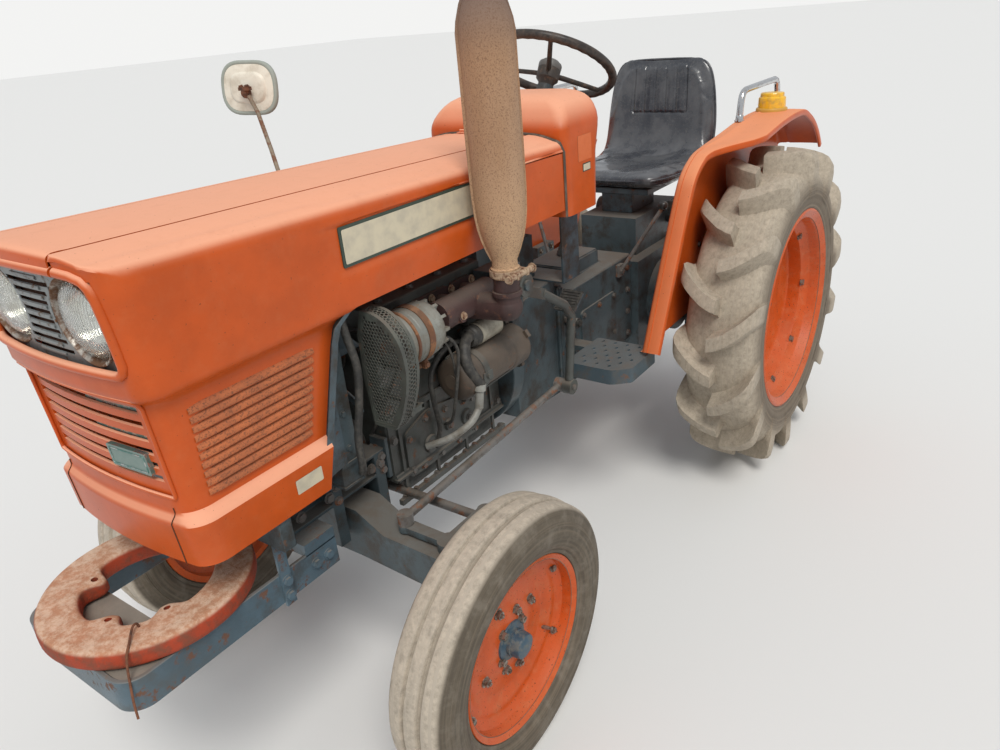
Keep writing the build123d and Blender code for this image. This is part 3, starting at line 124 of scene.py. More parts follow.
# Bonnet lid and sides. Pressed steel painted orange and bleached by the sun on top, with painted
# sunlight on top and painted shade on the sides: a centre panel between two long seams, and sides
# that roll over the shoulder and down to a swept lower edge.
# The lid lifts at the rear hinge, and a rolled lip runs round the mouth of the nose.
REAR_AXLE = Vector((0.769375, 0, 0))   # lengths below are measured from under the rear axle


class Finish:
    """A surface finish made of shader nodes that read the piece's own coordinates."""

    def __init__(self, name, roughness=0.5, metallic=0.0, coat=0.0):
        self.material = bpy.data.materials.new(name)
        self.material.use_nodes = True
        self.tree = self.material.node_tree
        self.shader = self.tree.nodes["Principled BSDF"]
        self.shader.inputs["Roughness"].default_value = roughness
        self.shader.inputs["Metallic"].default_value = metallic
        self.shader.inputs["Coat Weight"].default_value = coat
        self.where = self.node("ShaderNodeTexCoord").outputs["Object"]
        self.facing = self.node("ShaderNodeSeparateXYZ")
        self.link(self.node("ShaderNodeTexCoord").outputs["Normal"], self.facing.inputs[0])

    def node(self, kind, **settings):
        made = self.tree.nodes.new(kind)
        for name, value in settings.items():
            setattr(made, name, value)
        return made

    def link(self, value, socket):
        if hasattr(value, "is_output"):
            self.tree.links.new(value, socket)
        else:
            socket.default_value = (*value, 1) if isinstance(value, tuple) and len(value) == 3 else value

    def stretched(self, stretch):
        if stretch == (1, 1, 1):
            return self.where
        mapping = self.node("ShaderNodeMapping")
        mapping.inputs["Scale"].default_value = stretch
        self.link(self.where, mapping.inputs["Vector"])
        return mapping.outputs[0]

    def noise(self, scale, detail=5, stretch=(1, 1, 1), rough=0.55):
        made = self.node("ShaderNodeTexNoise")
        self.link(self.stretched(stretch), made.inputs["Vector"])
        made.inputs["Scale"].default_value = scale
        made.inputs["Detail"].default_value = detail
        made.inputs["Roughness"].default_value = rough
        return made.outputs["Fac"]

    def cells(self, scale):
        made = self.node("ShaderNodeTexVoronoi")
        self.link(self.where, made.inputs["Vector"])
        made.inputs["Scale"].default_value = scale
        return made.outputs["Distance"]

    def between(self, value, low, high):
        made = self.node("ShaderNodeMapRange", interpolation_type="SMOOTHSTEP")
        self.link(value, made.inputs["Value"])
        made.inputs["From Min"].default_value = low
        made.inputs["From Max"].default_value = high
        return made.outputs["Result"]

    def sum(self, first, second, kind="ADD"):
        made = self.node("ShaderNodeMath", operation=kind, use_clamp=True)
        self.link(first, made.inputs[0])
        self.link(second, made.inputs[1])
        return made.outputs[0]

    def times(self, first, second):
        return self.sum(first, second, "MULTIPLY")

    def mix(self, share, first, second):
        made = self.node("ShaderNodeMix", data_type="RGBA")
        self.link(share, made.inputs["Factor"])
        self.link(first, made.inputs["A"])
        self.link(second, made.inputs["B"])
        return made.outputs["Result"]

    def two_tone(self, first, second, low, high, *noise, **more):
        """Colours the piece in two tones, shared out by a noise that is sharpened from low to high."""
        share = self.between(self.noise(*noise, **more), low, high)
        self.colour(self.mix(share, first, second))
        return share

    def upward(self, low=0.3, high=0.95):
        return self.between(self.facing.outputs["Z"], low, high)

    def height(self, low, high):
        split = self.node("ShaderNodeSeparateXYZ")
        self.link(self.where, split.inputs[0])
        return self.between(split.outputs["Z"], low, high)

    def colour(self, value):
        self.link(value, self.shader.inputs["Base Color"])

    def gloss(self, share, clean, dull):
        made = self.node("ShaderNodeMapRange")
        self.link(share, made.inputs["Value"])
        made.inputs["To Min"].default_value = clean
        made.inputs["To Max"].default_value = dull
        self.link(made.outputs["Result"], self.shader.inputs["Roughness"])

    def relief(self, value, depth, strength=1.0):
        made = self.node("ShaderNodeBump")
        made.inputs["Distance"].default_value = depth
        made.inputs["Strength"].default_value = strength
        self.link(value, made.inputs["Height"])
        self.link(made.outputs[0], self.shader.inputs["Normal"])


def faded_paint_with_painted_light(name, deep, faded_and_sunlit, fade_and_sunlight=0.8, dust=(0.52, 0.26, 0.13), dirt=0.12, specks=0.70):
    """Old gloss paint: bleached and dusty on what faces up, deeper and glossier on the sides. The faded top
    colour also holds painted sunlight, and the deep side colour holds painted shade.
    """
    paint = Finish(name, 0.4)
    paint.shader.inputs["Specular IOR Level"].default_value = 0.28
    drift = paint.noise(3.5, 6)
    patches = paint.between(paint.noise(9.0, 7, rough=0.65), 0.38, 0.68)
    # Share of the pale top colour on faces that look up: real sun bleaching together with painted sunlight
    paler_share = paint.times(paint.sum(paint.upward(0.15, 0.9), paint.times(drift, 0.08)), fade_and_sunlight)
    body = paint.mix(patches, deep, tuple(c * 0.86 for c in deep))
    body = paint.mix(paler_share, body, faded_and_sunlit)
    film = paint.times(paint.between(paint.noise(38, 8, rough=0.7), 0.45, 0.75), dirt)
    body = paint.mix(film, body, dust)
    runs = paint.times(paint.between(paint.noise(22, 4, (1, 1, 0.12)), 0.56, 0.75), dirt * 0.8)
    body = paint.mix(runs, body, tuple(c * 0.45 for c in deep))
    chips = paint.between(paint.noise(210, 4, rough=0.6), specks, specks + 0.02)
    body = paint.mix(chips, body, (0.10, 0.045, 0.022))
    paint.colour(body)
    paint.gloss(paint.sum(paint.sum(paler_share, film), chips), 0.30, 0.72)
    paint.relief(paint.noise(60, 3), 0.0004, 0.35)
    return paint.material


def evaluated(holder):
    """The mesh that an object's modifiers make of it."""
    bpy.context.view_layer.update()
    return bpy.data.meshes.new_from_object(holder.evaluated_get(bpy.context.evaluated_depsgraph_get()))


def placed(point, degrees, axis):
    """A place at a point, turned about an axis."""
    return Matrix.Translation(point) @ Matrix.Rotation(radians(degrees), 4, axis)


def hexagon_heads(heads):
    """Makes every bolt head and washer of a piece: one point each, with its direction and size."""
    points = bpy.data.meshes.new("bolt_places")
    points.from_pydata([head[0] for head in heads], [], [])
    for name, kind, column in (("aim", "FLOAT_VECTOR", 1), ("across", "FLOAT", 2), ("height", "FLOAT", 3),
                               ("washer", "FLOAT", 4)):
        layer = points.attributes.new(name, kind, "POINT")
        for i, head in enumerate(heads):
            setattr(layer.data[i], "vector" if column == 1 else "value", head[column])
    tree = bpy.data.node_groups.get("hexagon_heads")
    if tree is None:
        tree = bpy.data.node_groups.new("hexagon_heads", "GeometryNodeTree")
        tree.interface.new_socket(name="Places", in_out="INPUT", socket_type="NodeSocketGeometry")
        tree.interface.new_socket(name="Washer width", in_out="INPUT", socket_type="NodeSocketFloat")
        tree.interface.new_socket(name="Heads", in_out="OUTPUT", socket_type="NodeSocketGeometry")
        given, result = tree.nodes.new("NodeGroupInput"), tree.nodes.new("NodeGroupOutput")
        joined = tree.nodes.new("GeometryNodeJoinGeometry")
        aim = tree.nodes.new("GeometryNodeInputNamedAttribute")
        aim.data_type = "FLOAT_VECTOR"
        aim.inputs["Name"].default_value = "aim"
        facing = tree.nodes.new("FunctionNodeAlignEulerToVector")
        facing.axis = "Z"
        tree.links.new(aim.outputs["Attribute"], facing.inputs["Vector"])
        for sides, wide, high in ((6, 1.0, 1.0), (16, None, 0.24)):
            drum = tree.nodes.new("GeometryNodeMeshCylinder")
            drum.inputs["Vertices"].default_value = sides
            drum.inputs["Radius"].default_value = 0.577
            drum.inputs["Depth"].default_value = 1.0
            lifted = tree.nodes.new("GeometryNodeTransform")
            lifted.inputs["Translation"].default_value = (0, 0, 0.5)
            copies = tree.nodes.new("GeometryNodeInstanceOnPoints")
            size = tree.nodes.new("ShaderNodeCombineXYZ")
            wanted = []
            for attribute in ("across", "height", "washer"):
                read = tree.nodes.new("GeometryNodeInputNamedAttribute")
                read.data_type = "FLOAT"
                read.inputs["Name"].default_value = attribute
                wanted.append(read.outputs["Attribute"])
            width = tree.nodes.new("ShaderNodeMath")
            width.operation = "MULTIPLY"
            tree.links.new(wanted[0], width.inputs[0])
            if wide:
                width.inputs[1].default_value = wide
            else:
                shown = tree.nodes.new("ShaderNodeMath")
                shown.operation = "MULTIPLY"
                tree.links.new(given.outputs["Washer width"], shown.inputs[0])
                tree.links.new(wanted[2], shown.inputs[1])
                tree.links.new(shown.outputs[0], width.inputs[1])
            depth = tree.nodes.new("ShaderNodeMath")
            depth.operation = "MULTIPLY"
            depth.inputs[1].default_value = high
            tree.links.new(wanted[1], depth.inputs[0])
            for a, b in ((width.outputs[0], size.inputs[0]), (width.outputs[0], size.inputs[1]),
                         (depth.outputs[0], size.inputs[2]), (size.outputs[0], copies.inputs["Scale"]),
                         (drum.outputs["Mesh"], lifted.inputs["Geometry"]),
                         (lifted.outputs[0], copies.inputs["Instance"]),
                         (given.outputs["Places"], copies.inputs["Points"]),
                         (facing.outputs[0], copies.inputs["Rotation"]),
                         (copies.outputs[0], joined.inputs[0])):
                tree.links.new(a, b)
        real = tree.nodes.new("GeometryNodeRealizeInstances")
        coat = tree.nodes.new("GeometryNodeSetMaterial")
        tree.links.new(joined.outputs[0], real.inputs[0])
        tree.links.new(real.outputs[0], coat.inputs[0])
        tree.links.new(coat.outputs[0], result.inputs[0])
    holder = bpy.data.objects.new("bolt_places", points)
    bpy.context.scene.collection.objects.link(holder)
    made = holder.modifiers.new("heads", "NODES")
    made.node_group = tree
    washer_width = next(i.identifier for i in tree.interface.items_tree if i.name == "Washer width")
    made[washer_width] = 1.32
    mesh = evaluated(holder)
    mesh.materials.clear()
    bpy.data.objects.remove(holder)
    return mesh


class Piece:
    """The mesh of one piece while it is made, in metres from under the rear axle."""

    def __init__(self):
        self.form = bmesh.new()
        self.heads = []

    def add(self, points, faces, place=None):
        corners = [self.form.verts.new(place @ Vector(p) if place else Vector(p)) for p in points]
        return [self.form.faces.new([corners[i] for i in face]) for face in faces]

    def cap(self, ring):
        """Closes a ring of points with one face."""
        return self.add(ring, [tuple(range(len(ring)))])

    def grid(self, rows, round_rows=False, round_columns=False):
        """A sheet through rows of points. It may close on itself either way."""
        high, wide = len(rows), len(rows[0])
        points = [p for row in rows for p in row]
        faces = []
        for i in range(high if round_rows else high - 1):
            for j in range(wide if round_columns else wide - 1):
                a, b = i * wide, (i + 1) % high * wide
                faces.append((a + j, a + (j + 1) % wide, b + (j + 1) % wide, b + j))
        return self.add(points, faces)

    def turned(self, outline, place, steps=48):
        """A form turned on a lathe: outline holds (radius, height) about place's own Z."""
        points, rings = [], []
        for radius, height in outline:
            if radius < 1e-6:
                rings.append([len(points)] * steps)
                points.append((0, 0, height))
                continue
            rings.append([len(points) + i for i in range(steps)])
            points += [(radius * cos(i * tau / steps), radius * sin(i * tau / steps), height)
                       for i in range(steps)]
        faces = []
        for low, high in zip(rings, rings[1:]):
            for i in range(steps):
                j = (i + 1) % steps
                face = [low[i], low[j], high[j], high[i]]
                corners = [c for k, c in enumerate(face) if c not in face[:k]]
                if len(corners) > 2:
                    faces.append(corners)
        return self.add(points, faces, place)

    def pipe(self, path, radius, steps=12, closed=False, flat=1.0):
        """A round bar along a path. radius may be a list, one for each point."""
        path = [Vector(p) for p in path]
        count = len(path)
        radii = radius if isinstance(radius, (list, tuple)) else [radius] * count
        side, rows = None, []
        for i, p in enumerate(path):
            before = path[i - 1] if i or closed else p
            after = path[(i + 1) % count] if i < count - 1 or closed else p
            ahead = (after - before).normalized()
            if side is None:
                side = ahead.orthogonal().normalized()
            side = (side - ahead * side.dot(ahead)).normalized()
            other = ahead.cross(side)
            rows.append([p + radii[i] * (cos(t) * side + flat * sin(t) * other)
                         for t in (k * tau / steps for k in range(steps))])
        self.grid(rows, round_rows=closed, round_columns=True)
        if not closed:
            self.cap(rows[0])
            self.cap(rows[-1])

    def block(self, low, high, edge=0.0, place=None):
        """A box between two corners, with its edges rounded off."""
        xs, ys, zs = zip(low, high)
        points = [(x, y, z) for x in xs for y in ys for z in zs]
        faces = [(0, 1, 3, 2), (4, 6, 7, 5), (0, 4, 5, 1), (2, 3, 7, 6), (0, 2, 6, 4), (1, 5, 7, 3)]
        made = self.add(points, faces, place)
        self.soften(made, edge)

    def plate(self, outline, thickness, place, edge=0.0):
        """A flat plate with this outline in place's own X and Y, with its thickness along Z."""
        count = len(outline)
        points = [(x, y, 0) for x, y in outline] + [(x, y, thickness) for x, y in outline]
        faces = [tuple(range(count))[::-1], tuple(range(count, 2 * count))]
        faces += [(i, (i + 1) % count, (i + 1) % count + count, i + count) for i in range(count)]
        made = self.add(points, faces, place)
        self.soften(made, edge)

    def soften(self, faces, edge):
        if edge > 0:
            sharp = {e for f in faces for e in f.edges if e.calc_face_angle(0) > 0.5}
            bmesh.ops.bevel(self.form, geom=list(sharp), offset=edge, segments=2, affect="EDGES",
                            clamp_overlap=True)

    def bolt(self, base, direction, across, height=None, washer=True):
        """Notes a hexagon head that stands on base along direction. All heads are made at the end."""
        self.heads.append((Vector(base), Vector(direction).normalized(), across, height or across * 0.45,
                           1.0 if washer else 0.0))

    def copied(self, node, edge):
        """Starts from the CAD piece itself, with its square edges rounded off."""
        source = nodes[node].data
        self.form.from_mesh(source)
        bmesh.ops.translate(self.form, verts=self.form.verts[:], vec=REAR_AXLE)
        bmesh.ops.remove_doubles(self.form, verts=self.form.verts[:], dist=2e-5)
        bmesh.ops.dissolve_limit(self.form, angle_limit=radians(2), verts=self.form.verts[:],
                                 edges=self.form.edges[:])
        sharp = [e for e in self.form.edges if e.calc_face_angle(0) > 0.6]
        bmesh.ops.bevel(self.form, geom=sharp, offset=edge, segments=2, affect="EDGES", clamp_overlap=True)

    def on_side(self, side):
        """Mirrors the piece, with its bolt heads, where it belongs on the right-hand side."""
        if side > 0:
            return
        for v in self.form.verts:
            v.co.y = -v.co.y
        for base, aim, *sizes in self.heads:
            base.y, aim.y = -base.y, -aim.y

    def mesh(self, name):
        """Ends the piece as a plain mesh, for a pattern, a cut or a cushion."""
        bmesh.ops.recalc_face_normals(self.form, faces=self.form.faces[:])
        made = bpy.data.meshes.new(name)
        self.form.to_mesh(made)
        self.form.free()
        return made

    def settle(self, name, finish, body, slot, *stands_for, smooth=35, wall=0.0, flat=False):
        """Makes the finished mesh an object that rides on its body."""
        if self.heads:
            self.form.from_mesh(hexagon_heads(self.heads))
        bmesh.ops.remove_doubles(self.form, verts=self.form.verts[:], dist=1e-6)
        bmesh.ops.recalc_face_normals(self.form, faces=self.form.faces[:])
        bmesh.ops.translate(self.form, verts=self.form.verts[:], vec=-REAR_AXLE)
        mesh = bpy.data.meshes.new(name)
        self.form.to_mesh(mesh)
        self.form.free()
        for made in (finish if isinstance(finish, list) else [finish]):
            mesh.materials.append(made)
        made = bpy.data.objects.new(name, mesh)
        bpy.context.scene.collection.objects.link(made)
        if wall:
            sheet = made.modifiers.new("sheet", "SOLIDIFY")
            sheet.thickness = wall
            sheet.offset = -1
            mesh = evaluated(made)
            made.modifiers.clear()
            made.data = mesh
        mesh.shade_smooth()
        mesh.set_sharp_from_angle(angle=radians(smooth))
        if flat:
            # Large flat faces keep their own normal, so that a rounded edge doesn't shade them.
            weights = made.modifiers.new("weights", "WEIGHTED_NORMAL")
            weights.keep_sharp = True
            weights.weight = 100
            mesh = evaluated(made)
            made.modifiers.clear()
            made.data = mesh
        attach(made, body)
        if stands_for:
            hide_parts(*stands_for)
        return made


# The deep side colour holds painted shade and the pale top colour painted sunlight, besides the real fading
orange = faded_paint_with_painted_light("faded_orange_with_painted_light", (0.55, 0.077, 0.003), (0.91, 0.47, 0.30), dirt=0.08)


half_width, lid_half, shoulder = 0.230, 0.130, 0.206
bow_radius, corner_round, corner_depth = 1.269, 0.042, 0.050


def along(table, at):
    """Reads a value between the rows of a table of (at, value)."""
    for (a, low), (b, high) in zip(table, table[1:]):
        if at <= b:
            return low + (high - low) * max(0.0, at - a) / (b - a)
    return table[-1][1]


def bonnet_crown(x, y):
    """Height of the bonnet's skin: nearly flat in the middle and rolled down at the shoulder."""
    y = abs(y)
    if y < lid_half:
        drop = 0.005 * (y / lid_half) ** 2
    elif y < shoulder:
        drop = 0.005 + 0.016 * ((y - lid_half) / 0.076) ** 1.7
    else:
        drop = 0.021 + 0.027 * (1 - sqrt(max(0.0, 1 - ((y - shoulder) / 0.024) ** 2)))
    bead = 0.0028 * exp(-((y - 0.203) / 0.0042) ** 2) if x > 1.62 else 0.0
    return 1.226 + (x - 0.792) * 0.040 / 1.286 - drop + bead


def nose_waist(z):
    """How far the nose is drawn in at this height: the louvre field lies in a shallow waist."""
    above = min(1.0, max(0.0, (1.028 - z) / 0.020))
    below = min(1.0, max(0.0, (z - 0.780) / 0.018))
    return 0.022 * (3 * above ** 2 - 2 * above ** 3) * (3 * below ** 2 - 2 * below ** 3)


def nose_rear_edge(z):
    return along([(0.696, 1.722), (0.983, 1.635), (1.006, 1.622), (1.018, 1.606), (1.028, 1.575)], z)


def nose_front(y, z):
    """Station of the bowed front face. Its waist leaves a ledge above the skirt."""
    bow = bow_radius - sqrt(bow_radius ** 2 - y ** 2)
    return 2.062 - 0.040 * (1.306 - z) / 0.660 - bow - 0.6 * nose_waist(z)


def bonnet_point(column, z):
    """A point of the upright walls. Columns run from the dash along the side to the nose's middle."""
    kind, share = column
    half = half_width - nose_waist(z)
    if kind == "side":
        return Vector((0.792 + share * 0.783, half, z))
    corner_x = nose_front(half - corner_round, z)
    rear = nose_rear_edge(z)
    if kind == "nose":
        return Vector((rear + share * (corner_x - corner_depth - rear), half, z))
    if kind == "corner":
        turn = share * pi / 2
        return Vector((corner_x - corner_depth + corner_depth * sin(turn),
                       half - corner_round + corner_round * cos(turn), z))
    y = (1 - share) * (half - corner_round)
    return Vector((nose_front(y, z), y, z))


slots = [0.819 + 0.0172 * i for i in range(9)]
levels = sorted([0.696, 0.704, 0.730, 0.760, 0.774, 0.780, 0.786, 0.792, 0.798, 0.808, 0.829, 0.995, 1.004,
                 1.012, 1.018, 1.023, 1.028, 1.036, 1.050, 1.068, 1.095, 1.100, 1.125, 1.150, 1.172, 1.184,
                 1.190] + [z for s in slots for z in (s, s + 0.007)])
columns = [("side", i / 27) for i in range(27)] + [("nose", i / 16) for i in range(16)]
columns += [("corner", i / 9) for i in range(9)] + [("front", i / 16) for i in range(17)]

sides = Piece()
rows = []
for column in columns:
    foot = bonnet_point(column, 1.300)
    corner = column[0] in ("corner", "front")
    edge_round = 0.010 if corner else 0.002
    wall_top = bonnet_crown(foot.x, foot.y) - edge_round
    line = [bonnet_point(column, min(z, wall_top)) for z in levels if z < 1.195]
    if column[0] == "side":
        low = 1.008 + column[1] * 0.020
        line = [Vector((p.x, p.y, max(p.z, low))) for p in line]
    for p in line:
        if 1.13 < p.x < 1.61 and 1.098 < p.z < 1.192 and column[0] != "front":
            p.y -= 0.003
    for share in (0.35, 0.7, 1.0):
        line.append(bonnet_point(column, 1.190 + share * (wall_top - 1.190)))
    seam = Vector((foot.x, lid_half, 0))
    if column[0] != "side":
        seam.x -= (foot.y - lid_half) * 0.25 * (column[1] ** 2 if column[0] == "nose" else 1)
    if foot.y < lid_half:
        seam = Vector((foot.x, foot.y, 0))
    for step in (0.02, 0.05, 0.09, 0.14, 0.18, 0.22, 0.27, 0.32, 0.45, 0.6, 0.8, 1.0):
        p = Vector((foot.x, foot.y, 0)).lerp(seam, step)
        depth = min(1.0, (p - Vector((foot.x, foot.y, 0))).length / edge_round)
        p.z = bonnet_crown(p.x, p.y) - edge_round * (1 - sqrt(1 - (1 - depth) ** 2))
        line.append(p)
    rows.append(line)


def open_there(p, column):
    """Whether the skin is cut away here: the two mouths of the nose, the louvre slots and the lid."""
    if column[0] in ("corner", "front"):
        if p.y < 0.202 and 1.068 < p.z < 1.226:
            return True
        if p.y < 0.188 and 0.829 < p.z < 1.022:
            return True
    if column[0] == "nose" and 0.22 < column[1] < 0.90:
        if any(s < p.z < s + 0.007 for s in slots):
            return True
    return p.y < lid_half and p.z > 1.226


for column, left, right in zip(columns, rows, rows[1:]):
    for i in range(len(left) - 1):
        middle = (left[i] + left[i + 1] + right[i] + right[i + 1]) / 4
        if column[0] == "side" and i < len(levels) and levels[min(i + 1, len(levels) - 1)] <= 1.028:
            continue
        if open_there(middle, column):
            continue
        for side in (1, -1):
            quad = [Vector((p.x, p.y * side, p.z)) for p in (left[i], right[i], right[i + 1], left[i + 1])]
            corners = [p for k, p in enumerate(quad) if all((p - q).length > 1e-7 for q in quad[:k])]
            if len(corners) > 2:
                sides.add(corners, [tuple(range(len(corners)))[::side]])
bmesh.ops.remove_doubles(sides.form, verts=sides.form.verts[:], dist=2e-5)
sides.settle("bonnet_sides", orange, "chassis", "orange_paint", "side_panels", wall=0.0026, smooth=40)

lid = Piece()
stations = [0.803 + i * (2.02 - 0.803) / 40 for i in range(41)]
rows = []
for x in stations:
    rows.append([(x, y / 1000, bonnet_crown(x, y / 1000)) for y in range(-127, 128, 254 // 14)])
for inside, fall in ((0.022, 0), (0.012, 0.0001), (0.007, 0.0012), (0.003, 0.0037), (0.001, 0.0066),
                     (0.0, 0.010), (0.0, 0.020), (0.0, 0.034)):
    rows.append([(nose_front(y / 1000, 1.3) - inside, y / 1000,
                  bonnet_crown(nose_front(y / 1000, 1.3), y / 1000) - fall)
                 for y in range(-127, 128, 254 // 14)])
lid.grid(rows)
lid.settle("bonnet_lid", orange, "hood_lid", "orange_paint", "hood_lid", wall=0.0026, smooth=40)


# Rolled lips and small fittings of the bonnet. The sheet edge is rolled over a wire round the lamp
# mouth. Two hinges hold the lid's rear edge, and a blank name plate and label are on each side.
def nose_skin(y, z):
    """Station of the nose's skin at this width and height, round the corner too."""
    flat = half_width - nose_waist(z) - corner_round
    if abs(y) <= flat:
        return nose_front(y, z)
    turn = acos(min(1.0, (abs(y) - flat) / corner_round))
    return nose_front(flat, z) - corner_depth + corner_depth * sin(turn)


def on_nose(path):
    return [(nose_skin(y, z), y, z) for y, z in path]


def rounded(corners, radius, steps=5):
    """Points of a closed outline with its corners rounded."""
    points = []
    for before, here, after in zip(corners[-1:] + corners[:-1], corners, corners[1:] + corners[:1]):
        a, b, c = Vector(before), Vector(here), Vector(after)
        reach = min(radius, (a - b).length * 0.49, (c - b).length * 0.49)
        start, end = b + (a - b).normalized() * reach, b + (c - b).normalized() * reach
        for i in range(steps + 1):
            t = i / steps
            points.append(tuple((1 - t) ** 2 * start + 2 * t * (1 - t) * b + t ** 2 * end))
    return points


lip = Piece()
mouth = [(y / 1000, 1.0685) for y in range(180, -181, -15)]
right_end = [(-0.192, 1.0705), (-0.200, 1.077), (-0.203, 1.088), (-0.203, 1.12), (-0.202, 1.16),
             (-0.200, 1.195), (-0.196, 1.213), (-0.186, 1.2235), (-0.165, 1.230), (-0.132, 1.2335)]
left_end = [(-y, z) for y, z in reversed(right_end)]
lip.pipe(on_nose(left_end + mouth + right_end), 0.008, steps=12)
lip.settle("mouth_lip", orange, "chassis", "orange_paint", "side_panels")

lid_lip = Piece()
lid_lip.pipe(on_nose([(y / 1000, 1.2335 + 0.003 * (1 - (y / 127) ** 2)) for y in range(-126, 127, 14)]),
             0.008, steps=12)
for y in (-0.090, 0.060):
    lid_lip.pipe([(0.8015, y, 1.2306), (0.8015, y + 0.030, 1.2306)], 0.004)
    lid_lip.block((0.803, y, 1.2262), (0.818, y + 0.030, 1.2285), 0.0006)
    for dy in (0.008, 0.022):
        lid_lip.turned([(0, 0), (0.0022, 0), (0.0018, 0.0012), (0, 0.0015)],
                       Matrix.Translation((0.8105, y + dy, 1.2284)), 10)
lid_lip.settle("lid_lip_and_hinges", orange, "hood_lid", "orange_paint", "hood_lid")

plate_paint = Finish("blank_plate_cream", 0.45)
plate_paint.two_tone((0.62, 0.55, 0.40), (0.48, 0.43, 0.33), 0.35, 0.75, 30, 6)
plate_edge = Finish("plate_border_green", 0.5)
plate_edge.colour(plate_edge.mix(plate_edge.noise(50), (0.022, 0.045, 0.035), (0.05, 0.07, 0.05)))


def raised(piece, outline, low, high, part):
    """A blank plate on the side, from low to high across the tractor, faced with finish number part."""
    rows = [[(x, y, z) for x, z in outline] for y in (low, high)]
    piece.grid(rows, round_columns=True)
    for face in piece.cap(rows[1]):
        face.material_index = part


for side, name in ((1, "left"), (-1, "right")):
    plates = Piece()
    # Plate along the bonnet's side, a dark border round a cream field
    for grow, deep, part in ((0.0, 0.0030, 0), (-0.006, 0.0036, 1)):
        x0, x1, z0, z1 = 1.161 - grow, 1.589 + grow, 1.108 - grow, 1.186 + grow
        outline = rounded([(x0, z0), (x1, z0 + 0.001), (x1, z1 + 0.001), (x0, z1)], 0.004, 3)
        raised(plates, outline, 0.2265, 0.2268 + deep, part)
    # Blank label low on the nose's rear corner
    outline = rounded([(1.735, 0.728), (1.800, 0.728), (1.800, 0.758), (1.735, 0.758)], 0.003, 3)
    raised(plates, outline, 0.2298, 0.2306, 1)
    plates.on_side(side)
    plates.settle("blank_plates_" + name, [plate_edge.material, plate_paint.material], "chassis",
                  "orange_paint", "side_panels", smooth=30)


# Lower grille. A flat pressed panel in the nose, orange like the rest and a little proud, with six
# long slots. Silver backing strips and a blank grey-green plate show through the left half.
def slotted_panel(piece, y0, y1, z0, z1, openings, skin):
    """A panel with long slots: openings are (low, high, from, to) in height and width."""
    heights = sorted({z0, z1} | {z for opening in openings for z in opening[:2]})
    widths = sorted({y0, y1} | {y for opening in openings for y in opening[2:]} |
                    {y0 + (y1 - y0) * i / 24 for i in range(25)})
    for a, b in zip(widths, widths[1:]):
        for low, high in zip(heights, heights[1:]):
            my, mz = (a + b) / 2, (low + high) / 2
            if any(o[0] < mz < o[1] and o[2] < my < o[3] for o in openings):
                continue
            if b - a > 1e-6 and high - low > 1e-6:
                piece.add([(skin(y, z), y, z) for y, z in ((a, low), (b, low), (b, high), (a, high))],
                          [(0, 1, 2, 3)])
    bmesh.ops.remove_doubles(piece.form, verts=piece.form.verts[:], dist=1e-5)


grille = Piece()
gaps = [(0.856 + 0.0265 * i, 0.856 + 0.0265 * i + 0.0125, -0.165, 0.165) for i in range(6)]
slotted_panel(grille, -0.187, 0.187, 0.829, 1.022, gaps, lambda y, z: nose_front(y, z) - 0.006)
grille.settle("lower_grille_panel", orange, "chassis", "orange_paint", "lower_grille", wall=0.006)

rim = Piece()
outline = rounded([(-0.187, 0.829), (0.187, 0.829), (0.187, 1.022), (-0.187, 1.022)], 0.006, 3)
fine = []
for (y0, z0), (y1, z1) in zip(outline, outline[1:] + outline[:1]):
    count = max(1, int(max(abs(y1 - y0) / 0.03, abs(z1 - z0) / 0.012)))
    fine += [(y0 + (y1 - y0) * i / count, z0 + (z1 - z0) * i / count) for i in range(count)]
rim.pipe([(nose_front(y, z) - 0.001, y, z) for y, z in fine], 0.0035, steps=8, closed=True)
rim.settle("lower_grille_rim", orange, "chassis", "orange_paint", "lower_grille")

backing_metal = Finish("worn_silver_strip", 0.35, 0.85)
rubbed = backing_metal.two_tone((0.50, 0.52, 0.50), (0.16, 0.30, 0.27), 0.4, 0.6, 60, 6)
backing_metal.gloss(rubbed, 0.25, 0.6)
badge_paint = Finish("blank_badge_green", 0.4)
badge_paint.colour(badge_paint.mix(badge_paint.noise(80), (0.12, 0.19, 0.17), (0.20, 0.27, 0.24)))
strips = Piece()
for i in (1, 3, 5):
    z = 0.856 + 0.0265 * i - 0.002
    row = [(nose_front(y / 1000, z) - 0.0135, y / 1000) for y in range(10, 166, 15)]
    strips.grid([[(x, y, z) for x, y in row], [(x, y, z + 0.016) for x, y in row],
                 [(x - 0.002, y, z + 0.016) for x, y in row], [(x - 0.002, y, z) for x, y in row]],
                round_rows=True)
badge = rounded([(0.045, 0.868), (0.150, 0.868), (0.150, 0.912), (0.045, 0.912)], 0.005, 3)
deep = [(nose_front(y, z) - 0.008, y, z) for y, z in badge]
proud = [(nose_front(y, z) + 0.001, y, z) for y, z in badge]
strips.grid([deep, proud], round_columns=True)
for face in strips.cap(proud):
    face.material_index = 1
inner = rounded([(0.051, 0.874), (0.144, 0.874), (0.144, 0.906), (0.051, 0.906)], 0.003, 3)
strips.pipe([(nose_front(y, z) + 0.0013, y, z) for y, z in inner], 0.0012, steps=6, closed=True)
strips.settle("grille_strips_and_blank_badge", [backing_metal.material, badge_paint.material], "chassis",
              "grey_paint", "lower_grille")

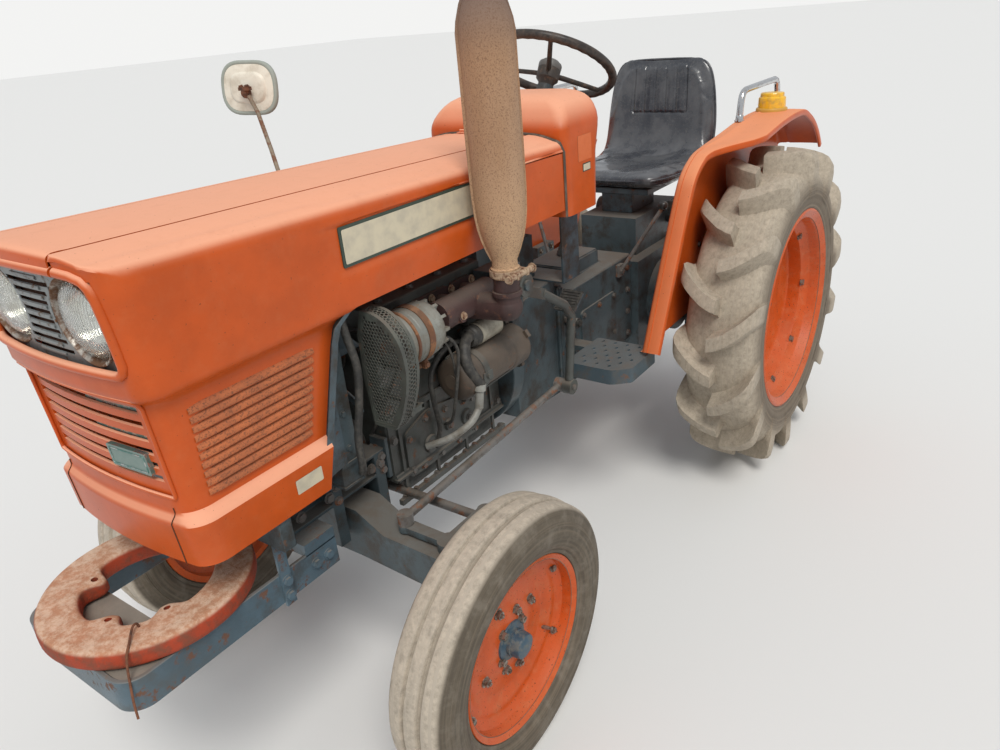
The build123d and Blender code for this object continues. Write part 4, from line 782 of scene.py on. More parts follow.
# Pressed louvres in the nose's sides, dull brown where the paint has burnt off. One blade is bent
# over, and the rows above it repeat it a little longer each time.
def repeated(name, mesh, finish, count, step=(0, 0, 0), growth=0.0, into="Scale"):
    """Repeats a mesh. Each copy is one step on, and its length along X or its turn about Y grows."""
    tree = bpy.data.node_groups.new(name, "GeometryNodeTree")
    plan = tree.interface
    plan.new_socket(name="Piece", in_out="INPUT", socket_type="NodeSocketGeometry")
    wanted = {"Count": ("NodeSocketInt", count), "Step": ("NodeSocketVector", step),
              "Growth": ("NodeSocketFloat", growth), "Finish": ("NodeSocketMaterial", finish)}
    for label, (kind, value) in wanted.items():
        plan.new_socket(name=label, in_out="INPUT", socket_type=kind)
    plan.new_socket(name="Copies", in_out="OUTPUT", socket_type="NodeSocketGeometry")
    given, result = tree.nodes.new("NodeGroupInput"), tree.nodes.new("NodeGroupOutput")
    line = tree.nodes.new("GeometryNodeMeshLine")
    copies = tree.nodes.new("GeometryNodeInstanceOnPoints")
    number = tree.nodes.new("GeometryNodeInputIndex")
    base, axis = (1.0, 0) if into == "Scale" else (0.0, 1)
    grown = tree.nodes.new("ShaderNodeMath")
    grown.operation = "MULTIPLY_ADD"
    grown.inputs[2].default_value = base
    change = tree.nodes.new("ShaderNodeCombineXYZ")
    for socket in change.inputs:
        socket.default_value = base
    real = tree.nodes.new("GeometryNodeRealizeInstances")
    coat = tree.nodes.new("GeometryNodeSetMaterial")
    for a, b in ((given.outputs["Count"], line.inputs["Count"]),
                 (given.outputs["Step"], line.inputs["Offset"]), (line.outputs[0], copies.inputs["Points"]),
                 (given.outputs["Piece"], copies.inputs["Instance"]), (number.outputs[0], grown.inputs[0]),
                 (given.outputs["Growth"], grown.inputs[1]), (grown.outputs[0], change.inputs[axis]),
                 (change.outputs[0], copies.inputs[into]), (copies.outputs[0], real.inputs[0]),
                 (real.outputs[0], coat.inputs[0]), (given.outputs["Finish"], coat.inputs["Material"]),
                 (coat.outputs[0], result.inputs[0])):
        tree.links.new(a, b)
    holder = bpy.data.objects.new(name, mesh)
    bpy.context.scene.collection.objects.link(holder)
    rows = holder.modifiers.new("rows", "NODES")
    rows.node_group = tree
    for item in plan.items_tree:
        if item.in_out == "INPUT" and item.name in wanted:
            rows[item.identifier] = wanted[item.name][1]
    made = evaluated(holder)
    bpy.data.objects.remove(holder)
    return made


burnt = Finish("burnt_louvre_brown", 0.8)
freckles = burnt.between(burnt.noise(260, 6, rough=0.75), 0.50, 0.62)
ground = burnt.mix(burnt.between(burnt.noise(14, 4), 0.35, 0.7), (0.50, 0.145, 0.050), (0.38, 0.115, 0.045))
burnt.colour(burnt.mix(burnt.times(freckles, 0.75), ground, (0.120, 0.048, 0.026)))
burnt.relief(freckles, 0.0005, 0.5)
for side, name in ((1, "left"), (-1, "right")):
    blade = Piece()
    bend = [(0.2055, 0.0172), (0.2085, 0.0160), (0.2125, 0.0120), (0.2145, 0.0065), (0.2140, 0.0030),
            (0.2120, 0.0020), (0.2095, 0.0070), (0.2060, 0.0110)]
    blade.grid([[(0.007 - 0.235 * t, side * (y - 0.0035 * (1 - min(1, 12 * t * (1 - t)))), z) for y,
                 z in bend]
                for t in (0, 0.02, 0.05, 0.1, 0.5, 0.9, 0.95, 0.98, 1)], round_columns=True)
    made = repeated("louvre_rows_" + name, blade.mesh("louvre_blade"), burnt.material, 10,
                    (-0.0004, 0.0, 0.0172), 0.018)
    louvres = Piece()
    louvres.form.from_mesh(made)
    bmesh.ops.translate(louvres.form, verts=louvres.form.verts[:], vec=(1.951, 0, 0.8135))
    louvres.settle("louvres_" + name, burnt.material, "chassis", "orange_paint", "side_panels")

# Dark lines along the seams of the skirt's corner pieces, painted shadow of the joints, and the rusted
# angle brackets that hold them from below
seam_dark = Finish("seam_shadow", 0.9)
seam_dark.colour(seam_dark.mix(seam_dark.noise(90), (0.05, 0.018, 0.008), (0.10, 0.035, 0.015)))
rusty = Finish("rusty_bracket", 0.85)
flakes = rusty.two_tone((0.20, 0.075, 0.035), (0.07, 0.032, 0.02), 0.4, 0.65, 70, 8, rough=0.7)
rusty.relief(flakes, 0.0008, 0.6)
seams, brackets = Piece(), Piece()
for side in (1, -1):
    seam_heights = [0.697 + 0.003 * k for k in range(38)]
    seams.pipe([(nose_skin(0.172, z) + 0.0005, side * 0.172, z) for z in seam_heights], 0.0012, steps=6)
    x = nose_skin(0.165, 0.700) - 0.012
    brackets.block((x - 0.024, side * 0.165 - 0.016, 0.668), (x - 0.020, side * 0.165 + 0.016, 0.712),
                   0.001)
    brackets.block((x - 0.024, side * 0.165 - 0.016, 0.694), (x + 0.006, side * 0.165 + 0.016, 0.698),
                   0.001)
    brackets.bolt((x - 0.020, side * 0.165, 0.678), (1, 0, 0), 0.013)
    brackets.bolt((x - 0.004, side * 0.165, 0.694), (0, 0, -1), 0.011)
seams.settle("skirt_seams", seam_dark.material, "chassis", "orange_paint", "side_panels")
brackets.settle("skirt_brackets", rusty.material, "chassis", "rusty_iron", "side_panels")

# Lamp panel and headlamps. A grey painted panel with fine slats between two dished lamp rings. The
# rings have rusted brown, and each holds a ribbed glass lens over a bright bowl and a bulb.
panel_paint = Finish("lamp_panel_grey", 0.42, 0.3)
rust = panel_paint.two_tone((0.21, 0.225, 0.225), (0.13, 0.075, 0.042), 0.52, 0.68, 55, 7, rough=0.7)
panel_paint.gloss(rust, 0.38, 0.85)
ring_metal = Finish("rusted_lamp_ring", 0.45, 0.4)
rust = ring_metal.two_tone((0.42, 0.40, 0.36), (0.17, 0.085, 0.045), 0.36, 0.56, 34, 8, rough=0.72)
ring_metal.gloss(rust, 0.3, 0.85)
ring_metal.relief(ring_metal.noise(160, 4), 0.0006, 0.6)
bowl_metal = Finish("lamp_bowl", 0.12, 1.0)
bowl_metal.colour(bowl_metal.mix(bowl_metal.noise(12), (0.80, 0.80, 0.78), (0.62, 0.61, 0.56)))
lens_glass = Finish("ribbed_lens_glass", 0.09)
lens_glass.shader.inputs["Transmission Weight"].default_value = 0.86
lens_glass.shader.inputs["IOR"].default_value = 1.47
lens_glass.two_tone((0.96, 0.98, 0.96), (0.78, 0.76, 0.68), 0.42, 0.72, 26, 6)
ribs = lens_glass.node("ShaderNodeTexWave", wave_type="BANDS", bands_direction="Y")
ribs.inputs["Scale"].default_value = 55
lens_glass.link(lens_glass.where, ribs.inputs["Vector"])
lens_glass.relief(ribs.outputs["Fac"], 0.0007, 0.3)

lamp_y, lamp_z, lamp_hole = 0.122, 1.147, 0.0725
lamp_front = Piece()
slat_gaps = []
for i in range(8):
    low = 1.083 + 0.0165 * i
    half = min(0.066, lamp_y - sqrt(0.0742 ** 2 - (low + 0.0037 - lamp_z) ** 2) - 0.006)
    slat_gaps.append((low, low + 0.0075, -half, half))


def lamp_panel_skin(y, z):
    return nose_front(y, z) - 0.014


def from_lamp(point):
    """How far a point of the panel lies from the nearer lamp's middle."""
    return hypot(abs(point.y) - lamp_y, point.z - lamp_z)


slotted_panel(lamp_front, -0.197, 0.197, 1.066, 1.2315, slat_gaps, lamp_panel_skin)
for face in [f for f in lamp_front.form.faces if from_lamp(f.calc_center_median()) < 0.068]:
    lamp_front.form.faces.remove(face)
for v in lamp_front.form.verts:
    middle = Vector((v.co.x, copysign(lamp_y, v.co.y), lamp_z))
    if (v.co - middle).length < lamp_hole:
        v.co = middle + (v.co - middle).normalized() * lamp_hole
for i in range(9):
    z = 1.0795 + 0.0165 * i
    rows = [[(lamp_panel_skin(y / 1000, z) + dx, y / 1000, z + dz) for y in range(-40, 41, 10)]
            for dx, dz in ((-0.001, -0.0042), (0.0018, -0.0030), (0.0026, 0.0), (0.0018, 0.0030),
                           (-0.001, 0.0042))]
    lamp_front.grid(rows)
bmesh.ops.remove_doubles(lamp_front.form, verts=lamp_front.form.verts[:], dist=1e-5)
lamp_front.settle("lamp_panel", panel_paint.material, "chassis", "grey_paint", "upper_grille", wall=0.0018)
# Dark sheet behind the slots: painted shade seen through them
slot_shade_sheet = Piece()
slot_shade_sheet.grid([[(lamp_panel_skin(y / 1000, z / 1000) - 0.012, y / 1000, z / 1000) for y in range(-75, 76, 15)]
            for z in (1074, 1110, 1150, 1190, 1222)])
slot_shade_sheet.settle("grille_slot_shade_sheet", seam_dark.material, "chassis", "grey_paint", "upper_grille", wall=0.0015)

lamp_rings, lamp_bowls, lenses = Piece(), Piece(), Piece()
for side in (1, -1):
    place = placed((2.0340, side * lamp_y, lamp_z), 93.5, "Y")
    lamp_rings.turned([(0.0735, -0.006), (0.0746, 0.0005), (0.0740, 0.0022), (0.0722, 0.0024),
                       (0.0708, 0.0008), (0.0695, -0.0035), (0.0680, -0.0080), (0.0668, -0.0095),
                       (0.0655, -0.0085), (0.0645, -0.0085), (0.0638, -0.0100), (0.0638, -0.0190),
                       (0.0690, -0.0200), (0.0725, -0.0120)], place, 72)
    for a in (0.6, 2.7, 4.8):
        lamp_rings.bolt(place @ Vector((0.0731 * cos(a), 0.0731 * sin(a), 0.0022)),
                        (1, 0, 0), 0.005, 0.0022, washer=False)
    lamp_bowls.turned([(0, -0.060), (0.015, -0.0595), (0.030, -0.0555), (0.043, -0.047), (0.054, -0.034),
                       (0.0605, -0.020), (0.0628, -0.011), (0.0638, -0.012), (0.0615, -0.022),
                       (0.055, -0.036), (0.044, -0.049), (0.031, -0.0575), (0.015, -0.0615), (0, -0.062)],
                      place, 48)
    lamp_bowls.turned([(0, -0.060), (0.006, -0.060), (0.006, -0.044), (0.0085, -0.038), (0.0085, -0.028),
                       (0.005, -0.021), (0, -0.020)], place, 20)
    outside = [(0.0644, -0.0090), (0.0615, -0.0040), (0.0540, 0.0012), (0.0410, 0.0055), (0.0230, 0.0085),
               (0, 0.0095)]
    inside_face = [(0, 0.0062), (0.0225, 0.0054), (0.0400, 0.0024), (0.0520, -0.0018), (0.0595, -0.0065),
                   (0.0628, -0.0105)]
    lenses.turned(outside + inside_face + outside[:1], place, 64)
lamp_rings.settle("lamp_rings", ring_metal.material, "chassis", "grey_paint", "headlamps")
lamp_bowls.settle("lamp_bowls", bowl_metal.material, "chassis", "chrome", "headlamps")
lenses.settle("lamp_lenses", lens_glass.material, "chassis", "lamp_glass", "headlamps", smooth=60)


# Front wheels. Ribbed rubber tyres, pale with dust on the tread and brown on the sidewalls, sit on
# pressed orange rims. Six bolts in two groups hold the rim, and a blue-grey hub stands in its middle.
def dusty_rubber(name, centre, dust_from, dust_to, side_colour, dust_colour):
    """Rubber that is dark and brown on the walls and pale with dried dust towards the tread."""
    rubber = Finish(name, 0.85)
    shift = rubber.node("ShaderNodeMapping")
    shift.inputs["Location"].default_value = -(Vector(centre) - REAR_AXLE)
    rubber.link(rubber.where, shift.inputs["Vector"])
    split = rubber.node("ShaderNodeSeparateXYZ")
    rubber.link(shift.outputs[0], split.inputs[0])
    squares = [rubber.node("ShaderNodeMath", operation="MULTIPLY") for _ in range(2)]
    for square, axis in zip(squares, ("X", "Z")):
        rubber.link(split.outputs[axis], square.inputs[0])
        rubber.link(split.outputs[axis], square.inputs[1])
    total = rubber.node("ShaderNodeMath", operation="ADD")
    root = rubber.node("ShaderNodeMath", operation="SQRT")
    rubber.link(squares[0].outputs[0], total.inputs[0])
    rubber.link(squares[1].outputs[0], total.inputs[1])
    rubber.link(total.outputs[0], root.inputs[0])
    rings = rubber.node("ShaderNodeCombineXYZ")
    rubber.link(root.outputs[0], rings.inputs[0])
    rubber.link(split.outputs["Y"], rings.inputs[1])
    streaks = rubber.node("ShaderNodeTexNoise")
    streaks.inputs["Scale"].default_value = 150
    streaks.inputs["Detail"].default_value = 6
    rubber.link(rings.outputs[0], streaks.inputs["Vector"])
    wall = rubber.mix(rubber.between(streaks.outputs["Fac"], 0.35, 0.7), side_colour,
                      tuple(c * 1.7 for c in side_colour))
    cloud = rubber.noise(24, 8, rough=0.7)
    wall = rubber.mix(rubber.times(rubber.between(cloud, 0.42, 0.72), 0.5), wall,
                      tuple(c * 0.45 for c in dust_colour))
    tread = rubber.mix(rubber.between(rubber.noise(60, 8, rough=0.75), 0.35, 0.7), dust_colour,
                       tuple(c * 0.62 for c in dust_colour))
    tread = rubber.mix(rubber.between(streaks.outputs["Fac"], 0.5, 0.62), tread,
                       tuple(c * 0.80 + 0.02 for c in dust_colour))
    share = rubber.between(root.outputs[0], dust_from, dust_to)
    rubber.colour(rubber.mix(share, wall, tread))
    rubber.relief(rubber.noise(300, 5, rough=0.7), 0.0006, 0.6)
    return rubber.material


upright_lathe = Matrix.Rotation(-pi / 2, 4, "X")   # turns a lathe outline onto the axle line
# Rims: the deep colour is darkened with painted shade, and the top colour is lightened a little with
# painted sunlight
rim_orange = faded_paint_with_painted_light("rim_orange", (0.56, 0.085, 0.012), (0.62, 0.18, 0.08), fade_and_sunlight=0.45, dirt=0.28,
                             specks=0.64)
hub_paint = Finish("hub_blue_grey", 0.5)
scuffed = hub_paint.two_tone((0.035, 0.075, 0.11), (0.13, 0.14, 0.13), 0.42, 0.66, 70, 7, rough=0.7)
hub_paint.gloss(scuffed, 0.35, 0.8)
bolt_metal = Finish("dull_bolt_metal", 0.5, 0.6)
tarnish = bolt_metal.two_tone((0.30, 0.27, 0.23), (0.12, 0.07, 0.045), 0.4, 0.65, 120, 6)
bolt_metal.gloss(tarnish, 0.35, 0.85)

front_wall = [(0.1905, 0.0490), (0.2050, 0.0500), (0.2065, 0.0560), (0.2120, 0.0585), (0.2150, 0.0580),
              (0.2180, 0.0625), (0.2300, 0.0685), (0.2430, 0.0712), (0.2570, 0.0714), (0.2680, 0.0700),
              (0.2695, 0.0712), (0.2740, 0.0708), (0.2755, 0.0690), (0.2860, 0.0668), (0.2960, 0.0625),
              (0.3025, 0.0580), (0.3060, 0.0545), (0.3085, 0.0500), (0.3100, 0.0420), (0.3110, 0.0300),
              (0.3108, 0.0262), (0.3090, 0.0242), (0.3045, 0.0225), (0.3035, 0.0205), (0.3035, 0.0170),
              (0.3050, 0.0152), (0.3110, 0.0140), (0.3132, 0.0125), (0.3140, 0.0060)]
front_section = front_wall + [(r, -y) for r, y in reversed(front_wall)]
front_rim_section = [
    (0.2030, 0.0560), (0.2045, 0.0535), (0.2035, 0.0505), (0.1960, 0.0492), (0.1905, 0.0470),
                     (0.1885, 0.0400), (0.1880, 0.0265), (0.1840, 0.0235), (0.1720, 0.0165),
                     (0.1660, 0.0150), (0.1600, 0.0158), (0.1500, 0.0125), (0.1380, 0.0050),
                     (0.1250, 0.0036), (0.0950, 0.0055), (0.0720, 0.0112), (0.0600, 0.0125),
                     (0.0300, 0.0125), (0.0300, 0.0075), (0.0660, 0.0065), (0.0940, 0.0005),
                     (0.1340, -0.0020), (0.1500, 0.0060), (0.1590, 0.0100), (0.1610, 0.0050),
                     (0.1610, -0.0160), (0.1840, -0.0260), (0.1860, -0.0500), (0.1865, -0.0552),
                     (0.2030, -0.0560), (0.2040, -0.0500), (0.1895, -0.0495), (0.1890, -0.0250),
                     (0.1670, -0.0145), (0.1670, 0.0120), (0.1895, 0.0250), (0.1900, 0.0480),
                     (0.2030, 0.0560)]
front_x, front_y, front_z = 1.567, 0.507, 0.31423
for side, name in ((1, "left"), (-1, "right")):
    hub_place = placed((front_x, front_y, front_z), -2.1, "X")
    lathe = hub_place @ upright_lathe
    centre = (front_x, side * front_y, front_z)
    tyre = Piece()
    tyre.turned(front_section + front_section[:1], lathe, 128)
    tyre.on_side(side)
    rubber = dusty_rubber("front_rubber_" + name, centre, 0.296, 0.308, (0.085, 0.068, 0.048),
                          (0.52, 0.45, 0.36))
    tyre.settle("front_tyre_" + name + "_ribbed", rubber, "front_wheel_" + name, "tyre",
                "front_tyre_" + name)
    rim = Piece()
    rim.turned(front_rim_section, lathe, 96)
    rim.on_side(side)
    rim.settle("front_rim_" + name + "_pressed", rim_orange, "front_wheel_" + name, "orange_paint",
               "front_rim_" + name)
    hub = Piece()
    hub.turned([(0, -0.036), (0.020, -0.036), (0.038, -0.036), (0.040, -0.010), (0.046, 0.000),
                (0.046, 0.0125), (0.044, 0.0165), (0.034, 0.0175), (0.0300, 0.020), (0.0285, 0.046),
                (0.0270, 0.050), (0.0200, 0.0535), (0, 0.0560)], lathe, 48)
    hub.turned([(0.0290, 0.024), (0.0310, 0.025), (0.0310, 0.029), (0.0290, 0.030)], lathe, 48)
    hub.on_side(side)
    hub.settle("front_hub_" + name, hub_paint.material, "front_wheel_" + name, "blue_grey_paint",
               "front_rim_" + name)
    nuts = Piece()
    for turn, reach in ((-18, 97), (22, 68), (62, 95), (162, 97), (200, 69), (242, 99)):
        a = radians(turn)
        foot = hub_place @ Vector((-sin(a) * reach / 1000, 0.0045 + (0.005 if reach < 80 else 0),
                                   cos(a) * reach / 1000))
        nuts.bolt(foot, hub_place.to_3x3() @ Vector((0, 1, 0)), 0.017, 0.011)
        nuts.pipe([foot, foot + hub_place.to_3x3() @ Vector((0, 0.016, 0))], 0.0045, steps=8)
    for i in range(4):
        a = radians(38 + 90 * i)
        foot = hub_place @ Vector((sin(a) * 0.049, 0.012, cos(a) * 0.049))
        nuts.bolt(foot, hub_place.to_3x3() @ Vector((0, 1, 0)), 0.015, 0.012)
    for turn in (58, 118, 238, 298):
        a = radians(turn)
        foot = hub_place @ Vector((sin(a) * 0.179, 0.0205, cos(a) * 0.179))
        nuts.bolt(foot, hub_place.to_3x3() @ Vector((0, 1, 0.3)), 0.013, 0.007)
    stem = hub_place @ Vector((-0.128, 0.006, -0.072))
    nuts.pipe([stem, stem + Vector((0.0, 0.018, 0.004)), stem + Vector((0.0, 0.030, 0.007))],
              [0.0045, 0.0045, 0.0035], steps=10)
    nuts.on_side(side)
    nuts.settle("front_wheel_nuts_" + name, bolt_metal.material, "front_wheel_" + name, "bare_steel",
                "front_rim_" + name)

# Rear wheels. High-lug field tyres with fourteen bars a side that meet the middle in turn, thick
# with dried mud, on deep dished orange rims bolted to the axle ends.
def tread_bar(mirror, lead):
    """One bar of the tread, from the tyre's middle over the shoulder and down the side."""
    # Columns: station round the tyre, half width, top (y, radius), foot (y, radius)
    path = [(66, 21, -7, 527.5, -7, 470), (60, 22, 12, 528, 12, 470), (46, 23, 40, 527, 40, 468),
            (22, 24, 70, 525, 68, 462), (0, 25, 94, 521, 88, 452), (-18, 26, 110, 515, 98, 442),
            (-30, 28, 119.5, 502, 106, 430), (-38, 30, 122.5, 478, 111, 412), (-43, 31, 123, 448, 114, 396),
            (-47, 30, 122.5, 416, 116, 384), (-49, 28, 119.5, 392, 116, 374)]
    bar, rows = Piece(), []
    for station, half, ty, tr, fy, fr in path:
        row = []
        for across, height in ((-1.75, 0.0), (-1.25, 0.35), (-1.03, 0.92), (-0.92, 0.99), (-0.5, 1.0),
                               (0.5, 1.0), (0.92, 0.99), (1.03, 0.92), (1.25, 0.35), (1.75, 0.0)):
            y, r = fy + (ty - fy) * height, fr + (tr - fr) * height
            angle = (station + half * across) / 528 + lead
            row.append((r / 1000 * sin(angle), mirror * y / 1000, r / 1000 * cos(angle)))
        rows.append(row)
    bar.grid(rows)
    bar.cap(rows[0])
    bar.cap(rows[-1])
    return bar.mesh("tread_bar")


rear_wall = [(0.3053, 0.0970), (0.3345, 0.0975), (0.3360, 0.1070), (0.3440, 0.1090), (0.3480, 0.1080),
             (0.3560, 0.1120), (0.3760, 0.1155), (0.3980, 0.1160), (0.4140, 0.1140), (0.4300, 0.1090),
             (0.4440, 0.1020), (0.4560, 0.0900), (0.4640, 0.0760), (0.4700, 0.0520), (0.4735, 0.0220),
             (0.4745, 0.0)]
rear_section = rear_wall + [(r, -y) for r, y in reversed(rear_wall[:-1])]
rear_rim_section = [
    (0.3280, 0.1095), (0.3345, 0.1070), (0.3350, 0.1030), (0.3310, 0.1000), (0.3180, 0.0990),
                    (0.3060, 0.0960), (0.3010, 0.0880), (0.2995, 0.0650), (0.2960, 0.0600),
                    (0.2760, 0.0450), (0.2680, 0.0400), (0.2660, 0.0300), (0.2655, -0.0020),
                    (0.2600, -0.0080), (0.2450, -0.0120), (0.2280, -0.0160), (0.2100, -0.0215),
                    (0.1600, -0.0235), (0.1100, -0.0240), (0.0380, -0.0240), (0.0380, -0.0300),
                    (0.1500, -0.0300), (0.2320, -0.0225), (0.2600, -0.0150), (0.2650, -0.0250),
                    (0.2650, -0.0400), (0.2980, -0.0630), (0.2990, -0.1000), (0.2985, -0.1040),
                    (0.3340, -0.1050), (0.3300, -0.0980), (0.3055, -0.0975), (0.3050, -0.0600),
                    (0.2712, -0.0400), (0.2712, 0.0400), (0.3050, 0.0600), (0.3055, 0.0975),
                    (0.3280, 0.1095)]
rear_y, rear_z = 0.532, 0.528
for side, name in ((1, "left"), (-1, "right")):
    centre = (0, side * rear_y, rear_z)
    lathe = Matrix.Translation((0, rear_y, rear_z)) @ upright_lathe
    rubber = dusty_rubber("rear_rubber_" + name, centre, 0.385, 0.455, (0.125, 0.098, 0.070),
                          (0.47, 0.40, 0.31))
    tyre = Piece()
    tyre.turned(rear_section + rear_section[:1], lathe, 112)
    tyre.on_side(side)
    for mirror, lead in ((1, 0.0), (-1, pi / 14)):
        bars = repeated("tread_ring_%s_%d" % (name, mirror), tread_bar(mirror, lead), rubber, 14,
                        growth=tau / 14, into="Rotation")
        bars.transform(Matrix.Translation(centre))
        tyre.form.from_mesh(bars)
    tyre.settle("rear_tyre_" + name + "_high_lug", rubber, "rear_wheel_" + name, "tyre",
                "rear_tyre_" + name, smooth=42)
    rim = Piece()
    rim.turned(rear_rim_section, lathe, 96)
    for i in range(8):
        turn = Matrix.Rotation(tau * i / 8, 4, "Z")
        rim.block((0.2660, -0.016, 0.022), (0.2860, 0.016, 0.040), 0.004, lathe @ turn)
    rim.on_side(side)
    rim.settle("rear_rim_" + name + "_dished", rim_orange, "rear_wheel_" + name, "orange_paint",
               "rear_rim_" + name)
    hub = Piece()
    hub.turned([(0, -0.1597), (0.060, -0.1597), (0.060, -0.048), (0.100, -0.046), (0.100, -0.030),
                (0.058, -0.0235), (0.056, -0.016), (0.044, -0.013), (0.040, -0.008), (0.039, -0.004),
                (0.030, 0.0015), (0, 0.002)], lathe, 48)
    hub.on_side(side)
    hub.settle("rear_hub_" + name, hub_paint.material, "rear_wheel_" + name, "blue_grey_paint",
               "rear_rim_" + name)
    nuts = Piece()
    for i in range(6):
        a = radians(60 * i + 12)
        foot = Vector((sin(a) * 0.078, rear_y - 0.0245, rear_z + cos(a) * 0.078))
        nuts.bolt(foot, (0, 1, 0), 0.024, 0.016)
        nuts.pipe([foot, foot + Vector((0, 0.022, 0))], 0.0065, steps=10)
    for i in range(8):
        a = tau * i / 8
        foot = Vector((sin(a) * 0.276, rear_y + 0.040, rear_z + cos(a) * 0.276))
        nuts.bolt(foot, (0, 1, 0), 0.019, 0.011)
    nuts.on_side(side)
    nuts.settle("rear_wheel_nuts_" + name, bolt_metal.material, "rear_wheel_" + name, "bare_steel",
                "rear_rim_" + name)


# Exhaust muffler. A rolled steel drum with an ogive foot and two welded seams, rusted brown all
# over. A clamp grips its neck on the manifold's elbow, and a plain pipe stands on top.
muffler_rust = Finish("muffler_rust", 0.9)
scale = muffler_rust.times(muffler_rust.between(muffler_rust.noise(330, 6, rough=0.7), 0.50, 0.64), 0.75)
wash = muffler_rust.between(muffler_rust.noise(12, 5, (1, 1, 0.25)), 0.35, 0.7)
brown = muffler_rust.mix(wash, (0.37, 0.215, 0.120), (0.43, 0.265, 0.160))
brown = muffler_rust.mix(muffler_rust.height(1.42, 1.56), brown, (0.20, 0.135, 0.105))
brown = muffler_rust.mix(muffler_rust.height(1.30, 1.0), brown, (0.52, 0.34, 0.20))
muffler_rust.colour(muffler_rust.mix(scale, brown, (0.19, 0.100, 0.060)))
muffler_rust.relief(scale, 0.0007, 0.6)
muffler = Piece()
stack = Matrix.Translation((1.177, 0.300, 0))
muffler.turned([(0.0325, 0.974), (0.0335, 0.996), (0.0300, 0.999), (0.0290, 1.012), (0.0315, 1.022),
                (0.0375, 1.040), (0.0445, 1.062), (0.0500, 1.086), (0.0540, 1.112), (0.0562, 1.140),
                (0.0570, 1.170), (0.0570, 1.250), (0.0572, 1.330), (0.0570, 1.410), (0.0570, 1.486),
                (0.0555, 1.503), (0.0510, 1.522), (0.0430, 1.544), (0.0335, 1.563), (0.0262, 1.576),
                (0.0242, 1.584), (0.0240, 1.620), (0.0240, 1.6795), (0.0210, 1.6795), (0.0210, 1.600),
                (0, 1.600)], stack, 64)
for turn in (-42, 138):
    spin = Matrix.Rotation(radians(turn), 4, "Z")
    edge = [(0.031, 1.014), (0.0405, 1.036), (0.0495, 1.062), (0.0560, 1.090), (0.0600, 1.120),
            (0.0625, 1.170), (0.0630, 1.300), (0.0625, 1.488), (0.0590, 1.510), (0.0500, 1.540),
            (0.0380, 1.566)]
    rows = [[stack @ spin @ Vector((x, y, z)) for x, z in edge] for y in (-0.0019, 0.0019)]
    inner = [[stack @ spin @ Vector((x - 0.008, y, z)) for x, z in edge] for y in (0.0019, -0.0019)]
    muffler.grid(rows + inner, round_rows=True)
muffler.settle("muffler_drum", muffler_rust.material, "chassis", "rusty_iron", "muffler")
clamp_metal = Finish("muffler_clamp_beige", 0.75, 0.2)
flake = clamp_metal.two_tone((0.46, 0.34, 0.23), (0.18, 0.08, 0.045), 0.42, 0.66, 90, 7, rough=0.7)
clamp_metal.relief(flake, 0.0005, 0.6)
clamp = Piece()
clamp.turned([(0.0350, 0.977), (0.0370, 0.978), (0.0370, 0.992), (0.0350, 0.993)], stack, 40)
clamp.pipe([(1.223, 0.342, 0.985), (1.131, 0.342, 0.985)], 0.0075, steps=14)
clamp.bolt((1.223, 0.342, 0.985), (1, 0, 0), 0.015)
clamp.bolt((1.131, 0.342, 0.985), (-1, 0, 0), 0.015)
for x in (1.196, 1.158):
    clamp.block((x - 0.004, 0.318, 0.977), (x + 0.004, 0.350, 0.993), 0.001)
clamp.settle("muffler_clamp", clamp_metal.material, "chassis", "rusty_iron", "muffler")


# Dash cowl. A rounded sheet steel hood over the steering column, the same orange as the bonnet. A
# dark rubber band closes the joint between the two, and a blank label is stuck to each side.
cowl_rear = [(1.004, 0.602), (1.148, 0.596), (1.200, 0.583), (1.250, 0.569), (1.282, 0.561), (1.296, 0.562),
             (1.305, 0.568), (1.311, 0.580), (1.3135, 0.600)]
cowl_front = [(1.004, 0.779), (1.226, 0.779), (1.240, 0.776), (1.256, 0.768), (1.280, 0.751),
              (1.296, 0.736), (1.305, 0.724), (1.311, 0.708), (1.3135, 0.680)]
cowl_half = [(1.004, 0.230), (1.215, 0.230), (1.235, 0.228), (1.253, 0.222), (1.270, 0.212), (1.285, 0.199),
             (1.297, 0.183), (1.306, 0.163), (1.311, 0.143), (1.3135, 0.120)]
cowl_levels = [1.004, 1.010, 1.05, 1.10, 1.15, 1.19, 1.215, 1.226, 1.235, 1.244, 1.253, 1.262, 1.270, 1.278,
               1.285, 1.291, 1.297, 1.302, 1.306, 1.309, 1.311, 1.3125, 1.3135]
cowl, rows = Piece(), []
for z in cowl_levels:
    x0, x1, half = along(cowl_rear, z), along(cowl_front, z), along(cowl_half, z)
    outline = rounded([(x0, -half), (x1, -half), (x1, half), (x0, half)], 0.034, 8)
    rows.append([(x, y, z) for x, y in outline])
cowl.grid(rows, round_columns=True)
top = rows[-1]
for shrink in (0.75, 0.4):
    middle = Vector((0.64, 0, 1.3140))
    rows.append([middle + (Vector(p) - middle) * shrink for p in top])
cowl.grid(rows[-3:], round_columns=True)
cowl.cap(rows[-1])
cowl.settle("dash_cowl_sheet", orange, "chassis", "orange_paint", "dash_cowl", wall=0.0028)

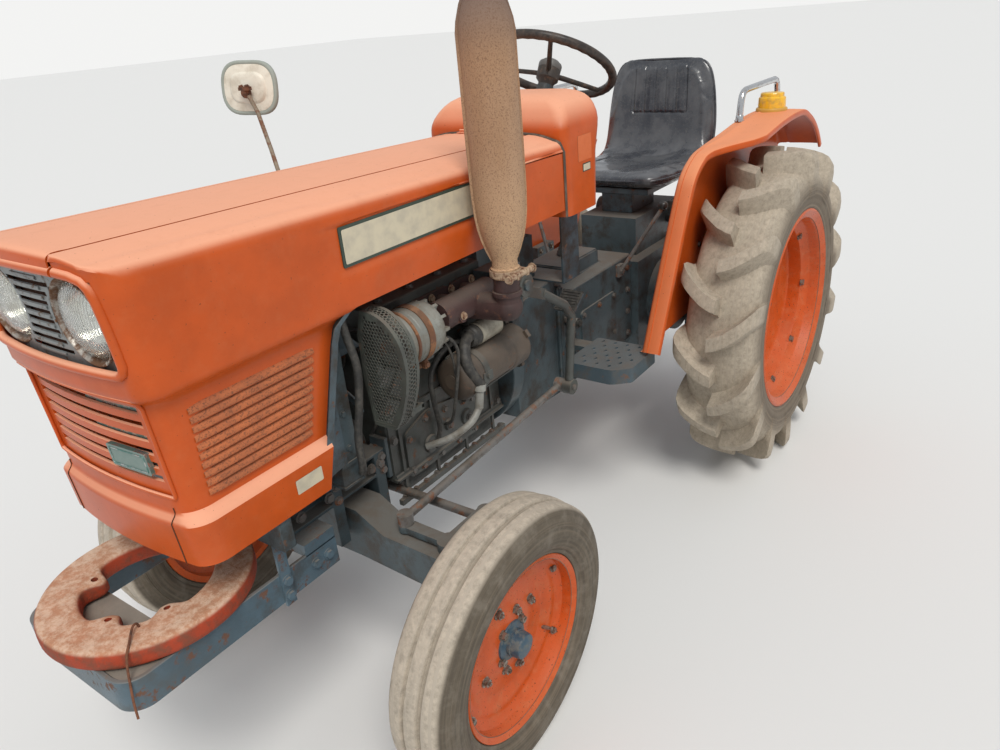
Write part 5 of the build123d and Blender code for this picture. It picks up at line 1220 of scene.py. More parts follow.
band_rubber = Finish("band_rubber", 0.75)
band_rubber.two_tone((0.075, 0.055, 0.040), (0.15, 0.105, 0.075), 0.4, 0.7, 50, 6)
band = Piece()
section = [(y / 1000, bonnet_crown(0.792, y / 1000)) for y in range(0, 231, 10)]
section += [(0.230, z / 1000) for z in range(1170, 1007, -18)] + [(0.230, 1.008)]
section = [(-y, z) for y, z in reversed(section[1:])] + section
rows = []
for x, proud in ((0.7796, -0.002), (0.7796, 0.0015), (0.7812, 0.0030), (0.7855, 0.0034), (0.7898, 0.0030),
                 (0.7914, 0.0015), (0.7914, -0.002)):
    rows.append([(x, y + copysign(proud if abs(y) > 0.225 else 0.0, y),
                  z + (proud if abs(y) <= 0.225 else 0))
                 for y, z in section])
band.grid(rows, round_rows=True)
for i in (0, -1):
    band.cap([row[i] for row in rows])
band.settle("joint_band", band_rubber.material, "chassis", "rubber_trim", "trim_band", smooth=50)

labels = Piece()
for side in (1, -1):
    for x0, x1, z0, z1, part in ((0.648, 0.690, 1.108, 1.130, 0), (0.6505, 0.6875, 1.1105, 1.1275, 1),
                                 (0.640, 0.712, 1.138, 1.205, 2)):
        outline = rounded([(x0, z0), (x1, z0), (x1, z1), (x0, z1)], 0.002, 2)
        proud = 0.2312 if part == 1 else 0.2306
        raised(labels, outline, side * 0.2295, side * proud, part)
faded_square = Finish("faded_square", 0.5)
faded_square.colour(faded_square.mix(faded_square.noise(60, 5), (0.60, 0.115, 0.02), (0.70, 0.18, 0.06)))
labels.settle("cowl_labels", [plate_edge.material, plate_paint.material, faded_square.material], "chassis",
              "orange_paint", "dash_cowl")


# Mudguards. Each is an upright wall beside the seat with a wide arched sheet over the tyre, which
# narrows to a long leg down to the footstep. Its outer edge is rolled over, and a bead stiffens it.
arch = [(0.666, 0.594), (0.600, 0.722), (0.540, 0.838), (0.490, 0.933), (0.452, 1.000), (0.428, 1.036),
        (0.398, 1.064), (0.362, 1.084), (0.320, 1.099), (0.240, 1.109), (0.130, 1.119), (0.040, 1.129),
        (-0.040, 1.137), (-0.150, 1.142), (-0.260, 1.138), (-0.330, 1.116), (-0.400, 1.083),
        (-0.460, 1.038), (-0.508, 0.986)]
foot_line = [(0.666, 0.594), (0.500, 0.596), (0.300, 0.598), (0.060, 0.600), (-0.100, 0.618),
             (-0.240, 0.632), (-0.300, 0.640), (-0.345, 0.715), (-0.400, 0.806), (-0.445, 0.882),
             (-0.480, 0.940), (-0.508, 0.984)]
# Mudguards: the deep colour is darkened with painted shade, and the pale top colour holds painted sunlight
fender_paint = faded_paint_with_painted_light("mudguard_orange", (0.56, 0.080, 0.004), (0.86, 0.36, 0.18), fade_and_sunlight=0.75,
                               dirt=0.08)


def smooth_line(points, count):
    """A smooth line through the points, as count evenly shared samples."""
    line = []
    for i in range(count + 1):
        at = i / count * (len(points) - 1)
        k = min(int(at), len(points) - 2)
        t = at - k
        p = [Vector(points[max(0, min(len(points) - 1, k + d))]) for d in (-1, 0, 1, 2)]
        line.append(0.5 * (2 * p[1] + (p[2] - p[0]) * t + (2 * p[0] - 5 * p[1] + 4 * p[2] - p[3]) * t * t +
                           (3 * p[1] - p[0] - 3 * p[2] + p[3]) * t ** 3))
    return line


def guard_reach(x):
    return along([(-1, 0.545), (0.130, 0.545), (0.180, 0.530), (0.260, 0.475), (0.300, 0.452),
                  (0.340, 0.442), (1, 0.440)], x)


for side, name in ((1, "left"), (-1, "right")):
    guard, rows = Piece(), []
    ridge = smooth_line(arch, 72)
    for i, p in enumerate(ridge):
        ahead = (ridge[min(i + 1, 72)] - ridge[max(i - 1, 0)]).normalized()
        out = Vector((ahead.y, -ahead.x))
        foot = Vector((along([(j / 11, q[0]) for j, q in enumerate(foot_line)], i / 72),
                       along([(j / 11, q[1]) for j, q in enumerate(foot_line)], i / 72)))
        reach = guard_reach(p.x)
        row = [(foot.x, 0.3855, foot.y)]
        for t in (0.3, 0.6, 0.85):
            q = foot.lerp(p - out * 0.014, t)
            row.append((q.x, 0.3855, q.y))
        for dy, down in ((0.0, 0.014), (0.0015, 0.0085), (0.005, 0.0040), (0.009, 0.0015), (0.014, 0.0005)):
            row.append((p.x - out.x * down, 0.3855 + dy, p.y - out.y * down))
        for t in (0.12, 0.16, 0.20, 0.24, 0.5, 0.8):
            rise = 0.0022 if t in (0.16, 0.20) else (0.001 if t > 0.3 else 0.0)
            row.append((p.x + out.x * rise, 0.3995 + (reach - 0.010 - 0.3995) * t, p.y + out.y * rise))
        for dy, down in ((-0.006, 0.0), (-0.002, 0.0012), (0.0, 0.0045), (0.0, 0.0160), (-0.002, 0.0195),
                         (-0.006, 0.0205), (-0.009, 0.0190)):
            row.append((p.x - out.x * down, reach + dy, p.y - out.y * down))
        rows.append([Vector((x, side * y, z)) for x, y, z in row])
    guard.grid(rows)
    guard.settle("mudguard_" + name, fender_paint, "chassis", "orange_paint", "fenders", wall=0.0024,
                 smooth=40)

guard_bolts = Piece()
for side in (1, -1):
    for x in (-0.040, 0.040):
        guard_bolts.bolt((x, side * 0.352, 0.642), (0, -side, 0), 0.015)
    for x, z in ((0.605, 0.640), (0.560, 0.722), (0.25, 0.80), (-0.1, 0.80), (-0.3, 0.86)):
        guard_bolts.bolt((x, side * 0.3832, z), (0, -side, 0), 0.013)
        guard_bolts.bolt((x, side * 0.3878, z), (0, side, 0), 0.013)
guard_bolts.settle("mudguard_fixings", bolt_metal.material, "chassis", "orange_paint", "fenders")

# Side lamps on the mudguards, of amber plastic with a ribbed skirt on a round foot, and the two
# grab rails, bent from chromed tube and bolted down on small flanges.
amber = Finish("amber_plastic", 0.28, coat=0.3)
amber.shader.inputs["Subsurface Weight"].default_value = 0.25
amber.shader.inputs["Subsurface Radius"].default_value = (0.02, 0.01, 0.002)
amber.two_tone((0.86, 0.50, 0.022), (0.55, 0.33, 0.06), 0.45, 0.75, 60, 6)
lamp_foot_finish = Finish("lamp_foot_amber", 0.45)
lamp_foot_finish.colour(lamp_foot_finish.mix(lamp_foot_finish.noise(40, 5), (0.72, 0.42, 0.05),
                                             (0.45, 0.27, 0.08)))
chromed = Finish("old_chrome", 0.16, 1.0)
pits = chromed.two_tone((0.62, 0.62, 0.62), (0.17, 0.09, 0.05), 0.55, 0.68, 130, 8, rough=0.7)
chromed.gloss(pits, 0.14, 0.8)
chromed.relief(pits, 0.0003, 0.5)
ambers, feet, rails = Piece(), Piece(), Piece()
for side in (1, -1):
    place = placed((-0.200, side * 0.450, 1.1403), -1.5, "Y")
    feet.turned([(0, 0), (0.050, 0), (0.0505, 0.003), (0.0505, 0.009), (0.0490, 0.0115), (0.0440, 0.0125),
                 (0, 0.0125)], place, 48)
    steps, rings = 56, []   # every second step of the skirt stands out as a rib
    for height, r in ((0.0125, 0.0440), (0.0200, 0.0440), (0.0300, 0.0435), (0.0420, 0.0430),
                      (0.0445, 0.0425), (0.0460, 0.0400), (0.0475, 0.0385), (0.0560, 0.0380),
                      (0.0585, 0.0365), (0.0598, 0.0330)):
        ring = []
        for k in range(steps):
            a = k * tau / steps
            reach = r + (0.0006 if k % 2 and 0.020 <= height <= 0.0425 else 0)
            ring.append(place @ Vector((reach * cos(a), reach * sin(a), height)))
        rings.append(ring)
    ambers.grid(rings, round_columns=True)
    ambers.add([place @ Vector((0, 0, 0.0603))] + rings[-1],
               [(0, k + 1, (k + 1) % steps + 1) for k in range(steps)])
    bar = [(-0.012, 1.148), (-0.016, 1.172), (-0.022, 1.196), (-0.029, 1.211), (-0.042, 1.221),
           (-0.060, 1.225), (-0.120, 1.2255), (-0.200, 1.2255), (-0.300, 1.2255), (-0.350, 1.225),
           (-0.368, 1.220), (-0.378, 1.209), (-0.384, 1.190), (-0.390, 1.150), (-0.3945, 1.118)]
    rails.pipe([(x, side * 0.408, z) for x, z in bar], 0.0105, steps=20)
    for x, z, lean in ((-0.012, 1.1345, 0.10), (-0.3945, 1.0900, -0.42)):
        foot = Matrix.Translation((x, side * 0.408, z)) @ Matrix.Rotation(-lean, 4, "Y")
        rails.turned([(0, 0), (0.0155, 0), (0.0155, 0.004), (0.0125, 0.006), (0.0120, 0.018),
                      (0.0105, 0.020), (0, 0.020)], foot, 24)
ambers.settle("amber_lamps", amber.material, "chassis", "amber_plastic", "fender_lamps", smooth=25)
feet.settle("amber_lamp_feet", lamp_foot_finish.material, "chassis", "amber_plastic", "fender_lamps")
rails.settle("chromed_rails", chromed.material, "chassis", "chrome", "grab_rails")


# Steering wheel. A hard black rim with finger grips beneath on three steel spokes, and a domed
# plastic cap over the nut. Its shaft runs down the column through the dash.
wheel_rubber = Finish("worn_wheel_rim", 0.5)
worn = wheel_rubber.two_tone((0.026, 0.020, 0.017), (0.085, 0.060, 0.045), 0.4, 0.7, 45, 7, rough=0.65)
wheel_rubber.gloss(worn, 0.35, 0.75)
cap_plastic = Finish("wheel_cap_grey", 0.45)
cap_plastic.colour(cap_plastic.mix(cap_plastic.noise(30, 5), (0.16, 0.155, 0.145), (0.09, 0.085, 0.08)))
dark_steel = Finish("painted_spokes", 0.5, 0.2)
dark_steel.two_tone((0.05, 0.042, 0.036), (0.14, 0.09, 0.06), 0.5, 0.68, 80, 7, rough=0.7)
helm = placed((0.461, 0, 1.360), -32, "Y")
grip, rows = Piece(), []
for i in range(144):
    a = i * tau / 144
    row = []
    for k in range(16):
        t = k * tau / 16
        r = 0.0128
        if sin(t) < -0.2:
            r += 0.0012 * (0.5 + 0.5 * cos(a * 36)) * min(1, -sin(t) * 1.3) - 0.0006
        reach = 0.187 + r * cos(t)
        row.append(helm @ Vector((reach * cos(a), reach * sin(a), r * sin(t))))
    rows.append(row)
grip.grid(rows, round_rows=True, round_columns=True)
grip.settle("wheel_rim_grip", wheel_rubber.material, "steering_wheel", "wheel_grip", "steering_wheel")
spokes = Piece()
for i in range(3):
    a = radians(120 * i + 30)
    path = [helm @ Vector((cos(a) * r, sin(a) * r, z)) for r, z in
            ((0.018, -0.022), (0.050, -0.017), (0.110, -0.010), (0.155, -0.005), (0.178, -0.002))]
    spokes.pipe(path, [0.0085, 0.0085, 0.0080, 0.0075, 0.0070], steps=12, flat=0.75)
spokes.turned([(0.011, -0.300), (0.011, -0.080), (0.018, -0.075), (0.024, -0.050), (0.033, -0.040),
               (0.034, -0.010), (0.030, -0.006), (0, -0.006)], helm, 40)
spokes.settle("wheel_spokes_and_hub", dark_steel.material, "steering_wheel", "wheel_grip", "steering_wheel")
cap = Piece()
cap.turned([(0.0330, -0.010), (0.0345, -0.004), (0.0345, 0.004), (0.0330, 0.008), (0.0285, 0.0095),
            (0.0270, 0.012), (0.0240, 0.0155), (0.0150, 0.0182), (0, 0.0190)], helm, 48)
cap.settle("wheel_cap", cap_plastic.material, "steering_wheel", "wheel_grip", "steering_wheel")


# Seat. A one-piece bucket cushion of black vinyl over foam. Its back has a stitched panel with
# upright channels, and a welt of piping runs round the edge. It stands on a pressed steel pan.
vinyl = Finish("black_vinyl", 0.3, coat=0.5)
paler_share = vinyl.times(vinyl.between(vinyl.noise(9, 6, rough=0.6), 0.3, 0.72), 0.8)
skin = vinyl.mix(paler_share, (0.020, 0.024, 0.034), (0.130, 0.134, 0.140))
crumbs = vinyl.times(vinyl.between(vinyl.noise(130, 7, rough=0.75), 0.52, 0.7), 0.35)
vinyl.colour(vinyl.mix(crumbs, skin, (0.20, 0.18, 0.15)))
vinyl.gloss(vinyl.sum(vinyl.times(paler_share, 0.4), crumbs), 0.22, 0.60)
vinyl.relief(vinyl.sum(vinyl.times(vinyl.cells(420), 0.35), vinyl.times(vinyl.noise(14, 4), 0.9)), 0.0014,
             0.35)
# Columns: sitter's side (x, z), far side (x, z), half width
bucket = [(0.149, 0.966, 0.146, 0.950, 0.132), (0.140, 0.988, 0.124, 0.936, 0.176),
          (0.085, 0.998, 0.070, 0.927, 0.206), (0.000, 0.995, -0.020, 0.926, 0.220),
          (-0.090, 0.990, -0.110, 0.926, 0.224), (-0.165, 0.986, -0.200, 0.927, 0.225),
          (-0.212, 0.996, -0.262, 0.940, 0.225), (-0.240, 1.020, -0.306, 0.970, 0.225),
          (-0.259, 1.060, -0.334, 1.022, 0.225), (-0.274, 1.110, -0.346, 1.084, 0.224),
          (-0.291, 1.190, -0.353, 1.180, 0.214), (-0.303, 1.255, -0.357, 1.252, 0.198),
          (-0.312, 1.292, -0.358, 1.290, 0.176), (-0.326, 1.312, -0.344, 1.313, 0.146)]
stations = [smooth_line([row[k:k + 2] for row in bucket], 44) for k in (0, 2)]
halves = [p.x for p in smooth_line([(row[4], 0) for row in bucket], 44)]


def seat_ring(i, steps=40):
    """One closed ring of the cushion: flat behind, and dished on the sitter's side."""
    ring = []
    for k in range(steps):
        t = k * tau / steps
        c, s = cos(t), sin(t)
        across = copysign(abs(c) ** 0.55, c)
        thick = copysign(abs(s) ** 0.55, s)
        dish = 0.30 * max(0.0, 1 - (across / 0.80) ** 2) if s > 0 else 0.0
        share = 0.06 + 0.88 * (0.5 + 0.5 * thick - dish)
        p = stations[1][i].lerp(stations[0][i], share)
        ring.append((p.x, halves[i] * across * 0.985, p.y))
    return ring


seat = Piece()
rings = [seat_ring(i) for i in range(45)]
seat.grid(rings, round_columns=True)
seat.cap(rings[0])
seat.cap(rings[-1])
swollen = bpy.data.objects.new("seat_shell", seat.mesh("seat_shell"))
bpy.context.scene.collection.objects.link(swollen)
remesh = swollen.modifiers.new("foam", "REMESH")
remesh.mode = "VOXEL"
remesh.voxel_size = 0.006
foam = evaluated(swollen)
swollen.modifiers.clear()
swollen.data = foam
start = [v.co.copy() for v in foam.vertices]
cloth = swollen.modifiers.new("vinyl", "CLOTH")
cloth.settings.use_pressure = True
cloth.settings.uniform_pressure_force = 4
cloth.settings.effector_weights.gravity = 0
cloth.settings.quality = 5
cloth.settings.tension_stiffness = 18
cloth.settings.bending_stiffness = 0.6
for at in range(1, 21):
    bpy.context.scene.frame_set(at)
blown = evaluated(swollen)
swollen.modifiers.clear()
swollen.data = blown
bpy.context.scene.frame_set(1)
most = 0.007   # the vinyl holds the foam, so that it swells no further than this
for v, rest in zip(blown.vertices, start):
    move = v.co - rest
    if move.length > most:
        v.co = rest + move.normalized() * most
finer = swollen.modifiers.new("finer", "SUBSURF")
finer.levels = finer.render_levels = 1
skin_mesh = evaluated(swollen)
bpy.data.objects.remove(swollen)

cushion = Piece()
cushion.form.from_mesh(skin_mesh)
cushion.form.normal_update()
seams_up = [-0.100, -0.060, -0.020, 0.020, 0.060, 0.100]
moves = []
for v in cushion.form.verts:
    x, y, z = v.co
    depth = 0.0
    if v.normal.x > 0.45 and z > 1.06 and x > -0.335:
        fade_low = min(1.0, max(0.0, (z - 1.122) / 0.008))
        fade_high = min(1.0, max(0.0, (1.292 - z) / 0.022))
        for seam in seams_up:
            sewn = exp(-((y - seam * (1 + 0.08 * (1.30 - z) / 0.2)) / 0.0042) ** 2)
            depth += 0.0052 * sewn * fade_low * fade_high
        if abs(y) < 0.106:
            depth += 0.0042 * exp(-((z - 1.124) / 0.0042) ** 2)
        if abs(y) < 0.100 and z > 1.124:
            depth -= 0.0034 * abs(cos((y + 0.020) / 0.040 * pi)) * fade_high
    if v.normal.z > 0.5 and -0.17 < x < 0.10:
        depth += 0.0035 * exp(-((abs(y) - 0.135) / 0.005) ** 2)
        wrinkle = sin(x * 70 + 2.2 * sin(y * 11)) * sin(y * 19 + x * 8)
        depth += 0.0016 * wrinkle
    if z < 1.10 and -0.27 < x < -0.15 and v.normal.z > 0.1:
        depth += 0.0030 * sin(y * 42 + 3 * sin(x * 30)) * exp(-((x + 0.215) / 0.03) ** 2)
    moves.append(v.normal * -depth)
for v, move in zip(cushion.form.verts, moves):
    v.co += move
cushion_skin = BVHTree.FromBMesh(cushion.form)
seat_cover = cushion.settle("seat_cushion", vinyl.material, "chassis", "vinyl", "seat_pad", smooth=180)

welt = Piece()
edge = []
for i in range(2, 44):
    p = stations[1][i].lerp(stations[0][i], 0.5)
    edge.append((p.x, halves[i] * 0.985 + 0.0045, p.y))
nose_edge = [(0.150, y, 0.9585) for y in (0.120, 0.06, 0.0, -0.06, -0.120)]
top_edge = [(-0.335, y, 1.3155) for y in (-0.125, -0.06, 0.0, 0.06, 0.125)]
loop = edge[::-1] + nose_edge + [(x, -y, z) for x, y, z in edge] + top_edge
# The welt lies on the cushion's own edge, wherever the foam has drawn it to.
on_edge = []
for p in loop:
    foot, outward = cushion_skin.find_nearest(Vector(p))[:2]
    on_edge.append(foot + outward * 0.0020)
for turn in range(3):
    on_edge = [(on_edge[k - 1] + on_edge[k] * 2 + on_edge[(k + 1) % len(on_edge)]) / 4
               for k in range(len(on_edge))]
welt.pipe(on_edge, 0.0040, steps=8, closed=True)
welt.settle("seat_welt", vinyl.material, "chassis", "vinyl", "seat_pad", smooth=60)


# Castings and steel work. Everything below the bonnet was painted blue-grey once. It is now dark
# with oil and dust, rusted at the edges, and bare where it rubs.
def oily_casting(name, paint, grime=(0.040, 0.034, 0.028), rust=(0.14, 0.065, 0.035), rusted=0.62,
                 dusty=0.5, rough=0.55):
    casting = Finish(name, rough)
    drift = casting.between(casting.noise(5, 6, rough=0.6), 0.32, 0.72)
    body = casting.mix(drift, paint, tuple(c * 0.55 for c in paint))
    body = casting.mix(casting.between(casting.noise(13, 8, rough=0.72), 0.44, 0.66), body, grime)
    bloom = casting.between(casting.noise(30, 8, rough=0.7), rusted, rusted + 0.08)
    body = casting.mix(bloom, body, rust)
    dust = casting.times(casting.upward(0.3, 0.95), dusty)
    body = casting.mix(dust, body, (0.24, 0.20, 0.16))
    casting.colour(body)
    casting.gloss(casting.sum(bloom, dust), rough * 0.75, 0.9)
    casting.relief(casting.noise(180, 6, rough=0.75), 0.0010, 0.5)
    return casting.material


blue_casting = oily_casting("blue_grey_casting", (0.075, 0.105, 0.118))
dark_casting = oily_casting("dark_engine_casting", (0.080, 0.086, 0.078), rusted=0.60)
blue_sheet = oily_casting("blue_grey_sheet", (0.085, 0.125, 0.150), rusted=0.60, dusty=0.6, rough=0.45)
brown_iron = oily_casting("heat_browned_iron", (0.068, 0.034, 0.031), grime=(0.040, 0.022, 0.020),
                          rust=(0.15, 0.070, 0.045), rusted=0.57, dusty=0.30, rough=0.8)
pale_alloy = oily_casting("pale_alloy", (0.34, 0.34, 0.31), grime=(0.16, 0.14, 0.11),
                          rust=(0.25, 0.17, 0.10), rusted=0.64, dusty=0.3, rough=0.5)
bare_rod = oily_casting("bare_rod", (0.16, 0.15, 0.14), grime=(0.06, 0.05, 0.04), rust=(0.17, 0.075, 0.04),
                        rusted=0.52, dusty=0.3, rough=0.5)
steel_work = [
    ("engine", 0.006, dark_casting, "chassis", "engine_iron"),
    ("clutch_housing", 0.006, blue_casting, "chassis", "blue_grey_paint"),
    ("transmission", 0.006, blue_casting, "chassis", "blue_grey_paint"),
    ("rear_axle", 0.006, blue_casting, "chassis", "blue_grey_paint"),
    ("lift_case", 0.006, blue_casting, "chassis", "blue_grey_paint"),
    ("steering_box", 0.006, blue_casting, "chassis", "blue_grey_paint"),
    ("steering_column", 0.003, blue_casting, "chassis", "blue_grey_paint"),
    ("front_axle", 0.004, blue_casting, "chassis", "blue_grey_paint"),
    ("front_frame", 0.002, blue_casting, "chassis", "blue_grey_paint"),
    ("knuckle_left", 0.0025, blue_casting, "knuckle_left", "blue_grey_paint"),
    ("knuckle_right", 0.0025, blue_casting, "knuckle_right", "blue_grey_paint"),
    ("tie_rod", 0.0015, bare_rod, "tie_rod", "bare_steel"),
    ("pitman_arm", 0.0025, dark_casting, "pitman_arm", "bare_steel"),
    ("drag_link", 0.0015, bare_rod, "drag_link", "bare_steel"),
    ("lift_arms", 0.003, blue_casting, "lift_arms", "blue_grey_paint"),
    ("lower_link_left", 0.0018, bare_rod, "lower_link_left", "bare_steel"),
    ("lower_link_right", 0.0018, bare_rod, "lower_link_right", "bare_steel"),
    ("lift_rod_left", 0.0015, bare_rod, "lift_rod_left", "bare_steel"),
    ("lift_rod_right", 0.0015, bare_rod, "lift_rod_right", "bare_steel"),
    ("drawbar", 0.002, bare_rod, "chassis", "blue_grey_paint"),
    ("radiator", 0.003, blue_casting, "chassis", "blue_grey_paint"),
    ("exhaust_manifold", 0.003, brown_iron, "chassis", "rusty_iron"),
    ("seat_frame", 0.002, blue_sheet, "chassis", "blue_grey_paint"),
    ("dash_support", 0.0008, blue_sheet, "chassis", "blue_grey_paint"),
    ("pedals", 0.002, blue_sheet, "chassis", "blue_grey_paint"),
]
for node, rounding, finish, body, slot in steel_work:
    part = Piece()
    part.copied(node, rounding)
    part.settle(node + "_rounded", finish, body, slot, node, smooth=40, flat=True)


# Belt guard. A dished sheet steel cover in front of the fan belt, pierced all over with round
# holes. It is painted pale grey-green, with a plain edge, and hangs on a strap from the engine.
guard_paint = oily_casting("guard_grey_green", (0.105, 0.115, 0.098), grime=(0.055, 0.055, 0.048),
                           rust=(0.16, 0.085, 0.05), rusted=0.60, dusty=0.4, rough=0.6)


def pierced_sheet(piece, low, high, pitch, hole, kind, place):
    """Six-sided tiles, each with a round hole, put side by side and bent into place."""
    step_v = pitch * sqrt(3) / 2
    ring = [k * tau / 12 for k in range(12)]
    for i in range(int((high[1] - low[1]) / step_v) + 1):
        v = low[1] + i * step_v
        for j in range(int((high[0] - low[0]) / pitch) + 1):
            u = low[0] + (j + 0.5 * (i % 2)) * pitch
            wanted = kind(u, v)
            if not wanted:
                continue
            reach = [pitch / sqrt(3) * (1 if k % 2 else sqrt(3) / 2) for k in range(12)]
            outer = [place(u + r * cos(a), v + r * sin(a)) for a, r in zip(ring, reach)]
            if wanted == "plain":
                piece.add(outer, [tuple(range(12))])
                continue
            inner = [place(u + hole * cos(a), v + hole * sin(a)) for a in ring]
            piece.add(outer + inner, [(k, (k + 1) % 12, 12 + (k + 1) % 12, 12 + k) for k in range(12)])
    bmesh.ops.remove_doubles(piece.form, verts=piece.form.verts[:], dist=1e-4)


def inside(outline, u, v):
    """How far a point lies inside a closed outline. Outside it the distance is below zero."""
    crossings, nearest = 0, 1.0
    for a, b in zip(outline, outline[1:] + outline[:1]):
        a, b, p = Vector(a), Vector(b), Vector((u, v))
        if (a.y > v) != (b.y > v) and u < a.x + (v - a.y) * (b.x - a.x) / (b.y - a.y):
            crossings += 1
        along_edge = max(0.0, min(1.0, (p - a).dot(b - a) / (b - a).length_squared))
        nearest = min(nearest, (p - a.lerp(b, along_edge)).length)
    return nearest if crossings % 2 else -nearest


guard_curve = smooth_line([(0.245, 0.740), (0.264, 0.768), (0.284, 0.815), (0.296, 0.860), (0.299, 0.900),
                           (0.291, 0.942), (0.268, 0.976), (0.235, 0.997), (0.195, 1.002)], 60)
guard_face = [tuple(p) for p in guard_curve] + [(0.178, 0.950), (0.176, 0.850), (0.185, 0.740)]
guard_front, guard_back = 1.5395, 1.4985


def face_tile(u, v):
    depth = inside(guard_face, u, v)
    return "open" if depth > 0.013 else "plain" if depth > 0.003 else None


def on_rim(u, v):
    at = max(0.0, min(59.999, u * 60))
    p = guard_curve[int(at)].lerp(guard_curve[int(at) + 1], at - int(at))
    return (v, p.x, p.y)


cover = Piece()
pierced_sheet(cover, (0.170, 0.735), (0.305, 1.010), 0.0086, 0.0035, face_tile,
              lambda u, v: (guard_front - 0.0004, u, v))
cover.settle("belt_guard_face", guard_paint, "chassis", "blue_grey_paint", "belt_guard", wall=0.0012)
rim_sheet, length = Piece(), sum((a - b).length for a, b in zip(guard_curve, guard_curve[1:]))
pierced_sheet(rim_sheet, (0.012, guard_back + 0.0080), (length - 0.010, guard_front - 0.0080), 0.0092,
              0.0038, lambda u, v: "open", lambda u, v: on_rim(u / length, v))
rim_sheet.settle("belt_guard_rim", guard_paint, "chassis", "blue_grey_paint", "belt_guard", wall=0.0012)
borders = Piece()
for a, b in ((guard_back, guard_back + 0.0085), (guard_front - 0.0090, guard_front)):
    borders.grid([[(x, p.x + 0.0003, p.y + 0.0003) for p in guard_curve] for x in (a, b)])
closed = [Vector(p) for p in guard_face]
middle = sum(closed, Vector((0, 0))) / len(closed)
rows = []
for grow in (0.0, 0.010):
    rows.append([(guard_front + 0.0004, *(p + (middle - p).normalized() * grow)) for p in closed])
borders.grid(rows, round_columns=True)
borders.grid([[(x, *guard_curve[i]) for x in (guard_back, guard_front)] for i in (0, 1)])
borders.settle("belt_guard_edges", guard_paint, "chassis", "blue_grey_paint", "belt_guard", wall=0.0016)
strap = Piece()
strap.block((1.440, 0.1405, 0.760), (1.470, 0.146, 0.774), 0.001)
strap.block((1.462, 0.1405, 0.764), (1.468, 0.262, 0.772), 0.001)
strap.block((1.462, 0.256, 0.760), (1.512, 0.262, 0.774), 0.001)
strap.bolt((1.452, 0.146, 0.767), (0, 1, 0), 0.013)
strap.bolt((1.503, 0.262, 0.767), (0, 1, 0), 0.012)
strap.settle("belt_guard_strap", guard_paint, "chassis", "blue_grey_paint", "belt_guard")


# Dynamo. A pale grey ribbed casing clamped in a rusty strap, with its pulley in front. The fan belt
# runs over it, the fan's pulley and the crankshaft's pulley.
casing_grey = oily_casting("dynamo_casing", (0.30, 0.31, 0.28), grime=(0.17, 0.155, 0.125),
                           rust=(0.26, 0.15, 0.08), rusted=0.62, dusty=0.3, rough=0.5)
strap_rust = oily_casting("rust_brown_strap", (0.20, 0.085, 0.035), grime=(0.13, 0.05, 0.025),
                          rust=(0.28, 0.13, 0.06), rusted=0.5, dusty=0.2, rough=0.8)
black_rubber = Finish("hose_rubber", 0.6)
black_rubber.two_tone((0.030, 0.029, 0.027), (0.085, 0.078, 0.066), 0.4, 0.7, 60, 6, rough=0.7)
black_rubber.relief(black_rubber.noise(200, 4), 0.0004, 0.4)
axle_x = Matrix.Rotation(radians(90), 4, "Y")
case_place = Matrix.Translation((1.335, 0.195, 0.900)) @ axle_x
drum, bands = Piece(), Piece()
drum.turned([(0, 0), (0.016, 0), (0.016, 0.004), (0.040, 0.006), (0.052, 0.010), (0.0595, 0.018),
             (0.0625, 0.028), (0.0635, 0.040), (0.0625, 0.042), (0.0625, 0.046), (0.0640, 0.048),
             (0.0640, 0.092), (0.0625, 0.094), (0.0625, 0.098), (0.0635, 0.100), (0.0630, 0.114),
             (0.0600, 0.122), (0.0540, 0.125), (0, 0.125)], case_place, 64)
for k in range(12):
    spin = case_place @ Matrix.Rotation(k * tau / 12, 4, "Z")
    drum.block((0.046, -0.0035, 0.0045), (0.0600, 0.0035, 0.030), 0.0015, spin)
for k in range(3):
    spin = Matrix.Rotation(k * tau / 3 + 0.5, 4, "Z")
    drum.bolt(case_place @ spin @ Vector((0.045, 0, 0.009)), (-1, 0, 0), 0.009)
drum.settle("dynamo_case", casing_grey, "chassis", "bare_alloy", "dynamo")
bands.turned([(0.0645, 0.060), (0.0662, 0.060), (0.0662, 0.078), (0.0645, 0.078)], case_place, 64)
bands.turned([(0.0636, 0.106), (0.0665, 0.107), (0.0665, 0.113), (0.0636, 0.114)], case_place, 64)
bands.block((1.398, 0.222, 0.826), (1.410, 0.232, 0.846), 0.0015)
bands.block((1.398, 0.204, 0.822), (1.410, 0.214, 0.842), 0.0015)
bands.bolt((1.404, 0.232, 0.834), (0, 1, 0), 0.011)
bands.pipe([(1.404, 0.200, 0.834), (1.404, 0.236, 0.834)], 0.0035, steps=10)
bands.settle("dynamo_strap", strap_rust, "chassis", "rusty_iron", "dynamo")
cradle = Piece()
cradle.block((1.355, 0.1405, 0.822), (1.445, 0.147, 0.856), 0.002)
cradle.block((1.355, 0.143, 0.829), (1.445, 0.212, 0.836), 0.002)
for x in (1.362, 1.432):
    cradle.block((x, 0.168, 0.829), (x + 0.008, 0.206, 0.842), 0.001)
    cradle.bolt((x + 0.004, 0.147, 0.848), (0, 1, 0), 0.012)
cradle.settle("dynamo_cradle", dark_casting, "chassis", "bare_alloy", "dynamo")


def grooved(radius, width):
    """Outline of a belt pulley with one groove, from its back to its front."""
    return [(0, 0), (radius, 0), (radius, width * 0.14), (radius - 0.010, width * 0.38),
            (radius - 0.010, width * 0.62), (radius, width * 0.86), (radius, width),
            (radius * 0.55, width), (radius * 0.50, width * 0.8), (radius * 0.3, width * 0.8),
            (radius * 0.28, width * 1.05), (0, width * 1.05)]


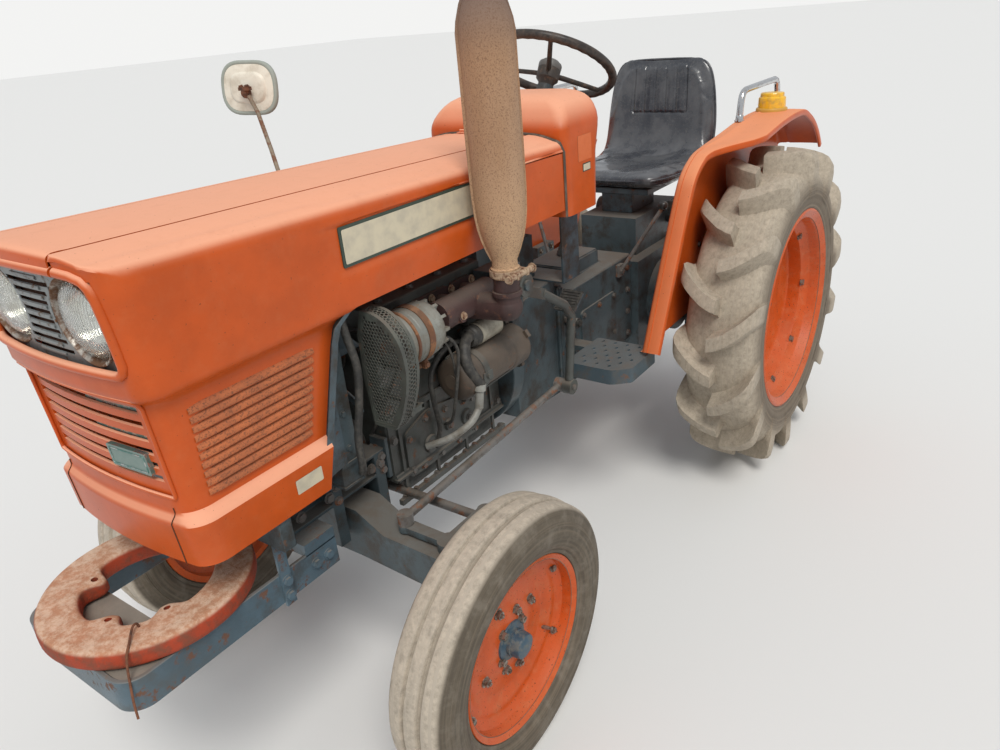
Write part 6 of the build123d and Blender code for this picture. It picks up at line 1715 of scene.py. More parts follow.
pulleys, belt = Piece(), Piece()
wheels_of_belt = [((0.195, 0.900), 0.044), ((0.0, 0.850), 0.050), ((0.0, 0.625), 0.068)]
for (y, z), radius in wheels_of_belt:
    pulleys.turned(grooved(radius, 0.013), Matrix.Translation((1.4610 if y else 1.4715, y, z)) @ axle_x, 40)
pulleys.pipe([(1.4695, 0, 0.625), (1.4760, 0, 0.625)], 0.018, steps=20)
pulleys.bolt((1.4850, 0, 0.625), (1, 0, 0), 0.028)
pulleys.settle("belt_pulleys", bare_rod, "chassis", "bare_alloy", "dynamo")


def belt_run(x):
    """The belt's line round its three pulleys, outside them all."""
    line = []
    for k, ((y, z), radius) in enumerate(wheels_of_belt):
        ends = []
        for (ya, za), ra in (wheels_of_belt[k - 1], wheels_of_belt[(k + 1) % 3]):
            away = Vector((ya - y, za - z))
            lean = acos(max(-1, min(1, (radius - ra) / away.length)))
            ends.append(atan2(away.y, away.x) + lean * (1 if len(ends) == 0 else -1))
        first, last = ends[0], ends[1]
        while last < first:
            last += tau
        if last - first > tau:
            last -= tau
        line += [(x, y + (radius - 0.003) * cos(first + (last - first) * t / 10),
                  z + (radius - 0.003) * sin(first + (last - first) * t / 10)) for t in range(11)]
    return line


belt.pipe(belt_run(1.4745), 0.0048, steps=8, closed=True)
belt.settle("fan_belt", black_rubber.material, "chassis", "rubber_trim", "dynamo")


# Starter motor. A brown-grey drum with a domed end and two long bolts, on the flywheel housing's
# front. The beige switch canister lies on top, with a thick hose and black cables below it.
starter_brown = oily_casting("starter_brown", (0.115, 0.085, 0.062), grime=(0.060, 0.048, 0.038),
                             rust=(0.15, 0.085, 0.055), rusted=0.58, dusty=0.3, rough=0.65)
beige_tin = oily_casting("beige_canister", (0.40, 0.37, 0.29), grime=(0.20, 0.175, 0.13),
                         rust=(0.28, 0.16, 0.09), rusted=0.62, dusty=0.3, rough=0.5)
motor, motor_trim, switch = Piece(), Piece(), Piece()
motor_place = Matrix.Translation((1.031, 0.200, 0.735)) @ axle_x
motor.turned([(0, 0), (0.050, 0), (0.056, 0.004), (0.056, 0.058), (0.054, 0.062), (0.0525, 0.064),
              (0.0525, 0.214), (0.0545, 0.216), (0.0560, 0.220), (0.0560, 0.240), (0.0535, 0.250),
              (0.0460, 0.258), (0.0360, 0.261), (0.0180, 0.262), (0.0180, 0.265), (0, 0.265)], motor_place,
             64)
for angle in (0.35, 2.2, 3.5, 5.4):
    spin = motor_place @ Matrix.Rotation(angle, 4, "Z")
    motor.block((0.050, -0.010, 0.0), (0.064, 0.010, 0.012), 0.002, spin)
motor.settle("starter_drum", starter_brown, "chassis", "engine_iron", "starter")
motor_trim.turned([(0.0530, 0.176), (0.0545, 0.177), (0.0545, 0.196), (0.0530, 0.197)], motor_place, 64)
for angle in (0.35, 3.5):
    spin = motor_place @ Matrix.Rotation(angle, 4, "Z")
    motor_trim.pipe([spin @ Vector((0.0575, 0, 0.010)), spin @ Vector((0.0575, 0, 0.246))], 0.0028, steps=8)
    motor_trim.bolt(spin @ Vector((0.0530, 0, 0.246)), (1, 0, 0), 0.009)
    motor_trim.bolt(spin @ Vector((0.0570, 0, 0.012)), (1, 0, 0), 0.011)
motor_trim.block((1.200, 0.249, 0.716), (1.236, 0.2545, 0.742), 0.002)
motor_trim.bolt((1.218, 0.2545, 0.729), (0, 1, 0), 0.010)
motor_trim.settle("starter_bands", dark_casting, "chassis", "engine_iron", "starter")
switch_place = Matrix.Translation((1.102, 0.200, 0.818)) @ axle_x
switch.turned([(0, 0), (0.024, 0), (0.027, 0.003), (0.0278, 0.010), (0.0278, 0.070), (0.0262, 0.072),
               (0.0262, 0.076), (0.0278, 0.078), (0.0278, 0.086), (0, 0.086)], switch_place, 48)
switch.settle("starter_switch", beige_tin, "chassis", "engine_iron", "starter")
boot = Piece()
boot.turned([(0, 0.085), (0.0262, 0.085), (0.0270, 0.090), (0.0270, 0.102), (0.0240, 0.106),
             (0.0240, 0.112), (0.0210, 0.116), (0, 0.116)], switch_place, 40)
boot.pipe(smooth_line([(1.205, 0.204, 0.822), (1.235, 0.214, 0.828), (1.262, 0.226, 0.816),
                       (1.276, 0.238, 0.788), (1.270, 0.250, 0.752), (1.254, 0.2560, 0.722)], 30), 0.0135,
          steps=14)
boot.pipe(smooth_line([(1.210, 0.190, 0.806), (1.250, 0.180, 0.816), (1.300, 0.176, 0.800),
                       (1.330, 0.170, 0.760), (1.326, 0.166, 0.690), (1.310, 0.160, 0.610),
                       (1.325, 0.152, 0.560)], 40), 0.0065, steps=10)
boot.pipe(smooth_line([(1.338, 0.222, 0.870), (1.318, 0.232, 0.862), (1.300, 0.236, 0.826),
                       (1.304, 0.232, 0.770), (1.312, 0.222, 0.700), (1.306, 0.200, 0.640),
                       (1.290, 0.160, 0.610)], 40), 0.0042, steps=10)
boot.pipe(smooth_line([(1.338, 0.214, 0.866), (1.322, 0.222, 0.850), (1.310, 0.226, 0.812),
                       (1.300, 0.222, 0.760), (1.290, 0.215, 0.730)], 30), 0.0030, steps=8)
boot.settle("starter_hoses", black_rubber.material, "chassis", "rubber_trim", "starter")
union = Piece()
union.turned([(0, 0), (0.0150, 0), (0.0150, 0.016), (0.0105, 0.018), (0.0105, 0.060), (0, 0.060)],
             placed((1.256, 0.2555, 0.726), 168, "Y"), 20)
union.pipe(smooth_line([(1.268, 0.2555, 0.668), (1.300, 0.250, 0.640), (1.335, 0.215, 0.610),
                        (1.365, 0.160, 0.585)], 24),
           0.0085, steps=12)
union.settle("hose_union", pale_alloy, "chassis", "bare_steel", "starter")


# Engine. A grey-green cast iron block with bolted covers, seen in the open bay under the bonnet. It
# has a rocker cover with its filler cap, a sump flange, and on its right the injection pump.
def standing(y, side=1):
    """Stands a flat outline upright along the tractor at y, with its thickness toward that side."""
    return Matrix(((1, 0, 0, 0), (0, 0, side, side * y), (0, 1, 0, 0), (0, 0, 0, 1)))


block_trim, block_bolts = Piece(), Piece()
left_cover = rounded([(1.150, 0.520), (1.420, 0.520), (1.420, 0.640), (1.330, 0.668), (1.150, 0.640)],
                     0.018, 5)
block_trim.plate(left_cover, 0.0065, standing(0.1395), 0.002)
for x, z in ((1.162, 0.532), (1.230, 0.531), (1.300, 0.531), (1.370, 0.531), (1.408, 0.538), (1.408, 0.622),
             (1.345, 0.650), (1.270, 0.640), (1.200, 0.628), (1.164, 0.620)):
    block_bolts.bolt((x, 0.146, z), (0, 1, 0), 0.0125, 0.007)
for x, z, reach in ((1.190, 0.580, 0.022), (1.262, 0.592, 0.016), (1.335, 0.575, 0.024)):
    boss = placed((x, 0.1460, z), -90, "X")
    block_trim.turned([(0, 0), (reach, 0), (reach - 0.002, 0.006), (reach - 0.008, 0.008), (0, 0.008)],
                      boss, 24)
    block_bolts.bolt((x, 0.154, z), (0, 1, 0), 0.014)
for side in (1, -1):
    y = side * 0.1395
    block_trim.block((1.036, y, 0.470), (1.464, y + side * 0.012, 0.484), 0.002)
    block_trim.block((1.036, y, 0.688), (1.464, y + side * 0.005, 0.704), 0.002)
    for k in range(11):
        block_bolts.bolt((1.052 + 0.0395 * k, y + side * 0.006, 0.484), (0, 0, 1), 0.011, 0.006)
    for k in range(4):
        x = 1.075 + 0.118 * k
        block_trim.block((x, y, 0.484), (x + 0.009, y + side * 0.006, 0.688), 0.002)
    for x, z in ((1.048, 0.72), (1.048, 0.64), (1.048, 0.56), (1.452, 0.64), (1.452, 0.72), (1.452, 0.80)):
        block_bolts.bolt((x, y, z), (0, side, 0), 0.016)
for k in range(4):
    for side in (1, -1):
        block_bolts.bolt((1.085 + 0.105 * k, side * 0.105, 0.961), (0, 0, 1), 0.016)
rocker = rounded([(1.075, -0.080), (1.430, -0.080), (1.430, 0.080), (1.075, 0.080)], 0.024, 6)
block_trim.plate(rocker, 0.034, Matrix.Translation((0, 0, 0.9595)), 0.010)
cap = Matrix.Translation((1.370, 0.020, 0.993))
block_trim.turned([(0, 0), (0.024, 0), (0.024, 0.006), (0.029, 0.008), (0.029, 0.020), (0.024, 0.024),
                   (0, 0.024)],
                  cap, 32)
block_trim.settle("engine_covers", dark_casting, "chassis", "engine_iron", "engine")
block_bolts.settle("engine_bolts", bare_rod, "chassis", "engine_iron", "engine")

pump, pump_lines = Piece(), Piece()
pump.block((1.230, -0.205, 0.745), (1.395, -0.1405, 0.800), 0.004)
pump.block((1.245, -0.198, 0.800), (1.380, -0.1500, 0.836), 0.004)
for k in range(3):
    x = 1.265 + 0.047 * k
    head = Matrix.Translation((x, -0.174, 0.836))
    pump.turned([(0, 0), (0.010, 0), (0.010, 0.016), (0.0065, 0.018), (0.0065, 0.030), (0, 0.030)], head,
                12)
    pump_lines.pipe(smooth_line([(x, -0.174, 0.864), (x, -0.178, 0.900), (x - 0.02, -0.168, 0.935),
                                 (1.140 + 0.105 * k, -0.134, 0.945), (1.140 + 0.105 * k, -0.118, 0.952)],
                                22),
                    0.0028, steps=8)
filter_place = Matrix.Translation((1.135, -0.186, 0.645))
pump.turned([(0, 0), (0.030, 0), (0.038, 0.008), (0.040, 0.020), (0.040, 0.105), (0.036, 0.112),
             (0.030, 0.114), (0.030, 0.124), (0, 0.124)], filter_place, 40)
pump.block((1.100, -0.205, 0.766), (1.170, -0.1405, 0.786), 0.004)
pump.bolt((1.135, -0.186, 0.786), (0, 0, 1), 0.019)
pump.settle("injection_pump", pale_alloy, "chassis", "engine_iron", "engine")
pump_lines.settle("injector_lines", bare_rod, "chassis", "engine_iron", "engine")

# Manifold flanges, their studs and the boss in the manifold's side, all rusted brown
flanges, studs = Piece(), Piece()
for x in (1.140, 1.230, 1.289):
    outline = rounded([(x - 0.042, 0.872), (x + 0.042, 0.872), (x + 0.042, 0.938), (x - 0.042, 0.938)],
                      0.018, 5)
    flanges.plate(outline, 0.011, standing(0.1285), 0.0015)
for x in (1.105, 1.186, 1.260, 1.322):
    for z in (0.884, 0.926):
        studs.bolt((x, 0.1395, z), (0, 1, 0), 0.014)
boss = placed((1.262, 0.228, 0.896), -78, "X")
flanges.turned([(0, -0.004), (0.016, -0.004), (0.0145, 0.005), (0, 0.005)], boss, 24)
studs.bolt((1.262, 0.2335, 0.8975), (0, 1, 0.2), 0.013)
collar = Matrix.Translation((1.177, 0.300, 0.930))
flanges.turned([(0.0300, 0), (0.0350, 0.001), (0.0360, 0.006), (0.0350, 0.011), (0.0305, 0.012)], collar,
               40)
flanges.settle("manifold_flanges", brown_iron, "chassis", "rusty_iron", "exhaust_manifold")
studs.settle("manifold_studs", clamp_metal.material, "chassis", "rusty_iron", "exhaust_manifold")


# Radiator and fan. A black finned core between two tanks, with its filler cap, an overflow hose and
# two thick hoses to the engine, and a pressed steel fan behind it.
core_black = Finish("radiator_core_black", 0.7)
core_black.two_tone((0.016, 0.016, 0.015), (0.11, 0.085, 0.06), 0.42, 0.7, 80, 6, rough=0.7)
fin, fins = Piece(), Piece()
fin.block((1.5952, -0.165, 0.6885), (1.6368, 0.165, 0.6893), 0)
fins.form.from_mesh(repeated("radiator_fins", fin.mesh("radiator_fin"), core_black.material, 82,
                             (0, 0, 0.005)))
for k in range(15):
    y = -0.1575 + 0.0225 * k
    fins.block((1.5945, y - 0.001, 0.686), (1.6375, y + 0.001, 1.100), 0)
fins.settle("radiator_fins", core_black.material, "chassis", "blue_grey_paint", "radiator")
tank = Piece()
tank.turned([(0, 0), (0.020, 0), (0.020, 0.012), (0.029, 0.013), (0.029, 0.023), (0.022, 0.027),
             (0, 0.027)],
            Matrix.Translation((1.615, 0.030, 1.149)), 32)
for z in (0.686, 1.100):
    for side in (1, -1):
        tank.block((1.585, side * 0.178, z - 0.004), (1.647, side * 0.182, z + 0.004), 0.001)
for z in (0.72, 0.80, 0.90, 1.00, 1.07):
    for side in (1, -1):
        tank.bolt((1.616, side * 0.178, z), (0, side, 0), 0.011)
tank.settle("radiator_fittings", blue_casting, "chassis", "blue_grey_paint", "radiator")
# Bent side sheets that close the gap between the radiator and the nose's rear edge
side_sheets = Piece()
for side in (1, -1):
    rows = []
    for k in range(15):
        z = 0.690 + 0.400 * k / 14
        edge = nose_rear_edge(z)
        rows.append([(edge + 0.012, side * 0.2235, z), (edge - 0.004, side * 0.2235, z),
                     (edge - 0.005, side * 0.216, z), (edge - 0.006, side * 0.196, z),
                     (1.642, side * 0.1805, z), (1.630, side * 0.1800, z)])
    side_sheets.grid(rows)
side_sheets.settle("radiator_side_sheets", blue_sheet, "chassis", "blue_grey_paint", "radiator",
                   wall=0.0015)
hoses, bands = Piece(), Piece()
hoses.pipe(smooth_line([(1.590, 0.060, 1.118), (1.560, 0.060, 1.116), (1.522, 0.052, 1.090),
                        (1.494, 0.036, 1.040), (1.470, 0.028, 0.992), (1.440, 0.026, 0.970)], 30), 0.019,
           steps=18)
hoses.pipe(smooth_line([(1.590, -0.120, 0.712), (1.550, -0.122, 0.712), (1.505, -0.128, 0.720),
                        (1.468, -0.125, 0.740)],
                       24), 0.018, steps=18)
hoses.pipe(smooth_line([(1.600, 0.196, 1.060), (1.596, 0.206, 0.980), (1.588, 0.214, 0.900),
                        (1.592, 0.206, 0.820), (1.602, 0.196, 0.740), (1.600, 0.190, 0.660),
                        (1.588, 0.160, 0.648)], 50), 0.0085, steps=12)
for end, aim in (((1.578, 0.060, 1.1175), (1, 0, 0.06)), ((1.4655, 0.0275, 0.984), (0.55, 0.1, 1)),
                 ((1.578, -0.1205, 0.712), (1, 0, 0)), ((1.480, -0.1262, 0.734), (0.9, 0, -0.3))):
    aim = Vector(aim).normalized()
    around = aim.to_track_quat("Z", "Y").to_matrix().to_4x4()
    bands.turned([(0.0195, -0.006), (0.0210, -0.0055), (0.0210, 0.0055), (0.0195, 0.006)],
                 Matrix.Translation(end) @ around, 32)
hoses.settle("radiator_hoses", black_rubber.material, "chassis", "rubber_trim", "radiator")
bands.settle("hose_clips", pale_alloy, "chassis", "bare_steel", "radiator")
fan = Piece()
fan.copied("cooling_fan", 0.0012)
for k in range(6):
    angle = k * tau / 6
    for reach in (0.020, 0.045):
        fan.bolt((1.547, reach * sin(angle), 0.850 + reach * cos(angle)), (1, 0, 0), 0.010)
fan.settle("fan_blades", blue_sheet, "chassis", "blue_grey_paint", "cooling_fan", smooth=40)


# Mirror. A cream plastic shell with a raised back and a grey rubber rim. It turns on a rusty ball
# clamp at the end of a bent rod, and a bracket holds the rod to the bonnet's right edge.
cream = Finish("mirror_cream", 0.5)
cream.two_tone((0.78, 0.73, 0.62), (0.58, 0.52, 0.42), 0.40, 0.72, 30, 6, rough=0.65)
rim_grey = Finish("mirror_rim_grey", 0.7)
rim_grey.colour(rim_grey.mix(rim_grey.noise(60, 6), (0.36, 0.40, 0.36), (0.28, 0.30, 0.26)))
silver = Finish("mirror_glass", 0.03, 1.0)
silver.colour((0.80, 0.82, 0.82))
silver.gloss(silver.between(silver.noise(40, 6), 0.5, 0.8), 0.02, 0.25)
rod_beige = oily_casting("mirror_rod", (0.30, 0.24, 0.17), grime=(0.17, 0.12, 0.08),
                         rust=(0.18, 0.08, 0.045), rusted=0.50, dusty=0.3, rough=0.7)
head_place = placed((1.240, -0.390, 1.400), -8, "Y") @ Matrix.Rotation(radians(20), 4, "Z")


def mirror_ring(inset, x):
    half_y, half_z, radius = 0.0780 - inset, 0.0640 - inset, 0.042 - inset * 0.6
    outline = rounded([(-half_y, -half_z), (half_y, -half_z), (half_y * 0.97, half_z), (-half_y, half_z)],
                      max(radius, 0.008) * 1.35, 8)
    return [head_place @ Vector((x, y, z)) for y, z in outline]


shell, edge, glass = Piece(), Piece(), Piece()
shell.grid([mirror_ring(*r) for r in ((0.0085, 0.0035), (0.0095, 0.0052), (0.0125, 0.0060),
                                      (0.0200, 0.0068), (0.0270, 0.0072), (0.0290, 0.0090),
                                      (0.0310, 0.0112), (0.0340, 0.0120), (0.0450, 0.0124))],
           round_columns=True)
shell.cap(mirror_ring(0.0450, 0.0124))
edge.grid([mirror_ring(*r) for r in ((0.0100, 0.0030), (0.0085, 0.0050), (0.0050, 0.0060), (0.0015, 0.0050),
                                     (0.0000, 0.0020), (0.0000, -0.0040), (0.0015, -0.0065),
                                     (0.0050, -0.0074), (0.0080, -0.0070), (0.0090, -0.0050))],
          round_rows=True, round_columns=True)
glass_back, glass_front = mirror_ring(0.0075, -0.0056), mirror_ring(0.0075, -0.0040)
glass.cap(glass_back[::-1])
glass.cap(glass_front)
glass.grid([glass_back, glass_front], round_columns=True)
shell.settle("mirror_back", cream.material, "chassis", "rubber_trim", "mirror")
edge.settle("mirror_rim", rim_grey.material, "chassis", "rubber_trim", "mirror", smooth=60)
glass.settle("mirror_glass", silver.material, "chassis", "chrome", "mirror")
stalk, clamp = Piece(), Piece()
ball = head_place @ Vector((0.024, 0.004, -0.012))
stalk.pipe([ball + Vector((0.004, 0.012, -0.006)), (1.262, -0.350, 1.345), (1.290, -0.292, 1.262),
            (1.312, -0.252, 1.206), (1.316, -0.244, 1.199), (1.330, -0.240, 1.196), (1.346, -0.240, 1.196)],
           0.0052, steps=12)
clamp.turned([(0, -0.013), (0.008, -0.011), (0.0125, -0.004), (0.0125, 0.004), (0.008, 0.011), (0, 0.013)],
             Matrix.Translation(ball), 20)
clamp.pipe([head_place @ Vector((0.010, 0.004, -0.012)), ball], 0.006, steps=12)
clamp.block((-0.008, -0.014, -0.004), (0.008, 0.018, 0.004), 0.002,
            Matrix.Translation(ball + Vector((0.003, 0, 0.010))))
clamp.bolt(ball + Vector((0.004, -0.010, 0.014)), (0.2, -0.1, 1), 0.010)
clamp.bolt(ball + Vector((0.004, 0.012, 0.014)), (0.2, 0.1, 1), 0.010)
clamp.block((1.282, -0.2360, 1.178), (1.354, -0.2315, 1.208), 0.0015)
clamp.block((1.318, -0.2470, 1.186), (1.344, -0.2340, 1.2035), 0.0025)
for x in (1.292, 1.345):
    clamp.bolt((x, -0.2360, 1.193), (0, -1, 0), 0.012)
stalk.settle("mirror_stalk", rod_beige, "chassis", "bare_steel", "mirror")
clamp.settle("mirror_clamp", rusty.material, "chassis", "rusty_iron", "mirror")


# Footsteps. Two blue-grey pressed plates with bent edges and rows of drawn oval holes. Boots have
# worn the paint to brown on top.
def carved(piece, cutters):
    """Cuts the cutters' forms out of a piece."""
    made = [bpy.data.objects.new("carving", source.mesh("carving")) for source in (piece, cutters)]
    for holder in made:
        bpy.context.scene.collection.objects.link(holder)
    cut = made[0].modifiers.new("cut", "BOOLEAN")
    cut.object = made[1]
    cut.solver = "EXACT"
    piece.form = bmesh.new()
    piece.form.from_mesh(evaluated(made[0]))
    for holder in made:
        bpy.data.objects.remove(holder)


step_finish = oily_casting("worn_step", (0.075, 0.115, 0.140), grime=(0.085, 0.078, 0.070),
                           rust=(0.14, 0.080, 0.055), rusted=0.60, dusty=0.30, rough=0.55)
for side, name in ((1, "left"), (-1, "right")):
    outline = [(0.592, 0.205), (0.790, 0.205), (0.790, 0.352), (0.752, 0.400), (0.592, 0.400)]
    if side < 0:
        outline = [(x, -y) for x, y in reversed(outline)]
    outline = rounded(outline, 0.012, 4)
    tread, holes = Piece(), Piece()
    tread.plate(outline, 0.045, Matrix.Translation((0, 0, 0.535)), 0.004)
    centre = Vector((0.690, side * 0.300))
    hollow = [tuple(centre + (Vector(p) - centre) * 0.963) for p in outline]
    holes.plate(hollow, 0.0445, Matrix.Translation((0, 0, 0.5315)))
    carved(tread, holes)
    holes, rims = Piece(), Piece()
    for i in range(6):
        for j in range(4):
            x = 0.612 + 0.0305 * i
            y = side * (0.236 + 0.040 * j + 0.020 * (i % 2))
            if abs(y) > 0.384 or (x > 0.745 and abs(y) > 0.350):
                continue
            oval = Matrix.Translation((x, y, 0)) @ Matrix.Diagonal((1, 0.62, 1, 1))
            holes.turned([(0, 0.560), (0.0062, 0.560), (0.0062, 0.600), (0, 0.600)], oval, 16)
            rims.turned([(0.0062, 0.5790), (0.0066, 0.5812), (0.0088, 0.5805), (0.0112, 0.5795),
                         (0.0064, 0.5780)],
                        oval, 16)
    carved(tread, holes)
    tread.settle("footstep_" + name, step_finish, "chassis", "blue_grey_paint", "footsteps")
    rims.settle("footstep_rims_" + name, step_finish, "chassis", "blue_grey_paint", "footsteps")
    arm = Piece()
    low, high = sorted((side * 0.1265, side * 0.260))
    arm.block((0.612, low, 0.553), (0.660, high, 0.573), 0.003)
    arm.block((0.600, min(side * 0.1253, side * 0.133), 0.520),
              (0.680, max(side * 0.1253, side * 0.133), 0.590), 0.002)
    for x, z in ((0.612, 0.532), (0.668, 0.532), (0.668, 0.578)):
        arm.bolt((x, side * 0.133, z), (0, side, 0), 0.016)
    arm.settle("footstep_arm_" + name, blue_casting, "chassis", "blue_grey_paint", "footsteps")


# Levers and pedals. Bare bent rods with dark plastic knobs, a folded rubber boot at the gear lever's
# foot, and ribbed rubber covers on the pedals.
knob_black = Finish("knob_black", 0.35)
knob_black.colour(knob_black.mix(knob_black.between(knob_black.noise(40, 5), 0.4, 0.7),
                                 (0.022, 0.021, 0.020), (0.075, 0.065, 0.055)))
sticks, knobs, boots = Piece(), Piece(), Piece()
sticks.pipe(smooth_line([(0.440, 0, 0.786), (0.434, 0.004, 0.830), (0.420, 0.018, 0.885),
                         (0.408, 0.032, 0.930), (0.401, 0.039, 0.962)], 24), 0.0075, steps=14)
knob_outline = [(0, -0.0195), (0.007, -0.0195), (0.008, -0.015), (0.0140, -0.0120), (0.0185, -0.005),
                (0.0198, 0.002), (0.0180, 0.010), (0.0130, 0.0160), (0.0065, 0.0190), (0, 0.0198)]
knobs.turned(knob_outline, Matrix.Translation((0.400, 0.040, 0.972)), 28)
boots.turned([(0.0240, 0.7795), (0.0255, 0.7850), (0.0225, 0.7880), (0.0232, 0.7940), (0.0190, 0.7975),
              (0.0196, 0.8035), (0.0155, 0.8070), (0.0160, 0.8130), (0.0115, 0.8165), (0.0105, 0.8250),
              (0.0080, 0.8255), (0.0080, 0.7800)], Matrix.Translation((0.4365, 0.002, 0)), 28)
for side in (1, -1):
    sticks.pipe(smooth_line([(0.300, side * 0.134, 0.700), (0.292, side * 0.150, 0.722),
                             (0.262, side * 0.194, 0.800), (0.232, side * 0.234, 0.872),
                             (0.222, side * 0.248, 0.896)], 24), 0.0065, steps=14)
    knobs.turned([(r * 0.80, h * 0.80) for r, h in knob_outline],
                 Matrix.Translation((0.219, side * 0.251, 0.906)), 24)
    sticks.block((0.284, min(side * 0.1255, side * 0.139), 0.680),
                 (0.316, max(side * 0.1255, side * 0.139), 0.720), 0.003)
    sticks.bolt((0.300, side * 0.139, 0.700), (0, side, 0), 0.017)
sticks.settle("lever_rods", bare_rod, "chassis", "lever_steel", "levers")
knobs.settle("lever_knobs", knob_black.material, "chassis", "rubber_trim", "levers")
boots.settle("lever_boot", black_rubber.material, "chassis", "rubber_trim", "levers", smooth=70)
covers = Piece()
for side in (1, -1):
    pad = placed((0.774, side * 0.219, 0.763), 35, "Y")
    covers.block((-0.0355, -0.0325, 0.0030), (0.0355, 0.0325, 0.0075), 0.002, pad)
    for k in range(7):
        x = -0.0300 + 0.0095 * k
        covers.block((x, -0.029, 0.0065), (x + 0.0045, 0.029, 0.0098), 0.0012, pad)
    covers.bolt((0.640, side * 0.1650, 0.640), (0, side, 0), 0.020)
covers.settle("pedal_rubbers", black_rubber.material, "chassis", "rubber_trim", "pedals")


# Front weight and bumper. An open ring of cast iron lies on a bumper bent from thick flat bar. The
# ring's orange paint is rusty below and bleached with dust on top, and a hooked wire hangs from it.
ring_iron = Finish("front_weight_iron", 0.75)
worn = ring_iron.between(ring_iron.noise(26, 8, rough=0.7), 0.42, 0.64)
ring_body = ring_iron.mix(worn, (0.38, 0.046, 0.012), (0.20, 0.055, 0.026))
ring_dust = ring_iron.mix(ring_iron.between(ring_iron.noise(38, 9, rough=0.8), 0.40, 0.60),
                          (0.70, 0.50, 0.36), (0.50, 0.25, 0.14))
ring_iron.colour(ring_iron.mix(ring_iron.times(ring_iron.upward(0.35, 0.95), 0.92), ring_body, ring_dust))
ring_iron.relief(ring_iron.sum(ring_iron.times(ring_iron.noise(90, 8, rough=0.75), 0.7), worn), 0.0016, 0.7)
weight_x, weight_low, weight_high = 2.014, 0.5523, 0.5923
weight, lug_holes = Piece(), Piece()
lug_turns = [radians(a) for a in (20, 75, -60)]
arc = [radians(-154 + 308 * k / 154) for k in range(155)]
rows = []
for a in arc:
    near = max(exp(-(abs((a - turn) * 0.112) / 0.0235) ** 3.2) for turn in lug_turns)
    inner_radius = 0.122 - 0.0325 * near
    # A lug's top lies a little below the ring's, so the dusty face falls toward it.
    outline = rounded([(0.122, weight_low), (0.200, weight_low), (0.200, weight_high),
                       (0.122, weight_high)],
                      0.014, 6)
    rows.append([])
    for r, z in outline:
        inward = max(0.0, min(1.0, (0.150 - r) / 0.028))
        r -= (0.122 - inner_radius) * inward ** 1.5
        z -= 0.0035 * near * inward * (z - weight_low) / 0.040
        rows[-1].append((weight_x + r * cos(a), r * sin(a), z))
weight.grid(rows, round_columns=True)
weight.cap(rows[0])
weight.cap(rows[-1])
bmesh.ops.remove_doubles(weight.form, verts=weight.form.verts[:], dist=1e-6)
for turn in lug_turns:
    lug_holes.turned([(0, 0.540), (0.0065, 0.540), (0.0065, 0.620), (0, 0.620)],
                     Matrix.Translation((weight_x + 0.111 * cos(turn), 0.111 * sin(turn), 0)), 20)
carved(weight, lug_holes)
weight.settle("front_weight", ring_iron.material, "chassis", "rusty_iron", "weight_ring", smooth=50)
wire = Piece()
wire.pipe(smooth_line([(2.100, 0.112, 0.584), (2.102, 0.111, 0.600), (2.110, 0.114, 0.6035),
                       (2.122, 0.124, 0.600), (2.136, 0.140, 0.5965), (2.150, 0.153, 0.590),
                       (2.160, 0.162, 0.570), (2.168, 0.171, 0.545), (2.176, 0.180, 0.515),
                       (2.180, 0.186, 0.488)], 40), 0.0023, steps=8)
wire.settle("hooked_wire", rusty.material, "chassis", "rusty_iron", "weight_ring", smooth=60)

bumper_blue = oily_casting("bumper_blue", (0.105, 0.165, 0.205), grime=(0.075, 0.090, 0.095),
                           rust=(0.15, 0.075, 0.048), rusted=0.555, dusty=0.55, rough=0.5)
plate_dust = oily_casting("dusty_plate", (0.30, 0.31, 0.29), grime=(0.40, 0.37, 0.32),
                          rust=(0.30, 0.20, 0.13), rusted=0.58, dusty=0.8, rough=0.8)
bumper_low, bumper_high, bumper_half = 0.484, 0.552, 0.180
bumper_front, bumper_rear = 2.185, 1.700


def bumper_line(inset):
    """The bumper's line seen from above, from its left rear end round to the right one."""
    half, front, turn = bumper_half - inset, bumper_front - inset, 0.048 - inset
    corner = [(front - turn + turn * sin(a), half - turn + turn * cos(a))
              for a in (radians(10 * k) for k in range(10))]
    left = [(bumper_rear, half), (1.80, half), (1.95, half), (2.08, half)] + corner
    return left + [(front, 0.0)] + [(x, -y) for x, y in reversed(left)]


bar = Piece()
thick = 0.009
section = [(0, bumper_low + 0.0015), (0, bumper_high - 0.0015), (0.0015, bumper_high),
           (0.0075, bumper_high), (0.009, bumper_high - 0.0015), (0.009, bumper_low + 0.0015),
           (0.0075, bumper_low), (0.0015, bumper_low)]
rows = [[(*Vector(p).lerp(Vector(q), depth / thick), z) for depth, z in section]
        for p, q in zip(bumper_line(0.0), bumper_line(thick))]
bar.grid(rows, round_columns=True)
bar.cap(rows[0])
bar.cap(rows[-1])
for side in (1, -1):
    bar.block((1.700, side * 0.114, 0.548), (1.780, side * 0.180, 0.5755), 0.002)
    bar.block((1.828, side * 0.1805, 0.478), (1.852, side * 0.1870, 0.640), 0.002)
    for x, z in ((1.725, 0.520), (1.760, 0.520), (1.840, 0.500), (1.840, 0.535), (1.840, 0.622)):
        bar.bolt((x, side * (0.187 if x > 1.8 else 0.180), z), (0, side, 0), 0.017)
bar.settle("bumper_bar", bumper_blue, "chassis", "blue_grey_paint", "bumper", smooth=40)
shelf = Piece()
shelf_line = [p for p in bumper_line(0.0095) if p[0] > 2.0]
shelf_line = [(2.054, shelf_line[0][1])] + shelf_line + [(2.054, shelf_line[-1][1])]
shelf.plate(rounded(shelf_line, 0.002, 1), 0.008, Matrix.Translation((0, 0, 0.5400)), 0.001)
shelf.settle("bumper_shelf", plate_dust, "chassis", "blue_grey_paint", "bumper")


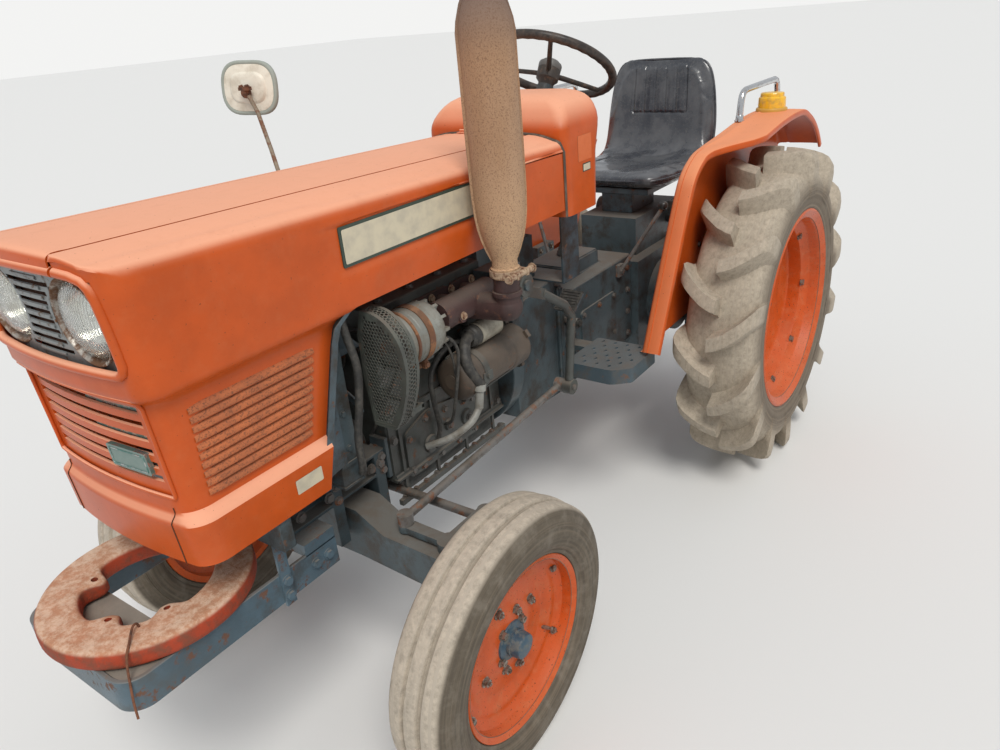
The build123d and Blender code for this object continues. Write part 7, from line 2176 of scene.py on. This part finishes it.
# Frame fittings. Bolt heads on the frame's rails and its rear plate, and the large nut in front of
# the axle's rocking pin.
frame_bolts = Piece()
for side in (1, -1):
    for x in (1.500, 1.530, 1.660, 1.740, 1.790):
        frame_bolts.bolt((x, side * 0.134, 0.606), (0, side, 0), 0.017)
    for x in (1.6365, 1.4925):
        for z in (0.585, 0.620):
            frame_bolts.bolt((x, side * 0.134, z), (0, side, 0), 0.015)
    for y, z in ((0.110, 0.592), (0.110, 0.628)):
        frame_bolts.bolt((1.482, side * y, z), (1, 0, 0), 0.016)
frame_bolts.bolt((1.652, 0, 0.500), (1, 0, 0), 0.034, 0.016)
frame_bolts.settle("frame_bolts", bare_rod, "chassis", "blue_grey_paint", "front_frame")


# Rear castings. Rows of bolts hold the bell housing, gearbox, axle and lift case together. Flat
# covers close the gearbox's sides, and a cast bracket carries each mudguard.
train, train_bolts = Piece(), Piece()
for k in range(18):
    a = k * tau / 18 + 0.1
    y, z = 0.176 * cos(a), 0.640 + 0.176 * sin(a)
    if 0.48 < z < 0.80:
        train_bolts.bolt((1.0185, y, z), (-1, 0, 0), 0.015)
for side in (1, -1):
    for x, z in ((0.235, 0.45), (0.235, 0.53), (0.235, 0.61), (0.235, 0.69), (0.655, 0.47), (0.655, 0.56),
                 (0.655, 0.65), (0.655, 0.72)):
        train_bolts.bolt((x, side * 0.125, z), (0, side, 0), 0.015)
    cover = rounded([(0.330, 0.480), (0.560, 0.480), (0.560, 0.640), (0.330, 0.640)], 0.020, 5)
    train.plate(cover, 0.007, standing(0.1245, side), 0.002)
    for x, z in ((0.345, 0.494), (0.445, 0.492), (0.545, 0.494), (0.345, 0.626), (0.445, 0.628),
                 (0.545, 0.626)):
        train_bolts.bolt((x, side * 0.1315, z), (0, side, 0), 0.013)
    for k in range(8):
        a = k * tau / 8 + 0.2
        train_bolts.bolt((0.085 * cos(a), side * 0.150, 0.528 + 0.085 * sin(a)), (0, side, 0), 0.015)
for y, z in ((0.128, 0.40), (0.128, 0.50), (0.128, 0.60), (0.128, 0.675), (0.060, 0.675), (0.060, 0.385)):
    for side in (1, -1):
        train_bolts.bolt((-0.170, side * y, z), (-1, 0, 0), 0.015)
brackets = Piece()
for side in (1, -1):
    low, high = sorted((side * 0.352, side * 0.384))
    brackets.block((-0.060, low, 0.6135), (0.060, high, 0.6600), 0.003)
brackets.settle("mudguard_brackets", blue_casting, "chassis", "orange_paint", "fenders")
train_bolts.settle("casting_bolts", bare_rod, "chassis", "blue_grey_paint", "transmission")
train.settle("gearbox_covers", blue_casting, "chassis", "blue_grey_paint", "transmission")


# Power take-off shaft. A bare steel stub with six splines, a round groove for the coupling's lock
# and a collar where it leaves the case.
stub = Piece()
stub_place = Matrix.Translation((0, 0, 0.480))
rows = []
for x, high, low in ((-0.1850, 0.0150, 0.0150), (-0.1860, 0.0172, 0.0150), (-0.1880, 0.0175, 0.0150),
                     (-0.2200, 0.0175, 0.0150), (-0.2215, 0.0160, 0.0145), (-0.2290, 0.0160, 0.0145),
                     (-0.2305, 0.0175, 0.0150), (-0.2590, 0.0175, 0.0150), (-0.2620, 0.0150, 0.0138)):
    rows.append([])
    for k in range(6):
        for turn, radius in ((-15, low), (-14, high), (-5, high), (5, high), (14, high), (15, low),
                             (22.5, low), (37.5, low)):
            a = radians(60 * k + turn)
            rows[-1].append((x, radius * cos(a), radius * sin(a)))
rows = [[stub_place @ Vector(p) for p in row] for row in rows]
stub.grid(rows, round_columns=True)
stub.cap(rows[-1])
turn_rear = stub_place @ Matrix.Rotation(radians(-90), 4, "Y")
stub.turned([(0, 0.130), (0.0235, 0.130), (0.0235, 0.1745), (0.0222, 0.1760), (0.0150, 0.1760),
             (0.0150, 0.1860), (0, 0.1860)], turn_rear, 40)
stub.settle("pto_splines", bare_rod, "pto_shaft", "bare_steel", "pto_shaft", smooth=30)
seal = Piece()
seal.turned([(0.0245, 0.1690), (0.0420, 0.1690), (0.0440, 0.1705), (0.0440, 0.1760), (0.0425, 0.1775),
             (0.0330, 0.1785), (0.0260, 0.1765), (0.0245, 0.1740)], turn_rear, 40)
for k in range(4):
    a = radians(45 + 90 * k)
    seal.bolt((-0.1772, 0.0375 * cos(a), 0.480 + 0.0375 * sin(a)), (-1, 0, 0), 0.009)
seal.settle("pto_seal_plate", blue_casting, "chassis", "blue_grey_paint", "rear_axle")


# The finished model's bounds
low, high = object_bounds()
